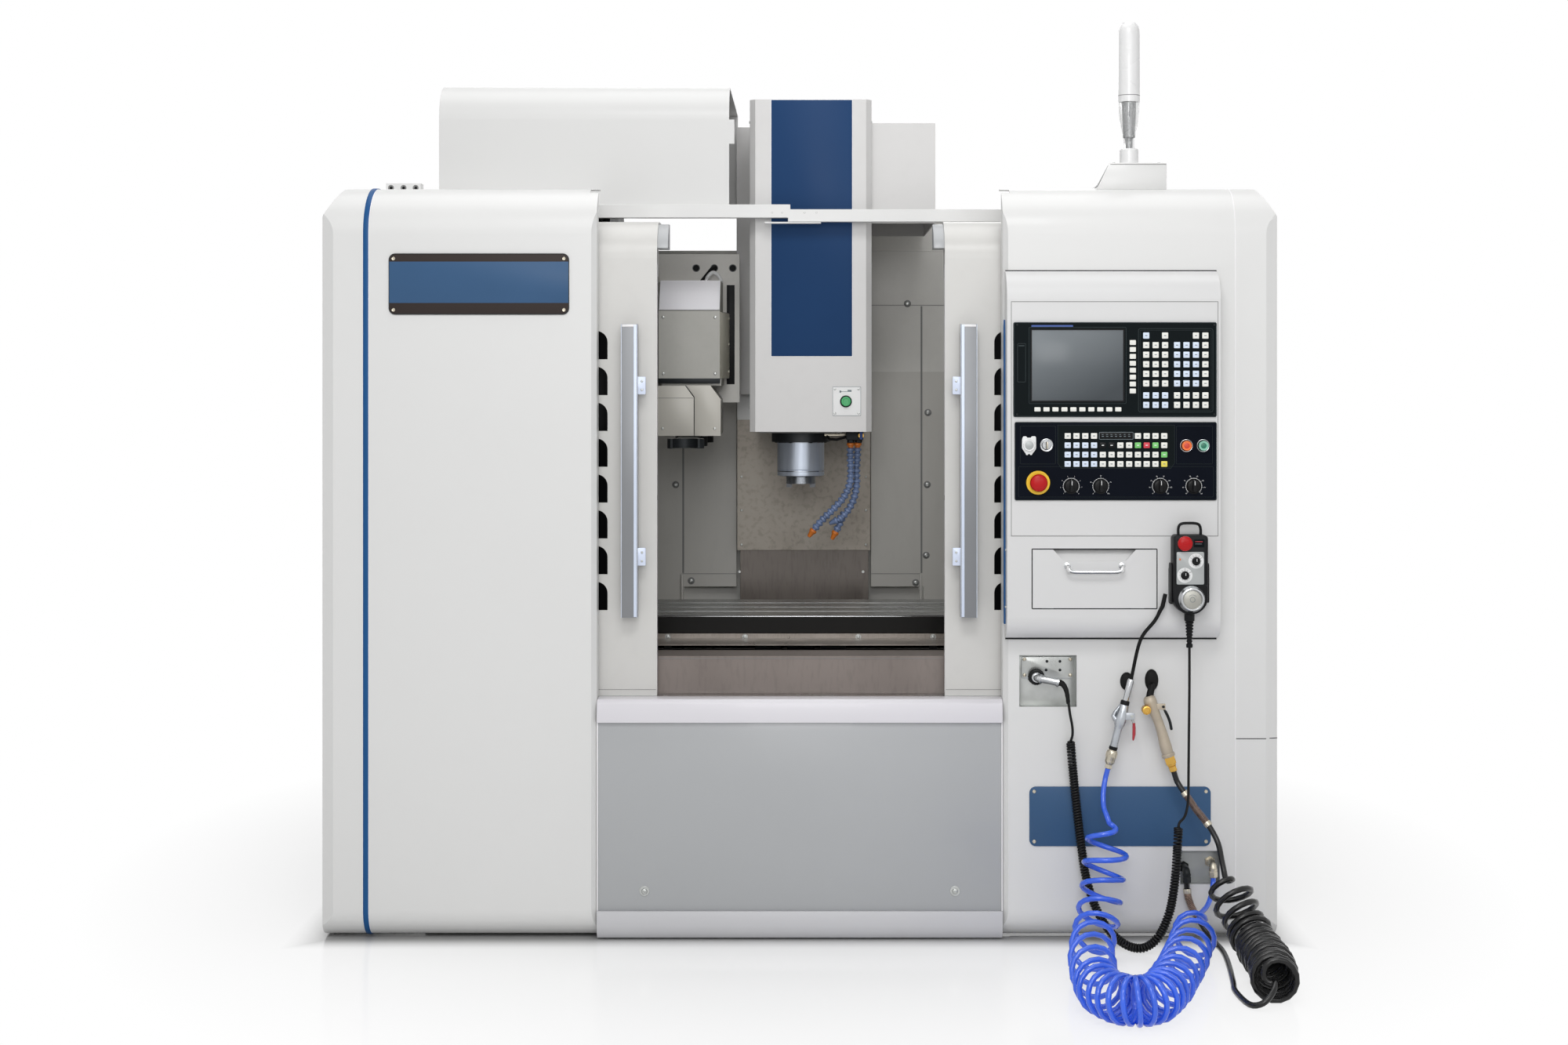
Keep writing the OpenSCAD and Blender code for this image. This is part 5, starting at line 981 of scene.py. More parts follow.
unit.outline((280, 450), (11, 201), 5, 1, 0.5, -0.45, BEZEL_EDGE)
unit.outline((284, 446), (15, 197), 3, 0.5, 0.5, -0.25, BEZEL_EDGE)
unit.box((38, 132), (-0.15, 0.4), (tall - 10.5, tall - 6.5), SCREEN_BLUE)
for i in range(8):
    key(unit, 267.6, 59 + 15.7 * i, 14, 11, KEY)
for i in range(10):
    key(unit, 51.5 + 20.35 * i, 17.4, 14, 9.6, KEY)
for i in range(7):
    for j in range(8):
        if j == 7 and i not in (0, 2, 5, 6):
            continue
        at = (298 + 21.4 * i + (5.7 if i > 2 else 0), 27.4 + 21.7 * j + (5.4 if j > 1 else 0))
        pale = (2 < i < 6 and 1 < j < 7) or (i < 3 and j < 2) or (i, j) == (0, 7)
        key(unit, *at, 14, 14, KEY_BLUE if pale else KEY, MARK)
unit.screws((5.5, wide - 5.5), [0], (6, tall - 6), FRONT, 2.4, BLACK_OXIDE)
unit.done("frame", "panel_black", ["screen_unit"])

(x0, x1), (_, y1), (z0, z1) = edges("operation_panel")
wide, back, tall = x1 - x0, y1 - HY0 + 4, z1 - z0
PANEL_AT = (x0, HY0 - 4, z0)
STOP = (53, 40)
KEY_AT = (72, 125)
HOLD = (389, 124)
START = (427, 124)
DIALS = [(v, 32) for v in (128, 195, 330, 406)]


def circle(at, r, steps=28):
    return [(at[0] + r * cos(2 * pi * k / steps), at[1] + r * sin(2 * pi * k / steps)) for k in range(steps)]


def ring(piece, at, inner, outer, out, material, soft=0.6):
    """A collar round a control place that faces the front."""
    piece.knob([(inner, 0), (inner, out - 0.3), (inner + 0.5, out), (outer - soft, out), (outer, out - soft),
                (outer, 0), (inner, 0)], at, material, 44)


panel = Piece("operation_face", PANEL_AT)
panel.prism(rounded(0, wide, 0, tall + 2.5, 4), "y", 0, 4, NAVY, holes=[circle(at, 9.8)
                                                                        for at in (STOP, HOLD, START)])
panel.prism(rounded(5, wide - 5, 5, tall - 5, 2), "y", 4, back, BEZEL,
            holes=[rounded(8, wide - 8, 8, tall - 8, 1)])
panel.outline((0.6, wide - 0.6), (0.6, tall + 1.9), 3.6, 1.4, 0.5, -0.5, NAVY_EDGE)
for x, z in (((12, 93), (82, 169)), ((366, 449), (82, 169)), ((8, 451), (7, 77))):
    panel.outline(x, z, 3, 0.9, 0.5, -0.4, NAVY_EDGE)
block = [(97, 171), (97, 84), (106, 72), (354, 72), (363, 84), (363, 171)]
inner = [(98.2, 169.8), (98.2, 84.5), (106.6, 73.2), (353.4, 73.2), (361.8, 84.5), (361.8, 169.8)]
panel.prism(block, "y", -0.5, 0.5, NAVY_EDGE, holes=[inner])
panel.prism(inner, "y", -0.35, 0.5, BEZEL)
THIRD_ROW = {4: GLOSS_BLACK, 5: GLOSS_BLACK, 8: KEY_GREEN, 9: KEY_RED, 10: KEY_GREEN}
for j in range(4):
    for i in range(12):
        at = (120 + 19.9 * i, 82.5 + 21.2 * j)
        if j == 3 and 3 < i < 8:
            continue
        material, mark = KEY, MARK
        if i < 4 and j < 3:
            material = KEY_BLUE
        if j == 2:
            material = THIRD_ROW.get(i, material)
        if (i, j) == (11, 1):
            material = KEY_GREEN
        if (i, j) == (11, 0):
            material = KEY_YELLOW
        if material in (GLOSS_BLACK, KEY_RED, KEY_GREEN):
            mark = PRINT
        key(panel, *at, 14, 13, material, mark)
panel.slab((192, 268), (139, 154), 0, -1.6, GLOSS_BLACK, 2, 0.6)
panel.outline((191, 269), (138, 155), 2.5, 0.9, 0.2, -1.2, MARK)
for i in range(7):
    panel.box((197 + 10 * i, 202 + 10 * i), (-1.7, -1.4), (144.5, 146), MARK)
    panel.box((197 + 10 * i, 201 + 10 * i), (-1.7, -1.4), (149, 150), MARK)
ring(panel, STOP, 9.8, 27, 3, YELLOW, 1.2)
ring(panel, STOP, 9.8, 12.4, 4.2, BLACK)
for at in (HOLD, START):
    ring(panel, at, 12.6, 14.4, 3, CHROME, 0.5)
ring(panel, KEY_AT, 10.3, 15, 3.2, CHROME, 1)
guard = (32, 125)
shield = [(-12.6, 20.4), (-6, 20.4), (-4.4, 17.2), (4.4, 17.2), (6.6, 20.4), (14.2, 20.4), (16, 17),
          (16.2, -6), (14, -11), (8, -19), (6, -22.4), (3, -22.4), (1.2, -19.6), (-1.2, -19.6), (-3, -22.4),
          (-6, -22.4), (-8.5, -18), (-14, -10), (-16, -6), (-16, 12), (-14.6, 17)]
panel.prism([(guard[0] + a, guard[1] + b) for a, b in shield], "y", -6, 0.5, PRINT, 1.2, 3)
panel.knob([(0, 12), (10, 12), (11, 12.6), (12.4, 12.6), (13.4, 11.4), (13.6, 5), (13.6, 0)], guard,
           LAMP_WHITE, 36)
panel.knob([(0, 12.4), (9.4, 12.4), (9.8, 12.2), (9.8, 11.9)], guard, PLATE_GREY, 32)
SCALES = (
    ("1", "2", "3", "4", "5", "6", "7", "8"), ("0", "25", "50", "75", "100"),
    ("0", "10", "30", "50", "80", "100", "120", "150"), ("50", "60", "70", "80", "90", "100", "110", "120"),
)
for (x, z), scale in zip(DIALS, SCALES):
    panel.knob([(0, 0.5), (17.4, 0.5), (17.6, 0.3), (17.6, 0)], (x, z), GLOSS_BLACK, 40)
    panel.pipe([(a, -0.1, b) for a, b in arc(x, z, 17.9, -45, 225, 36)], 0.4, PRINT, 6)
    count = len(scale)
    for k in range(4 * (count - 1) + 1):
        a = radians(225 - 270 * k / (4 * (count - 1)))
        panel.marks((x, z), [-a], (18.4, 19.3 if k % 4 else 20.4), (-0.12, 0.2), 0.28, PRINT)
    for k, word in enumerate(scale):
        a = radians(225 - 270 * k / (count - 1))
        panel.digits(word, (x + 24.2 * cos(a), -0.1, z + 23.6 * sin(a)), 3.4, PRINT)
panel.done("frame", "panel_black", ["operation_panel"])

stop = Piece("stop_mushroom", PANEL_AT)
stop.knob([(10, 10), (10.2, 10.6), (17, 10.4), (19.4, 12), (20, 15), (19.6, 19), (18, 22.5), (14, 25),
           (8, 26), (0, 26.1), (0, 17), (10, 17), (10, 10)], STOP, RED, 48)
stop.knob([(8.8, -20), (8.8, 17.2), (0, 17.2), (0, -20), (8.8, -20)], STOP, BLACK, 32)
stop.done("emergency_stop", "signal_red", ["emergency_stop"])
for body, node, at, material, deep, slot in (
    ("feed_hold", "feed_hold_button", HOLD, AMBER, AMBER_DEEP, "button_amber"),
    ("cycle_start", "cycle_start_button", START, TEAL, TEAL_DEEP, "button_green"),
):
    button = Piece(body + "_cap", PANEL_AT)
    button.knob([(0, 10.2), (8.6, 10.2), (9, 12), (10.2, 12), (11, 11.2), (11, 4), (8.8, 4), (8.8, -15),
                 (0, -15)], at, material, 40)
    button.knob([(0, 10.4), (6.2, 10.4), (6.6, 10.2), (6.6, 10)], at, deep, 28)
    button.done(body, slot, [node])
lock = Piece("key_lock", PANEL_AT)
lock.knob([(0, 8), (9, 8), (10, 7.2), (10, 3.6), (0, 3.6)], KEY_AT, CHROME, 40)
lock.slab((KEY_AT[0] - 1.5, KEY_AT[0] + 1.5), (KEY_AT[1] - 8, KEY_AT[1] + 8), -7.6, -24, NICKEL, 1.4, 0.6)
lock.box((KEY_AT[0] - 2.2, KEY_AT[0] + 2.2), (-8.3, -7.8), (KEY_AT[1] - 8.4, KEY_AT[1] + 8.4), GLOSS_BLACK)
lock.done("key_switch", "wheel_metal", ["key_switch"])
for name, (x, z) in zip(("selector_mode", "selector_rapid", "selector_feed", "selector_spindle"), DIALS):
    knob = Piece(name + "_knob", PANEL_AT)
    knob.knob([(0, 6), (11, 6), (13.8, 5.4), (15, 3.6), (15, 1), (14.6, 0.7), (0, 0.7)], (x, z),
              GLOSS_BLACK, 44)
    knob.slab((x - 3.6, x + 3.6), (z - 13, z + 14), -5.5, -18, BLACK, 3.4, 1.4)
    knob.box((x - 0.7, x + 0.7), (-18.1, -17.6), (z + 3, z + 12.5), PRINT)
    knob.box((x - 0.7, x + 0.7), (-6.15, -5.8), (z + 10, z + 14.4), PRINT)
    knob.done(name, "knob_black", [name])

(x0, x1), _, (z0, z1) = edges("drawer")
mid = (x0 + x1) / 2
gap = Piece("drawer_gap")
gap.outline((x0 - 2.4, x1 + 2.4), (z0 - 2.4, z1 + 2.4), 3, 1.6, HY0 + 1, HY0 - 0.3, DARK_SEAM)
gap.done("frame", "panel_black")
pull = Piece("drawer_pull", (0, HY0 - 1, 0))
side = [(62, 1, 868), (62, -12, 867.4), (60, -18.6, 862), (50, -20, 856)]
route = smooth([(mid - x, y, z) for x, y, z in side] + [(mid, -20.4, 855.4)]
               + [(mid + x, y, z) for x, y, z in reversed(side)], 5)
pull.pipe(route, 4, CHROME, 16)
for s in (-1, 1):
    pull.knob([(0, 1.6), (6, 1.6), (7.5, 0.8), (7.5, -0.4), (0, -0.4)], (mid + s * 62, 868), CHROME, 28)
pull.done("drawer", "wheel_metal")


# ---- Pendant ----

PENDANT_AT = (HX0 + 409, HY0 - 52, 762)
P_TOP = 179
P_BACK = 46


def pendant_outline(inset):
    half = 39 - inset
    return (arc(0, 39, half, 180, 360, 20) + arc(half - 9, P_TOP - inset - 9, 9, 0, 90, 5)
            + arc(-half + 9, P_TOP - inset - 9, 9, 90, 180, 5))


pendant = Piece("pendant_case", PENDANT_AT)
pendant.loft([[(a, y, b) for a, b in pendant_outline(inset)] for inset, y in (
    (3, P_BACK), (0, P_BACK - 3), (0, P_BACK - 21), (0.9, P_BACK - 21.6), (0.9, P_BACK - 23),
    (0, P_BACK - 23.6), (0, 5), (1.2, 1.6), (4, 0),
)], BLACK)
STOP_P = (-15, 161)
AXIS_P = (11, 121)
STEP_P = (-14, 89)
WHEEL_P = (0, 36)
pendant.slab((-33, 29.5), (68, 142), 0.5, -0.8, PLATE_GREY, 4, 0.3)
pendant.outline((-33.4, 29.9), (67.6, 142.4), 4, 0.9, 0, -0.95, BEZEL_EDGE)
pendant.slab((6, 30), (152, 170), 0.5, -0.5, BEZEL, 2, 0.3)
pendant.box((9, 26), (-0.65, -0.4), (164, 165.2), KEY_RED)
pendant.box((9, 24), (-0.65, -0.4), (159, 160), MARK)
pendant.knob([(0, 2.4), (1.6, 2), (2.2, 0.8), (2.2, 0)], (-25, 125), AMBER, 16, -0.8)
for (x, z), words in ((AXIS_P, ("0", "1", "2", "3", "4")), (STEP_P, ("1", "10", "100"))):
    pendant.knob([(0, 0.5), (16.4, 0.5), (17, 0.1), (17, -0.3)], (x, z), PRINT, 44, -0.8)
    pendant.marks((x, z), turns(12), (10.6, 12.6), (-1.45, -1.2), 0.3, GLOSS_BLACK)
    for k, word in enumerate(words):
        a = radians(150 - 120 * k / (len(words) - 1))
        pendant.digits(word, (x + 14.2 * cos(a), -1.4, z + 14.2 * sin(a)), 3, GLOSS_BLACK)
pendant.slab((-43, 43), (20, 105), 52, P_BACK, BLACK, 6, 1)
for s in (-1, 1):
    xs = tuple(sorted((s * 39.4, s * 43.2)))
    pendant.prism(rounded(12, 47, 25, 115, 9, 5), "x", xs[0], xs[1], BLACK, 0.8)
hook = ((-25, -3), (-25, 14), (-19, 24), (0, 26), (19, 24), (25, 14), (25, -3))
pendant.pipe(smooth([(x, P_BACK / 2, P_TOP + z) for x, z in hook], 5), 3.2, GLOSS_BLACK, 12)
profile = [(0, 0), (6.6, 0), (7.4, 1.5), (7.4, 8), (5.2, 9.2)]
for k in range(7):
    low, r = 12 + 7 * k, 6.6 + 0.5 * k
    profile += [(5.4 + 0.3 * k, low), (r, low + 1), (r, low + 4), (5.4 + 0.3 * k, low + 5)]
profile += [(11, 60), (11.6, 62), (11.6, 77), (0, 77)]
pendant.lathe(profile, (0, 23, -76), UP, BLACK, 24)
pendant.knob([(5.6, 0), (6.4, 0.6), (6.4, 8), (0, 9)], STOP_P, BLACK, 24)
for x, z in ((-30, P_TOP - 9), (30, P_TOP - 9), (-31, 60), (34, 66)):
    pendant.screw((x, 0.8, z), FRONT, 2.4, BLACK_OXIDE)
pendant.done("frame", "pendant_black", ["pendant"])

cap = Piece("pendant_mushroom", PENDANT_AT)
cap.knob([(7.2, 6.3), (15, 6.2), (16.6, 8), (17, 11), (16, 14.6), (12, 17.2), (6, 17.9), (0, 18), (0, 13),
          (7.2, 13), (7.2, 6.3)], STOP_P, RED, 44)
cap.done("pendant_stop", "signal_red", ["pendant_stop"])
for name, at in (("pendant_axis_knob", AXIS_P), ("pendant_step_knob", STEP_P)):
    knob = Piece(name + "_cap", PENDANT_AT)
    knob.knob([(0, 14), (5.4, 14), (6.4, 13), (7, 5), (9.5, 4.4), (9.5, 1.6), (0, 1.6)], at, GLOSS_BLACK, 32)
    knob.marks(at, turns(14), (6.2, 7.3), (-12.6, -5), 0.6, GLOSS_BLACK)
    knob.box((at[0] - 0.6, at[0] + 0.6), (-14.1, -13.6), (at[1], at[1] + 6), PRINT)
    knob.done(name, "knob_black", [name])
wheel = Piece("pulse_wheel", PENDANT_AT)
wheel.knob([(0, 1), (29.2, 1), (30, 2), (30, 8), (29.2, 10.4), (27.2, 14), (26.6, 20.6), (25.6, 22.6),
            (23.6, 23.6), (22, 23.4), (21.4, 21.6), (21.4, 20), (0, 20)], WHEEL_P, CHROME, 64)
wheel.knob([(0, 20.9), (20.4, 20.9), (21, 20.6), (21, 20)], WHEEL_P, WHEEL_FACE, 48)
for k, angle in enumerate(turns(50)):
    wheel.marks(WHEEL_P, [angle], (19.2 if k % 5 else 18.2, 20.4), (-21.1, -20.7), 0.22, GLOSS_BLACK)
wheel.pipe([(x, -21, z) for x, z in circle(WHEEL_P, 5.5, 24)], 0.5, MARK, 6, True)
wheel.pipe([(x, -21, z) for x, z in arc(*WHEEL_P, 11, 45, 135, 6)], 0.45, MARK, 6)
wheel.done("handwheel", "wheel_metal", ["handwheel"])


# ---- Sockets, hooks and guns ----

sockets = Piece("socket_plates", (INNER, FRONT_Y, 0))
sx = (37, 169)
sz = (538, 657)
ox = (407, 498)
oz = (130, 207)
for xs, zs, material in ((sx, sz, ZINC), (ox, oz, PLATE_GREY)):
    sockets.prism(rectangle(xs, zs, 8), "y", 3, 28, material, holes=[rectangle(xs, zs)])
    sockets.box((xs[0] - 8, xs[1] + 8), (28, 30), (zs[0] - 8, zs[1] + 8), material, 0.5)
sockets.slab((sx[0] + 6, sx[1] - 4), (sz[0] + 62, sz[1] - 6), 28, 23, ZINC, 7, 1.2)
sockets.screws((sx[0] + 14, sx[1] - 12), [23], (sz[1] - 12, sz[0] + 70), FRONT, 4.4, NICKEL)
for x, z in ((sx[0] + 66, sz[1] - 17), (sx[0] + 96, sz[1] - 17), (sx[0] + 64, sz[1] - 37),
             (sx[0] + 96, sz[1] - 37)):
    sockets.knob([(0, 0.9), (2.2, 0.9), (3.2, 0.5), (3.4, 0)], (x, z), BLACK_OXIDE, 16, 23)
px, pz = sx[0] + 40, 606
sockets.knob([(0, -1), (19, -1), (19, 3), (17, 4), (17, 12), (18.4, 13), (18.4, 22), (17, 23), (16.2, 32),
              (0, 34)], (px, pz), BLACK, 40, 28)
sockets.marks((px, pz), turns(18), (17.8, 19), (6.5, 14.5), 1.1, BLACK)
elbow = smooth([(px, -2, pz), (px + 1, -14, pz), (px + 8, -22, pz - 1), (px + 24, -27, pz - 3),
                (px + 49, -33, pz - 8)], 5)
sockets.pipe(elbow, 8.6, CHROME, 20)
for at, r in ((0, 12), (0.5, 10.6), (0.97, 10.4)):
    k = min(len(elbow) - 2, int(at * (len(elbow) - 1)))
    axis = Vector(elbow[k + 1]) - Vector(elbow[k])
    sockets.lathe([(8, -3), (r - 0.8, -3), (r, -2), (r, 2), (r - 0.8, 3), (8, 3)], tuple(elbow[k]), axis,
                  CHROME, 24)
boot = smooth([(123, -32.5, 598.6), (129, -34.4, 597.4), (134.4, -37.6, 593.4), (139.8, -43.6, 583),
               (143, -47.4, 566), (144, -48, 552)], 4)
sockets.pipe(boot, [7.6 - 3.6 * k / (len(boot) - 1) + (0.5 if k % 3 == 0 else 0) for k in range(len(boot))],
             RUBBER, 16)
for x, z, tall, out in ((284, 597, 20, 36), (341, 600, 24, 30.7)):
    rings = []
    for scale, y in ((1, 0.4), (1, -3), (0.92, -6), (0.72, -8.4), (0.3, -9.6)):
        rings.append([(x + 15.4 * scale * cos(a), y, z + (tall + 1) * scale * sin(a))
                      for a in [2 * pi * k / 32 for k in range(32)]])
    sockets.loft(rings, RUBBER)
    sockets.pipe([(x, -6, z - 10), (x, -out + 4, z - 10), (x, -out, z - 9)], [6, 5, 4.4], RUBBER, 14)
for x, z, material in ((ox[0] + 12, oz[0] + 35, BLACK_OXIDE), (ox[0] + 73, oz[0] + 47, NICKEL)):
    drop = z - 27
    sockets.knob([(0, -1), (13, -1), (13, 2), (0, 2)], (x, z), material, 6, 28)
    sockets.pipe(smooth([(x, 27, z), (x, -6, z), (x, -16, z - 3), (x, -18, z - 12), (x, -18, drop)], 5), 8.4,
                 material, 18)
    sockets.lathe([(0, 0), (9, 0), (10.4, 1.5), (10.4, 13), (9, 14.5), (0, 14.5)], (x, -18, drop), UP,
                  material, 6)
    sockets.lathe([(8.4, 0), (9.6, 0.6), (9.6, 5), (8.4, 5.6)], (x, -18, drop + 15), UP, material, 24)
sockets.done("frame", "stainless_sheet", ["socket_panels"])

gun = Piece("blow_gun", (INNER, FRONT_Y, 0))
A0, A1 = Vector((235, -45, 404)), Vector((289, -45, 612))
axis = A1 - A0
for profile, material, steps in (
    ([(0, 0), (7.2, 0), (8.2, 1), (8.2, 9), (7.4, 10)], NICKEL, 6),
    ([(7.4, 10), (10.6, 14), (11.6, 17), (11.6, 25), (12.2, 26), (12.2, 40), (10.6, 43), (8, 45), (0, 45)],
     NICKEL, 24),
    ([(0, 45), (9.6, 45), (9.8, 46), (9.8, 51), (9, 52), (0, 52)], BLACK, 28),
    ([(0, 52), (8.6, 52), (8.8, 53), (8.8, 93), (9.6, 97), (12.2, 104), (13.4, 113), (13.4, 124),
      (12, 135), (10.8, 148), (10, 150), (0, 150)], GUN_METAL, 32),
    ([(0, 149), (9.6, 149), (10.4, 151), (10.4, 158), (9.4, 160), (0, 160)], BLACK, 28),
    ([(0, 160), (7.2, 160), (7.4, 162), (7.4, 206), (6.4, 210), (0, 212)], CHROME, 28),
):
    gun.lathe(profile, A0, axis, material, steps)
axis.normalize()
side = axis.cross(Vector((0, 1, 0)))
for a in turns(12):
    rib = A0 + 12.2 * (cos(a) * side + sin(a) * Vector((0, 1, 0)))
    gun.pipe(offsets(rib, axis * 27, axis * 38), 1, NICKEL, 6)
gun.pipe(offsets(A0 + axis * 112, (0, 0, 0), (-12, 0, 6), (-16, 0, 12), (-12, 0, 20), (2, 0, 38)),
         [8, 7, 5, 4, 3], GUN_METAL, 14)
gun.pipe(smooth(offsets(A1, axis * -22, (0, 0, 0), (16, -29, 88), (47, -39, 133), (64, -43, 166)), 6), 4.1,
         RUBBER, 14)
gun.pipe(offsets(A1, (55, -41, 149), (64, -43, 166), (70, -45, 194)), [4.2, 5, 4.7], RUBBER, 14)
pivot = (289, 524)
gun.box((A1[0] - 27, pivot[0] + 6), (-54.5, -51), (pivot[1] - 8, pivot[1] + 8), GUN_METAL, 1)
gun.knob([(0, -1), (3.4, -1), (3.4, 1.4), (0, 1.8)], pivot, ZINC, 20, -54.5)
gun.pipe([(pivot[0], -53, pivot[1]), (pivot[0], -39, pivot[1])], 1.9, ZINC, 12)
gun.done("frame", "gun_metal", ["air_gun"])

lever = Piece("blow_gun_trigger", (INNER, FRONT_Y, 0))
lever_y = -45
lever.knob([(2.2, -5), (5.5, -5), (5.5, 5), (2.2, 5), (2.2, -5)], pivot, ZINC, 24, lever_y)
lever.pipe([(pivot[0], lever_y, pivot[1] - 4), (pivot[0] + 5, lever_y - 1, 507)], [3.2, 2.6], ZINC, 12)
lever.pipe(smooth([(pivot[0] + 5, lever_y - 1, 508), (pivot[0] + 5.4, lever_y - 1, 496),
                   (pivot[0] + 5, lever_y - 2, 482), (pivot[0] + 3, lever_y - 3, 468)], 4),
           [3.2] * 3 + [3.7] * 6 + [3.2, 2.8, 2.2, 1], LEVER_RED, 14)
lever.done("air_gun_lever", "lever_red", ["air_gun_lever"])

wand = Piece("wash_gun", (INNER, FRONT_Y, 0))
W0, W1 = Vector((385, -45, 398)), Vector((329, -45, 566))
axis = (W1 - W0).normalized()
wand.lathe([(0, 0), (8.6, 0), (9.4, 1), (9.4, 11), (8.6, 12)], W0, axis, BRASS, 6)
wand.lathe([(8.6, 12), (11, 14), (11, 17), (13, 18), (13, 34), (12, 36), (0, 36)], W0, axis, BRASS, 6)
wand.lathe([(11, 34), (14.4, 35), (15.2, 37), (15.2, 41), (13.6, 43), (0, 43)], W0, axis, GUN_BEIGE, 36)
along = [W0 + axis * d for d in (41, 50, 62, 76, 92, 108, 122, 136, 148, 158, 168, 176, 181)]
bend = [0, 0, -0.6, -1.6, -2.4, -2.6, -2.2, -1.2, 0, 0.6, 0.6, 0, 0]
side = axis.cross(Vector((0, 1, 0)))
grip = (13.4, 14.2, 14.2, 13.2, 12.2, 11.6, 11.4, 12, 13.6, 15.2, 16, 14, 9)
radii = [a + (b - a) * k / 3 for a, b in zip(grip, grip[1:]) for k in range(3)] + [9]
wand.pipe(smooth([p + side * b for p, b in zip(along, bend)], 3), radii, GUN_BEIGE, 24, flat=0.94)
wand.knob([(0, 0), (4, 0), (5, 2), (9, 3), (10, 4.5), (10, 25), (9.4, 27), (7, 27.6), (6.4, 26.4), (0, 26.4)],
          (W1[0] - 9, 540), BRASS, 32, -45)
wand.marks((W1[0] - 9, 540), turns(20), (9.6, 10.4), (-69.5, -51), 0.6, BRASS)
wand.pipe(offsets(W1, (0, 0, -6), (3, 2, 10), (8, 6, 26)), [8.6, 8.2, 7.4], RUBBER, 18)
pivot = (W0[0] - 25, 546)
wand.box((W1[0] + 6, pivot[0] + 5), (-54.5, -51), (pivot[1] - 7, pivot[1] + 7), GUN_BEIGE, 1)
wand.knob([(0, -1), (3.2, -1), (3.2, 1.4), (0, 1.8)], pivot, BLACK_OXIDE, 20, -54.5)
wand.pipe([(pivot[0], -53, pivot[1]), (pivot[0], -39, pivot[1])], 1.9, ZINC, 12)
wand.done("frame", "gun_beige", ["coolant_gun"])

lever = Piece("wash_gun_trigger", (INNER, FRONT_Y, 0))
lever.knob([(2.2, -5), (5.5, -5), (5.5, 5), (2.2, 5), (2.2, -5)], pivot, BLACK_OXIDE, 24, lever_y)
lever.pipe(smooth([(pivot[0], lever_y, pivot[1] - 4), (pivot[0] + 6, lever_y, 534),
                   (pivot[0] + 12, lever_y, 522), (pivot[0] + 17, lever_y, 508),
                   (pivot[0] + 20, lever_y, 492)], 4), [2.8] * 4 + [4] * 12 + [3], BLACK_OXIDE, 14, flat=0.8)
lever.done("coolant_gun_lever", "knob_black", ["coolant_gun_lever"])


def spring_guard(name, route, radius, wire, pitch):
    """A wire spring round a hose, between two ferrules."""
    guard = Piece(name)
    middle = smooth(route, 10)
    total = sum((b - a).length for a, b in zip(middle, middle[1:]))
    guard.pipe(coil(route, [i * total / pitch / (len(route) - 1) for i in range(len(route))], radius, 10,
                    per_turn=14)[10:-10], wire, SPRING, 6)
    for a, b in ((0, 1), (-1, -2)):
        guard.lathe([(6.7, -3), (8.6, -3), (9, -2), (9, 7), (8.2, 8), (6.7, 8), (6.7, -3)], middle[a],
                    middle[b] - middle[a], NICKEL, 24)
    guard.done("frame", "gun_metal")


spring_guard("hose_spring_upper", [(876, -1054, 350), (888, -1059, 333), (900, -1064, 315),
                                   (914, -1072.6, 298), (926, -1080, 282)], 7.9, 0.9, 2.6)
spring_guard("hose_spring_lower", [(888.2, -1018, 121), (890, -1018, 105), (896, -1020.4, 87),
                                   (904, -1024, 70), (914, -1031, 52)], 7.9, 0.9, 2.6)


# ---- Signal lamp ----

(x0, _), (y0, y1), _ = edges("signal_lamp")
half = (y1 - y0) / 2
beacon = Piece("beacon", (x0 + 82, (y0 + y1) / 2, ROOF + 62))
beacon.prism([(-82, -62), (82, -62), (82, 0), (-52, 0)], "y", -half, half, BODY, 1.2)
beacon.prism([(-80, -54), (-55, -6), (-57, -4), (-82, -52)], "y", 6 - half, half - 6, TRIM_WHITE, 0.6)
beacon.box((-50, 81), (-half - 0.4, half - 2), (-4, -2.6), SEAM)
beacon.screws((-40, 66), (-30, 30), [0], UP, 4, ZINC)
beacon.lathe([(0, -1), (23.5, -1), (23.5, 3), (22, 4), (22, 34), (20, 37), (0, 37)], (0, 0, 0), UP,
             LAMP_WHITE, 48)
beacon.lathe([(0, 36), (8, 36), (9, 60), (13, 64), (15.5, 100), (16.5, 130), (16.5, 147), (0, 147)],
             (0, 0, 0), UP, LAMP_INNER, 32)
for k in range(3):
    a = 2 * pi * k / 3 + 0.5
    beacon.pipe([(10 * cos(a), 10 * sin(a), 62), (18 * cos(a), 18 * sin(a), 147)], 1.6, SATIN, 8)
beacon.lathe([(12, 37), (12.6, 40), (13, 58), (17, 80), (22, 104), (24.2, 126), (25, 148), (23.6, 148),
              (22.6, 126), (20.4, 104), (15.4, 80), (11.4, 58), (11, 37), (12, 37)], (0, 0, 0), UP, CLEAR, 48)
beacon.lathe([(0, 147.6), (25.2, 147.6), (25.4, 149), (25.2, 308), (24.6, 318), (22, 327), (16, 333.4),
              (8, 335), (0, 335)], (0, 0, 0), UP, LAMP_WHITE, 56)
beacon.lathe([(25.2, 162), (25.6, 162.4), (25.6, 163.6), (25.2, 164)], (0, 0, 0), UP, SEAM, 56)
for s in (-1, 1):
    beacon.lathe([(0, 2.5), (3, 2.4), (4, 1.2), (4, -1)], (s * 12, 0, 333), UP, LAMP_INNER, 18)
beacon.done("frame", "lamp_plastic", ["signal_lamp"])


# ---- Head ----

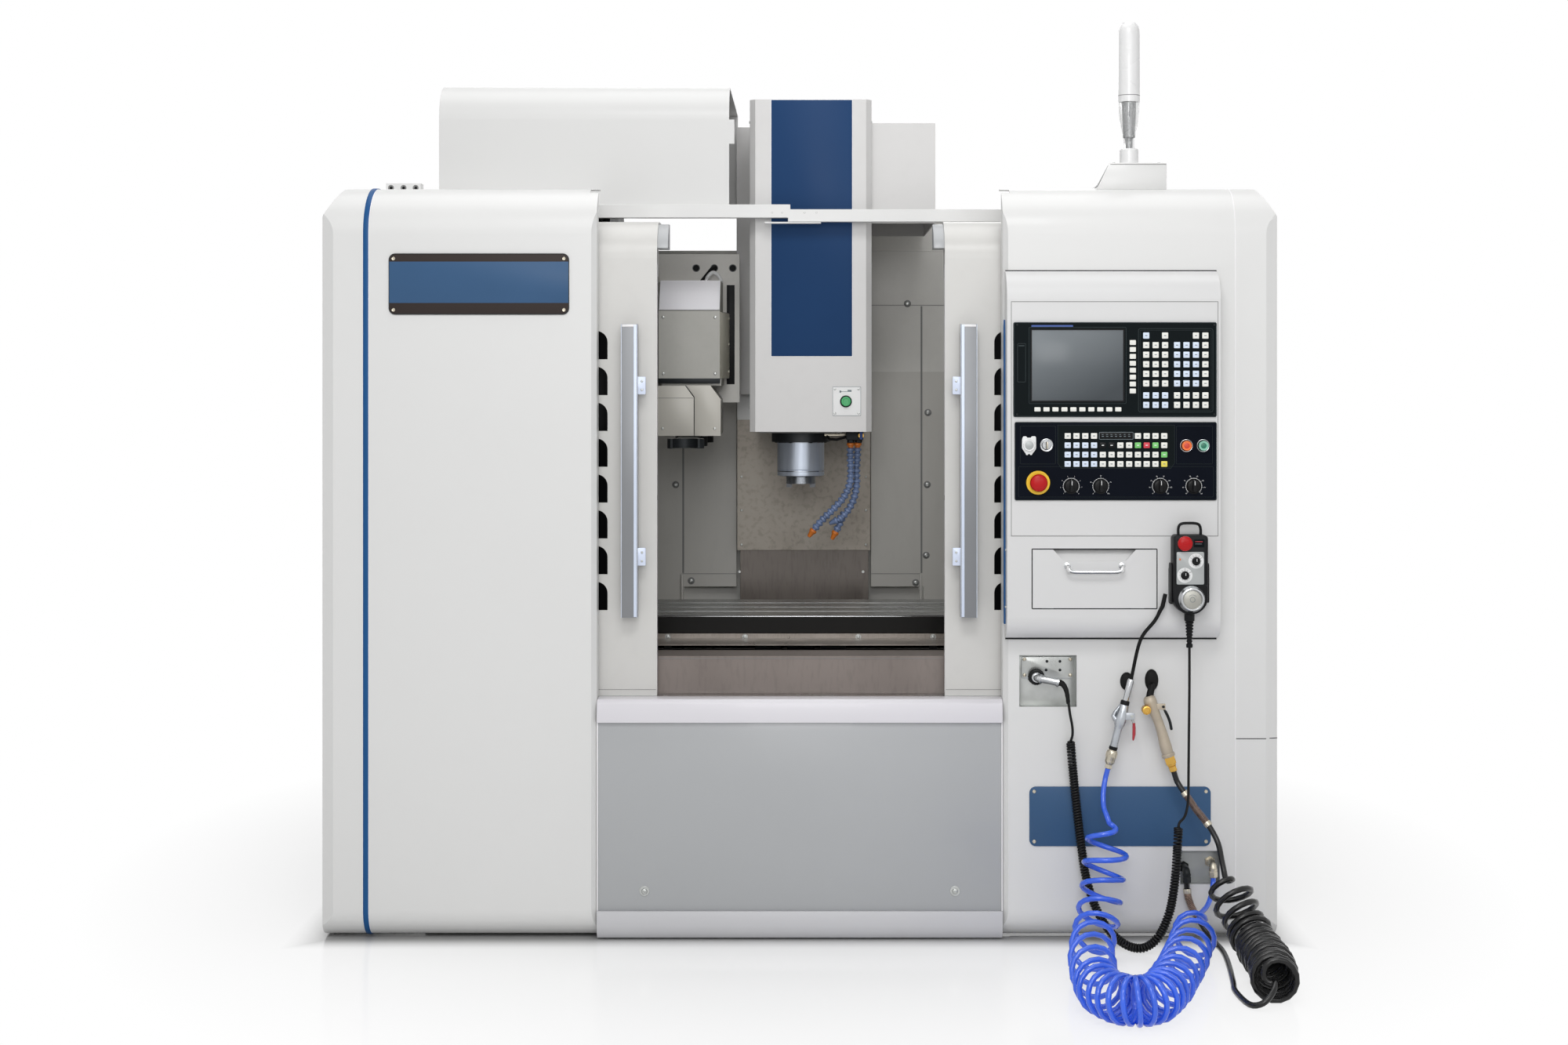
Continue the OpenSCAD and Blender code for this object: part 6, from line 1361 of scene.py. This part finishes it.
_, (y0, _), (_, z1) = edges("head_cover")
HEAD_LOW = 1160
head = Piece("head_plates", (0, y0, HEAD_LOW))
tall = z1 - HEAD_LOW
head.slab((-73, 129), (189, tall - 1.5), 0.5, -1.2, BLUE, 1.2, 0.4, 2)
head.outline((-74.4, 130.4), (187.6, tall - 0.3), 1.5, 1.6, 0.4, -0.7, TRIM_WHITE, 2)
plate = ((80, 151), (40, 113))
BX, BZ = 113.5, 76
head.prism(rounded(*plate[0], *plate[1], 2, 3), "y", -0.5, 0.5, MARK, holes=[circle((BX, BZ), 9.5)])
head.prism(rounded(plate[0][0] + 1, plate[0][1] - 1, plate[1][0] + 1, plate[1][1] - 1, 1.6, 3), "y", -0.9,
           0.4, LAMP_WHITE, holes=[circle((BX, BZ), 9.5)])
head.screws((86, 145), [-0.9], (46, 107), FRONT, 3, ZINC)
ring(head, (BX, BZ), 12.4, 15, 3.2, BLACK_OXIDE, 1)
ring(head, (BX, BZ), 9.5, 12.6, 1.2, SATIN, 0.4)
head.box((BX - 15, BX + 14), (-1.05, -0.8), (BZ + 24, BZ + 25.2), MARK)
head.box((BX + 4, BX + 14), (-1.05, -0.8), (BZ + 25.2, BZ + 29), MARK)
head.box((BX - 16, BX - 12), (-1.05, -0.8), (BZ + 22, BZ + 27.4), MARK)
for s, x in ((-1, -127), (1, 178)):
    head.screws([x], (60, 400), (60, 420, 780), (s, 0, 0), 4.5, ZINC)
for x in (-127.3, 177.3):
    head.box((x, x + 1), (250, 251.2), (2, tall - 2), SEAM)
head.screws((-165, 178), [56 - y0], (-325, -230, -138), FRONT, 3.4, ZINC)
head.box((178.5, 338.5), (39.6, 40.5), (540, 541), SEAM)
head.done("head", "enclosure_paint")

button = Piece("release_cap", (0, y0, HEAD_LOW))
button.knob([(0, 9.6), (7.4, 9.6), (8, 11.5), (10.6, 11.5), (12, 10.2), (12, 5.5), (9, 5.5), (9, -15),
             (0, -15)], (BX, BZ), GREEN, 40)
button.done("tool_release", "button_green", ["tool_release_button"])

SX, SY = (sum(limits) / 2 for limits in edges("spindle_shaft")[:2])
NOSE = edges("spindle_cartridge")[2][0]
collar = Piece("spindle_bolts", (SX, SY, NOSE))
for a in turns(8, 0.5):
    collar.screw((68 * cos(a), 68 * sin(a), 87), DOWN, 4.2, BLACK_OXIDE)
    collar.screw((53 * cos(a), 53 * sin(a), 0), DOWN, 3, BLACK_OXIDE)
for ring_profile in (
    [(60.6, 84), (63, 84.6), (63, 87), (60.6, 87)], [(60.5, 10), (61.2, 10.6), (61.2, 12.6), (60.5, 13)],
    [(39, -0.2), (41, -1.6), (55, -1.6), (57, -0.2)],
):
    collar.lathe(ring_profile, (0, 0, 0), UP, TURNED, 64)
collar.done("head", "spindle_steel")


def jointed(piece, route, first, last):
    """A coolant line of ball segments along a route, with a collar and a nozzle."""
    middle = smooth(route, 12)
    walked, step = 0, 13.5
    places = []
    for a, b in zip(middle, middle[1:]):
        gap = (b - a).length
        while walked <= gap:
            places.append((a.lerp(b, walked / gap), (b - a).normalized()))
            walked += step
        walked -= gap
    for i, (p, axis) in enumerate(places[:-1]):
        material = first if i == 0 else NOZZLE
        piece.lathe([(0, -1), (6.6, 0), (9.4, 2.2), (10.2, 5), (9.8, 7.8), (7.4, 8.8), (6.6, 11), (6.4, 14),
                     (0, 14)], p, axis, material, 20)
    p, axis = places[-1]
    piece.lathe([(0, -1), (7.4, 0), (9.6, 2), (9.6, 6), (7.4, 9), (5, 21), (3.6, 23), (2.4, 23), (2.4, 13),
                 (0, 13)], p, axis, last, 20)


valve = HEAD_LOW - 24
lines = Piece("coolant_lines", (0, y0 + 140, 0))
lines.box((116, 160), (-18, 22), (valve, HEAD_LOW), BLACK_OXIDE, 2)
lines.box((60, 118), (-4, 4), (valve + 10, valve + 17), NICKEL, 1.5)
lines.pipe([(66, 0, valve + 12), (74, -8, valve + 2), (92, -10, valve + 1), (116, -8, valve + 8)], 3.4,
           RUBBER, 10)
for x, depth in ((128, -4), (148, 8)):
    lines.lathe([(0, 0), (9, 0), (9.6, 1), (9.6, 7), (9, 8), (0, 8)], (x, depth, valve + 1), DOWN,
                BLACK_OXIDE, 6)
lines.knob([(0, 0), (7, 0), (7, 10), (0, 10)], (154, valve + 12), BRASS, 20, -18)
lines.box((150, 158), (-31, -28), (valve + 2, valve + 26), SCREEN_BLUE, 1.2)
jointed(lines, [(128, -4, valve - 6), (127, -4, 1100), (128, -6, 1050), (124, -6, 1020), (110, -6, 990),
                (86, -8, 962), (58, -10, 935), (36, -10, 910), (28, -10, 898)], ORANGE, ORANGE)
jointed(lines, [(146, 8, valve - 6), (145, 10, 1100), (143, 12, 1060), (143, 14, 1020), (136, 14, 985),
                (122, 12, 957), (104, 10, 937), (90, 10, 929)], ORANGE, NOZZLE)
jointed(lines, [(112, 22, 950), (104, 22, 930), (98, 22, 916), (90, 22, 900)], NOZZLE, ORANGE)
lines.done("head", "nozzle_blue", ["coolant_nozzles"])


# ---- Tool changer ----

AX, AY = (sum(limits) / 2 for limits in edges("arm_quill")[:2])
cx0, cx1 = AX - 79, AX + 78
cy0, cy1 = SY - 40, AY + 110
box = Piece("changer_covers")
box.box((cx0 - 0.5, cx1 + 0.5), (cy0 - 1, cy0 + 1.5), (1468, 1469.2), SEAM)
# The slope and the white strip along the top are painted light, lighter than the changer's front.
box.prism([(cy0 - 0.8, 1470), (cy0 + 59, 1547), (cy0 + 60, 1546), (cy0 + 0.6, 1468)], "x", cx0 + 1, cx1 - 1,
          SLOPE_LIT, 0.5)
box.prism([(cy0 + 58, 1545.6), (cy0 + 58, 1547), (cy1 - 4, 1547), (cy1 - 4, 1545.6)], "x", cx0 + 1, cx1 - 1,
          TRIM_WHITE, 0.4)
# The side wedge and its screws are lighter than the changer's front: painted light.
box.prism([(cx1 + 0.2, cy0 + 3), (cx1 + 16.6, cy1 - 1), (cx1 + 17.4, cy1 - 1), (cx1 + 0.8, cy0 + 1)], "z",
          1294, 1464, CHANGER_SIDE_LIT, 0.3)
for z in (1312, 1384, 1452):
    box.lathe([(0, 2.4), (2.6, 2.4), (3.4, 1.4), (3.4, -1)], (cx1 + 15.4, cy1 - 18, z), (1, -0.08, 0),
              CHANGER_SIDE_LIT, 16)
box.box((cx1 + 11.6, cx1 + 15), (cy1 - 34, cy1 - 28), (1362, 1388), DARK_SEAM, 0.6)
# A black plate over the opening beside the changer: painted shade of the dark space behind.
box.box((-197, -176), (cy1 - 0.5, cy1 + 1), (1278, 1541), BLACK, 0.4)
box.box((cx0 - 0.6, cx1 + 0.6), (cy0 - 0.6, cy1), (1281, 1293.6), BLACK_OXIDE, 0.6)
low_y = cy0 - 30
box.prism([(-366, 1147), (-272, 1147), (-272, 1245), (-294, 1275), (-366, 1275)], "y", low_y - 2.6, low_y + 1,
          BEIGE, 1)
box.prism([(-270.4, 1147), (-203.5, 1147), (-203.5, 1241), (-230, 1276), (-291.6, 1276), (-270.4, 1246)], "y",
          low_y - 1.8, low_y + 1, BEIGE, 1)
box.prism([(-272.2, 1150), (-270.2, 1150), (-270.2, 1246), (-292.4, 1275.4), (-294.6, 1275.4),
           (-272.2, 1245)], "y", low_y - 2.2, low_y + 1, DARK_SEAM)
box.box((-365, -273), (low_y - 2.9, low_y - 2), (1243, 1244.2), SEAM)
box.screws((cx0 + 12, cx1 - 12), [cy0], (1306, 1450), FRONT, 4, ZINC)
box.screws((cx0 + 12, cx1 - 12), [low_y - 2.2], [1166], FRONT, 3.6, ZINC)
box.lathe([(30.4, 0), (41, 0), (42, -1), (42, -7), (40, -8), (30.4, -8), (30.4, 0)], (AX, AY, 1150), UP,
          GROUND, 48)
for x in (-278, -230, -181):
    box.knob([(8.4, -1), (10.4, -1), (10.4, 0.6), (8.4, 0.6), (8.4, -1)], (x, 1586), SEAM, 28, cy1)
    box.knob([(0, 0), (8.8, 0), (8.8, -2), (0, -2)], (x, 1586), DARK_SEAM, 28, cy1 + 3)
box.pipe(smooth([(-228, cy1 + 2, 1588), (-236, cy1 - 15, 1583), (-250, cy1 - 25, 1565),
                 (-265, cy1 - 30, 1546)], 6), 5, RUBBER, 12)
box.pipe(smooth([(-250, cy1 - 40, 1546), (-246, cy1 - 38, 1560), (-232, cy1 - 35, 1573),
                 (-216, cy1 - 38, 1562), (-210, cy1 - 45, 1546)], 6), 5, PRINT, 12)
box.done("frame", "beige_paint")

(x0, _), (y0, y1), (z0, z1) = edges("magazine_hood")
hood = Piece("hood_details")
hood.screws([x0], (y0 + 120, y0 + 360, y1 - 60), (z0 + 30, z0 + 200), (-1, 0, 0), 5, ZINC)
hood.box((x0 - 0.4, x0 + 1), (y0 + 240, y0 + 241.4), (z0 + 2, z1 - 60), SEAM)
hood.box((x0 + 6, -180), (y0 + 300, y0 + 301.2), (z1 - 0.8, z1 + 0.4), SEAM)
hood.screws((-800, -540, -280), (y0 + 150, y0 + 560), [z1], UP, 5, ZINC)
hood.done("frame", "hood_paint")

(_, x1), (y0, y1), (z0, z1) = edges("magazine_disc")
disc = Piece("magazine_bolts", (x1, (y0 + y1) / 2, (z0 + z1) / 2))
for a in turns(24, 0.5):
    disc.screw((0, 262 * cos(a), 262 * sin(a)), (1, 0, 0), 4, ZINC)
disc.lathe([(21, -1), (46, -1), (46, 4), (44, 6), (24, 6), (21, 4), (21, -1)], (0, 0, 0), (1, 0, 0), ZINC, 48)
disc.done("magazine", "changer_black")


# ---- Work area ----

GUARD_Y = FRONT_Y + 1095
inside = Piece("guard_details")
for x, z in ((-161.5, 1049), (-306, 732), (317, 727), (349, 999), (346, 803), (294, 1501), (351, 1199),
             (-349, 999), (-351, 1199), (-700, 1200), (700, 1200), (-700, 800), (700, 800)):
    inside.knob([(0, 0.6), (9, 0.6), (10, 0), (10, -0.5)], (x, z), SEAM, 24, GUARD_Y)
    inside.screw((x, GUARD_Y - 0.6, z), FRONT, 6, ZINC)
for low, high, z in ((-1090, -181, 1496), (194, 1090, 1496), (-333, -181, 751), (194, 330, 751)):
    inside.box((low, high), (GUARD_Y - 0.5, GUARD_Y + 1), (z, z + 1.6), SEAM)
for x in (-333, 328):
    inside.box((x, x + 5), (GUARD_Y - 14, GUARD_Y), (600, 752), GUARDS, 1)
    inside.box((-x - 2.5, -x + 2.5), (GUARD_Y - 0.5, GUARD_Y + 1), (754, 1494), SEAM)
for x in (-171, 170):
    for z in (760, 680):
        inside.knob([(0, 0.8), (3.4, 0.8), (4, 0.3), (4, -0.3)], (x, z), ZINC, 20, FRONT_Y + 1061)
inside.box((-418, 418), (FRONT_Y + 105.8, FRONT_Y + 107.4), (636, 637.2), SEAM)
inside.box((193.5, INNER), (GUARD_Y - 0.4, GUARD_Y + 2.5), (ROOF - 90.5, ROOF - 87.5), GUARDS, 0.3)
inside.done("frame", "guard_sheet")

band_y = SY - 210 + 2
bolts = Piece("saddle_bolts")
for x in (-330, -138, 144, 330):
    bolts.knob([(0, 1), (6.6, 1), (7.4, 0.2), (7.4, -0.4)], (x, 651), ZINC, 24, band_y)
    bolts.screw((x, band_y - 1, 651), FRONT, 4.6, ZINC)
bolts.box((-440, 440), (band_y - 0.5, band_y + 0.4), (646.4, 647.2), SEAM)
bolts.done("saddle", "stainless_sheet")

(x0, x1), (y0, y1), (_, z1) = edges("table")
top = Piece("table_details")
for s in (-1, 1):
    for y in (SY - 165, SY + 165):
        top.lathe([(0, 0.4), (8, 0.4), (8.6, 0), (8.6, -0.5)], (s * (x1 - 22), y, z1), UP, BLACK_OXIDE, 24)
    top.box((s * x1 - 0.5, s * x1 + 0.5), (y0 + 8, y1 - 8), (z1 - 38, z1 - 37), SEAM)
top.box((x0 + 2, x1 - 2), (y0 - 0.5, y0 + 0.5), (z1 - 3.6, z1 - 1.2), GROUND, 0.3)
top.done("table", "cast_iron")


# ---- Bracket, beam and rear units ----

rear = Piece("roof_details")
bx = (-INNER - 522, -INNER - 439)
for x in (bx[0] + 12, bx[0] + 42, bx[1] - 12):
    rear.knob([(4.2, -1), (7, -1), (7, 0.6), (4.2, 0.6), (4.2, -1)], (x, ROOF + 12), SEAM, 24, FRONT_Y + 210)
    rear.knob([(0, 0.5), (4.1, 0.5), (4.1, 0)], (x, ROOF + 12), DARK_SEAM, 20, FRONT_Y + 212)
_, (y0, _), (_, z1) = edges("door_beam")
rear.screws((-70, -45, 10, 40), [y0 + 2], [z1 - 30], FRONT, 3.6, ZINC)
for s in (-1, 1):
    rear.screws((s * (INNER + 120), s * (INNER + 420)), (FRONT_Y + 260, FRONT_Y + 400), [ROOF], UP, 5, ZINC)
rear.done("frame", "enclosure_paint")

_, (y0, _), _ = edges("cabinet_door")
back = y0 + 18
louvre = Piece("cabinet_fittings")
for z in [300 + 24 * k for k in range(9)] + [1420 + 24 * k for k in range(6)]:
    louvre.prism([(back - 0.5, z), (back + 5, z + 2), (back + 5, z + 5), (back - 0.5, z + 14)], "x", -200,
                 200, CABINET, 0.6)
louvre.box((-478, 476), (back - 0.3, back + 0.6), (1560, 1561.4), SEAM)
louvre.box((-478, 476), (back - 0.3, back + 0.6), (160, 161.4), SEAM)
louvre.box((-470, -446), (back, back + 4), (800, 940), ZINC, 2)
louvre.box((-466, -450), (back + 4, back + 22), (850, 930), BLACK, 4)
louvre.box((-430, -370), (back, back + 5.6), (1280, 1340), YELLOW, 1.5)
louvre.lathe([(0, 0), (24, 0), (24, 3), (21, 5), (20, 7), (0, 7)], (-400, back + 5, 1310), (0, 1, 0), RED, 40)
louvre.box((-404.5, -395.5), (back + 9, back + 16.8), (1290, 1330), RED, 2.5)
for z in (420, 1320):
    louvre.box((460, 508), (back - 1, back + 2.4), (z + 4, z + 60), ZINC, 1)
louvre.done("cabinet_door", "enclosure_paint")

(_, x1), (y0, y1), (_, z1) = edges("electrical_cabinet")
units = Piece("cabinet_details")
for s in (-1, 1):
    for y in (y0 + 60, y1 - 120):
        units.lathe([(0, 14), (9, 14), (9, 4), (16, 3), (16, 0), (0, 0)], (s * (x1 - 80), y, z1), UP,
                    ZINC, 24)
        units.lathe([(9, 14), (14, 20), (14, 28), (9, 34), (9, 14)], (s * (x1 - 80), y, z1), UP, ZINC, 24)
    for z in (300, 1200):
        units.box((s * x1 - 1, s * x1 + 1), (y0 + 80, y1 - 160), (z, z + 1.4), SEAM)
    for k in range(10):
        units.box((s * x1 - 1, s * x1 + 1.8), (y0 + 140, y1 - 220), (1350 + 16 * k, 1355 + 16 * k), SEAM, 0.4)
units.done("frame", "enclosure_paint")

(x0, x1), (y0, y1), _ = edges("coolant_tank")
tank = Piece("tank_details")
for y in (y0 + 300, y0 + 620):
    tank.box((x0 + 40, x1 - 40), (y, y + 250), (379.6, 384), HOOD, 1.5)
    tank.box((x0 + 240, x0 + 330), (y + 118, y + 132), (384, 402), BLACK, 4)
cap_at = (x0 + 140, y0 + 140, 380)
tank.lathe([(0, 54.5), (46, 54.5), (50, 51), (55.6, 50), (55.6, 46), (54, 45), (54, 8), (62, 7), (62, 0),
            (0, 0)], cap_at, UP, BLACK_OXIDE, 44)
for k in range(8):
    turn = Matrix.Translation(mm(*cap_at)) @ Matrix.Rotation(2 * pi * k / 8, 4, "Z")
    tank.box((-1.2, 1.2), (54, 58), (10, 44), BLACK_OXIDE, turn=turn)
for y in (y0 + 180, y1 - 180):
    tank.box((x0 - 8, x0), (y - 60, y + 60), (260, 276), ZINC, 3)
tank.done("frame", "hood_paint")


# ---- Floor, lamps and world ----

floor_mesh = bpy.data.meshes.new("studio_floor")
floor_mesh.from_pydata([(-16, -9, 0), (16, -9, 0), (16, 30, 0), (-16, 30, 0)], [], [(0, 1, 2, 3)])
floor = added("studio_floor", floor_mesh)
material, tree, shader, place = graph("studio_floor_paint")
across, deep, _ = axes(tree, place)
squares, past = [], []
for value, share, middle, reach in ((across, 0.62, 0, 1.1), (deep, 0.50, 0.07, 1.07)):
    part = math_node(tree, "MULTIPLY", value, share)
    squares.append(math_node(tree, "MULTIPLY", part, part))
    if middle:
        value = math_node(tree, "SUBTRACT", value, middle)
    past.append(math_node(tree, "SUBTRACT", math_node(tree, "ABSOLUTE", value), reach))
away = math_node(tree, "SQRT", math_node(tree, "ADD", *squares))
outside = math_node(tree, "MAXIMUM", *past)
pale = ramp(tree, noise(tree, place, 1.2, 3), srgb("F5F5F5"), srgb("F9F9F9"))
feed(tree, shader, {
    "Roughness": ranged(tree, noise(tree, place, 2, 3), 0.10, 0.14),
    # Darker grey close round the machine's footprint: a painted contact shadow.
    "Base Color": mixed(tree, ranged(tree, outside, 0, 1, -0.02, 0.06), srgb("B4B4B4"), pale),
})
plain = math_node(tree, "MULTIPLY", ranged(tree, away, 0.35, 1, 0.55, 1.15),
                  ranged(tree, outside, 0, 1, 0, 0.08))
paper = added_node(tree, "Emission", {"Color": WHITE, "Strength": 1})
blend = added_node(tree, "MixShader", {
    0: math_node(tree, "MULTIPLY", plain, seen_rays(tree)),
    1: shader.outputs["BSDF"], 2: paper.outputs["Emission"],
})
feed(tree, tree.nodes["Material Output"], {"Surface": blend.outputs["Shader"]})
floor_mesh.materials.append(material)

world = bpy.data.worlds.new("studio")
bpy.context.scene.world = world
world.use_nodes = True
tree = world.node_tree
tree.nodes.clear()
lit, seen = (added_node(tree, "Background", {"Color": WHITE, "Strength": strength}).outputs["Background"]
             for strength in (0.32, 1))
mix = added_node(tree, "MixShader", {0: seen_rays(tree), 1: lit, 2: seen})
added_node(tree, "OutputWorld", {"Surface": mix.outputs["Shader"]})


def lamp(name, location, target, size, power):
    data = bpy.data.lights.new(name, "AREA")
    data.shape = "RECTANGLE"
    data.size, data.size_y = size
    data.energy = power
    item = added(name, data)
    item.location = location
    item.rotation_euler = (Vector(target) - Vector(location)).to_track_quat("-Z", "Y").to_euler()


lamp("key_lamp", (-1.5, -5.6, 3.6), (0, -0.6, 1), (2.6, 2), 20)
lamp("fill_lamp", (1.9, -5.4, 2.4), (0.2, -0.6, 1), (2.2, 1.8), 22)
lamp("front_lamp", (0, -6.5, 2.2), (0, -0.3, 1.2), (1.6, 1.2), 46)
lamp("upper_lamp", (0.1, -4.4, 4), (0, -0.4, 1.4), (1.8, 1.2), 54)
lamp("top_lamp", (0, -0.6, 5), (0, -0.3, 0), (3.6, 3), 70)
lamp("rear_lamp", (0, 5, 3.5), (0, 0.6, 1), (3, 2), 40)

scene = bpy.context.scene
scene.view_settings.view_transform = "Standard"
bpy.context.view_layer.update()
